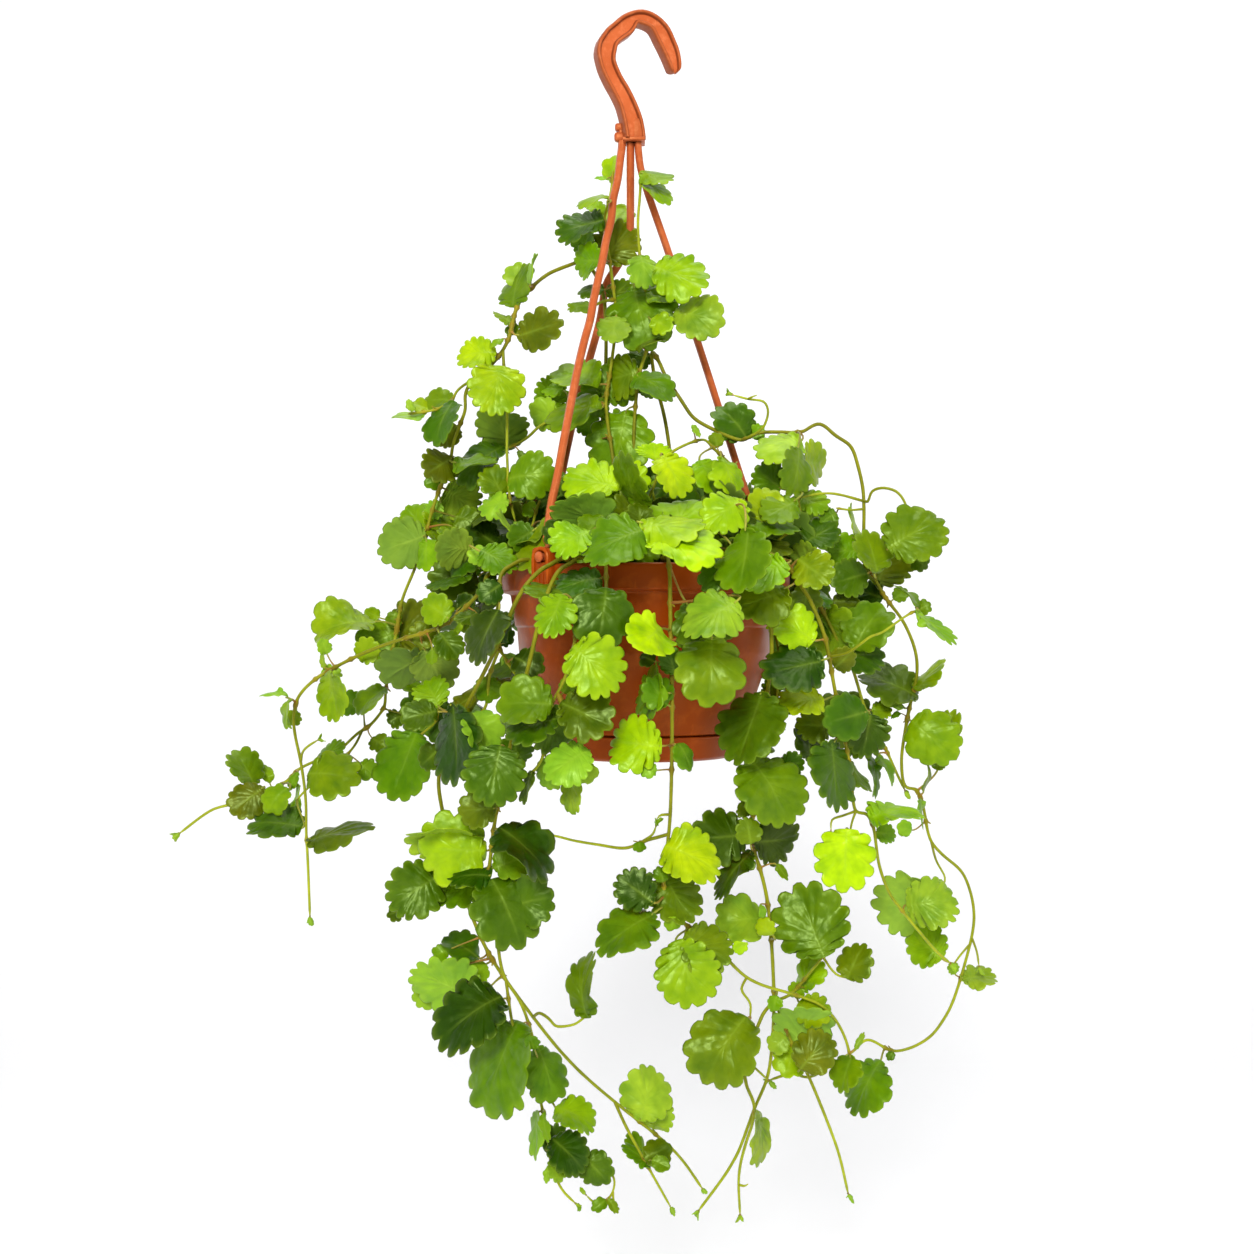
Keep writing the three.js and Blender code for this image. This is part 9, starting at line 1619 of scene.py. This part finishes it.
for k in range(420):
    i = rs.randint(len(top_at))
    px, py, pz = top_at[i]
    if math.hypot(px, py) > 68:
        continue
    r = rs.uniform(0.7, 2.4)
    bm = bmesh.new()
    bmesh.ops.create_icosphere(bm, subdivisions=1, radius=1.0)
    w = np.array([q.co for q in bm.verts])
    w = w * (1 + rs.uniform(-0.28, 0.28, (len(w), 1))) * r * rs.uniform(0.6, 1.2, 3)
    fs = np.array([[q.index for q in f.verts] for f in bm.faces])
    bm.free()
    b.add(w + np.array([px + AXIS_X + rs.uniform(-1, 1), py + rs.uniform(-1, 1), pz + r * 0.25]), fs, 0, PLAIN, (0, 0, 0, 0))
soil = b.make("potting_mix", [SOIL_M])
finish_piece(soil, ["soil"])

# ---------------------------------------------------------------- hanger: hook, block, three legs
# Stations along the hook: outer edge x, z and inner edge x, z, in mm, before its turn about Z.
HOOK = [-996, -5928, 111, -5928, -1011, -5835, 87, -5707, -1032, -5702, 66, -5527, -1055, -5552, 39, -5366, -1078, -5407, 7, -5199, -1104, -5266, -32, -5030,
-1134, -5130, -79, -4860, -1170, -4996, -134, -4692, -1212, -4854, -195, -4535, -1254, -4707, -260, -4384, -1295, -4565, -331, -4231, -1337, -4436, -411, -4068,
-1386, -4311, -495, -3906, -1443, -4188, -581, -3748, -1509, -4061, -666, -3598, -1581, -3932, -753, -3453, -1660, -3797, -837, -3317, -1747, -3656, -923,
-3194, -1843, -3512, -1008, -3080, -1938, -3365, -1091, -2966, -2028, -3214, -1169, -2848, -2114, -3062, -1241, -2727, -2198, -2909, -1309, -2603, -2278, -2753,
-1374, -2478, -2348, -2593, -1434, -2350, -2407, -2428, -1489, -2221, -2458, -2253, -1531, -2093, -2509, -2065, -1549, -1974, -2560, -1864, -1547, -1862, -2571,
-1661, -1532, -1750, -2550, -1468, -1509, -1630, -2512, -1277, -1484, -1511, -2449, -1089, -1461, -1396, -2337, -905, -1433, -1297, -2231, -729, -1383, -1198,
-2124, -567, -1306, -1103, -2008, -424, -1208, -1014, -1882, -302, -1099, -924, -1751, -186, -991, -834, -1622, -67, -878, -749, -1499, 57, -766, -662, -1374,
180, -661, -568, -1241, 294, -570, -460, -1095, 396, -490, -341, -938, 489, -421, -213, -756, 583, -378, -85, -549, 670, -323, 1, -325, 741, -244, 19, -111,
779, -143, 5, 93, 785, -32, -9, 282, 764, 92, -31, 479, 717, 200, -64, 678, 642, 296, -101, 878, 541, 376, -148, 1056, 425, 452, -219, 1211, 300, 520, -317,
1343, 169, 586, -432, 1453, 32, 653, -557, 1546, -116, 722, -680, 1627, -271, 793, -802, 1703, -429, 865, -924, 1778, -587, 936, -1046, 1855, -745, 1006, -1168,
1926, -904, 1074, -1292, 1985, -1069, 1141, -1417, 2030, -1239, 1205, -1543, 2066, -1412, 1268, -1671, 2092, -1587, 1330, -1799, 2104, -1765, 1392, -1929, 2091,
-1944, 1455, -2062, 2066, -2106, 1524, -2212, 2047, -2236, 1605, -2392]
b = Builder()


def hook_section(o, i, k):
    """One closed section across the hook: raised ribs at both edges, a shallow recess between them."""
    w = np.linalg.norm(i - o)
    c = min(1.0, w / 7.4)
    T = 4.0
    half = [(0.0, 2.6), (0.12, 3.3), (0.45, 3.82), (0.9, T), (1.35 * c + 0.1, 3.96), (1.75 * c + 0.1, 3.55), (1.95 * c + 0.15, 2.5), (2.35 * c + 0.15, 2.05)]
    up = half + [(w - d, y) for d, y in half[::-1]]
    prof = up + [(d, -y) for d, y in up[::-1]]
    e = (i - o) / w
    return np.array([(o[0] + e[0] * d, y, o[1] + e[1] * d) for d, y in prof])


S = np.array(HOOK).reshape(-1, 4)[:-2] / 100.0
rows = [hook_section(s[:2], s[2:], k) for k, s in enumerate(S)]
# rounded tip: three more sections, each smaller
o, i = S[-1][:2], S[-1][2:]
mid = (o + i) / 2
ahead = mid - (S[-2][:2] + S[-2][2:]) / 2
ahead /= np.linalg.norm(ahead)
for f, g in ((0.9, 0.82), (1.5, 0.55), (1.85, 0.22)):
    r = rows[len(S) - 1].copy()
    c0 = np.array([mid[0], 0, mid[1]])
    rows.append(c0 + (r - c0) * g + np.array([ahead[0], 0, ahead[1]]) * f)
n = len(rows[0])
v = turned(np.vstack(rows), 20.0)
j = np.arange(n)
jn = (j + 1) % n
q = np.vstack([np.stack([k * n + j, k * n + jn, (k + 1) * n + jn, (k + 1) * n + j], 1) for k in range(len(rows) - 1)])
t = np.vstack([q[:, :3], q[:, [0, 2, 3]]])
cen = v.mean(0)
vol = np.einsum("ij,ij->i", v[t[:, 0]] - cen, np.cross(v[t[:, 1]] - cen, v[t[:, 2]] - cen)).sum()
caps = [list(range(n))[::-1], [(len(rows) - 1) * n + k for k in range(n)]]
if vol < 0:
    q = q[:, ::-1]
    caps = [c[::-1] for c in caps]
base = b.n
# painted shade darkens the sides and foot of each rib, and a painted highlight makes the web between them pale
half = np.array([0.66, 0.66, 0.74, 0.92, 0.90, 0.62, 0.30, 1.22])
one = np.r_[half, half[::-1], half, half[::-1]]
painted_rib_shade_and_web_highlight = np.tile(one, len(rows))[:, None] * np.ones(3)
b.add(v, q, 0, painted_rib_shade_and_web_highlight, (0, 0, 0, 0))
b.f.append(np.array([c for c in caps]) + base)
b.m.append(np.zeros(2, int))

same = lambda p: p
BX = -4.2
block(b, 9.6, 7.2, 12.0, (BX, 0, -54.4), 0.9, same)
block(b, 11.6, 10.6, 1.7, (BX, 0, -59.55), 0.55, same)
for z, w, h in ((-52.4, 5.2, 4.0), (-57.4, 5.9, 4.6)):
    block(b, w, 5.2, h, (BX - 7.3, 0, z), 1.5, same)
block(b, 3.0, 3.8, 9.4, (BX - 6.4, 0, -55.0), 0.9, same)


def leg_tube(P, W, T_):
    """A leg: a rounded section with a fine ridge down its outer face."""
    n = len(P)
    Tn = unit(np.gradient(P, axis=0))
    out = P - np.array([AXIS_X, 0, 0])
    out[:, 2] = 0
    if np.linalg.norm(out[-1]) > 0:
        out = np.repeat(unit(out[-1])[None], n, 0)
    N = unit(out - (out * Tn).sum(1, keepdims=True) * Tn)
    B = np.cross(Tn, N)
    prof = []
    for k in range(20):
        a = 2 * math.pi * k / 20
        ca, sa = math.cos(a), math.sin(a)
        e = 0.72
        x = abs(ca) ** e * (1 if ca >= 0 else -1) * T_ / 2
        y = abs(sa) ** e * (1 if sa >= 0 else -1) * W / 2
        if abs(a) < 0.2 or abs(a - 2 * math.pi) < 0.2:
            x += 0.45
        prof.append((x, y))
    prof = np.array(prof)
    m = len(prof)
    v = (P[:, None] + prof[None, :, :1] * N[:, None] + prof[None, :, 1:] * B[:, None]).reshape(-1, 3)
    j = np.arange(m)
    jn = (j + 1) % m
    q = np.vstack([np.stack([k * m + j, k * m + jn, (k + 1) * m + jn, (k + 1) * m + j], 1) for k in range(n - 1)])
    base = b.n
    b.add(v, q, 0, PLAIN, (0, 0, 0, 0))
    b.f.append(np.array([list(range(m))[::-1], [(n - 1) * m + k for k in range(m)]]) + base)
    b.m.append(np.zeros(2, int))


for deg, leg in zip(LUGS, LEGS):
    a = math.radians(deg)
    at = lambda r, z: np.array([AXIS_X + r * math.sin(a), -r * math.cos(a), z])
    pts = np.array(leg, float).reshape(-1, 3) / 10.0
    P = np.vstack([[pts[0][0], pts[0][1], -57.4], pts, at(71.6, -272), at(72, -280.3)])
    leg_tube(catmull(P, 3.0), 4.1, 3.4)
    # the foot: a rounded paddle with its peg through the lug
    foot = rounded_rect(8.2, 9.6, 3.0, 6, 0, -277.8)
    hole = rounded_rect(2.6, 2.6, 1.2, 6, 0, -278.5)
    slab(b, foot, hole, -73.3, -70.9, 0.5, lug_place(deg))
    peg = np.array([at(r, -278.5) for r in (71.2, 74.0, 76.6, 78.3)])
    tube(b, peg, 1.9, 16, 0, PLAIN, (0, 0, 0, 0))
    head = np.array([at(r, -278.5) for r in (78.2, 78.7, 79.5, 80.0)])
    tube(b, head, np.array([2.3, 2.6, 2.5, 1.5]), 16, 0, PLAIN, (0, 0, 0, 0))
hang = b.make("hook_and_legs", [HANG_M])
sharpen(hang, 42)
finish_piece(hang, ["hanger"])


# ---------------------------------------------------------------- camera, stage and light
scene = bpy.context.scene
cam = bpy.data.cameras.new("view")
cam.sensor_width = 36.0
cam.lens = 36.0 * 720.0 / (1254 * 0.52)
cam.clip_start, cam.clip_end = 0.01, 50
cam.dof.use_dof = False
co = bpy.data.objects.new("view", cam)
co.location = (-0.0078, -0.720, -0.312)
co.rotation_euler = (math.radians(90), 0, 0)
scene.collection.objects.link(co)
scene.camera = co


def sweep():
    """The seamless pale floor: it runs up into a backdrop on all sides through a wide fillet."""
    r, rc, top = 0.55, 1.3, 2.6
    x0, x1, y0, y1 = -3.4, 3.4, -3.3, STAGE_Y
    path, inward = [], []
    for cx, cy, a0 in ((x1 - rc, y1 - rc, 0.0), (x0 + rc, y1 - rc, 0.5), (x0 + rc, y0 + rc, 1.0), (x1 - rc, y0 + rc, 1.5)):
        for k in range(13):
            a = math.pi * (a0 + 0.5 * k / 12)
            path.append((cx + rc * math.cos(a), cy + rc * math.sin(a)))
            inward.append((-math.cos(a), -math.sin(a)))
    path, inward = np.array(path), np.array(inward)
    rows = [(0.0, top), (0.0, 1.4)]
    for k in range(17):
        a = math.pi / 2 * k / 16
        rows.append((r - r * math.cos(a), r - r * math.sin(a)))
    v, f = [], []
    for off, z in rows:
        for q in path + inward * off:
            v.append((q[0], q[1], z + STAGE_Z))
    n = len(path)
    for i in range(len(rows) - 1):
        for k in range(n):
            kn = (k + 1) % n
            f.append((i * n + k, i * n + kn, (i + 1) * n + kn, (i + 1) * n + k))
    f.append([(len(rows) - 1) * n + k for k in range(n)])
    me = bpy.data.meshes.new("studio_sweep")
    me.from_pydata(v, [], f)
    for p in me.polygons:
        p.use_smooth = len(p.vertices) == 4
    ob = bpy.data.objects.new("studio_sweep", me)
    scene.collection.objects.link(ob)
    m, nt, bs, out = new_mat("studio_paper")
    obj = node(nt, "ShaderNodeTexCoord").outputs["Object"]
    c = mix(nt, noise(nt, obj, 3.0, 2.0), (0.90, 0.90, 0.905), (0.93, 0.93, 0.935))
    nt.links.new(c, bs.inputs["Base Color"])
    bs.inputs["Roughness"].default_value = 0.9
    bs.inputs["Specular IOR Level"].default_value = 0.1
    bs.inputs["Emission Color"].default_value = (1.0, 1.0, 1.0, 1.0)
    bs.inputs["Emission Strength"].default_value = 0.05
    me.materials.append(m)


STAGE_Y, STAGE_Z = 1.25, -0.76
sweep()


def area(name, loc, target, size, power, col=(1, 1, 1), size_y=None):
    l = bpy.data.lights.new(name, "AREA")
    l.energy = power
    l.color = col
    l.size = size
    if size_y:
        l.shape = "RECTANGLE"
        l.size_y = size_y
    o = bpy.data.objects.new(name, l)
    o.location = loc
    d = Vector(target) - Vector(loc)
    o.rotation_euler = d.to_track_quat("-Z", "Y").to_euler()
    scene.collection.objects.link(o)
    return o


area("key", (-0.30, -1.95, 0.60), (0.0, 0.0, -0.33), 0.5, 38.0)
area("front_right", (1.5, -1.2, 0.15), (0.0, 0.0, -0.35), 1.0, 4.0)
area("top", (0.1, 0.0, 1.2), (0.0, 0.0, -0.3), 0.9, 9.0)
area("wall", (0.0, 0.35, 1.5), (0.0, 1.25, -0.1), 1.6, 3.0, size_y=0.7)
w = bpy.data.worlds.new("studio")
scene.world = w
w.use_nodes = True
w.node_tree.nodes["Background"].inputs[0].default_value = (1.0, 1.0, 1.0, 1)
w.node_tree.nodes["Background"].inputs[1].default_value = 0.34
scene.view_settings.view_transform = "Standard"
scene.view_settings.look = "None"
scene.view_settings.exposure = 0.0
scene.view_settings.gamma = 1.0
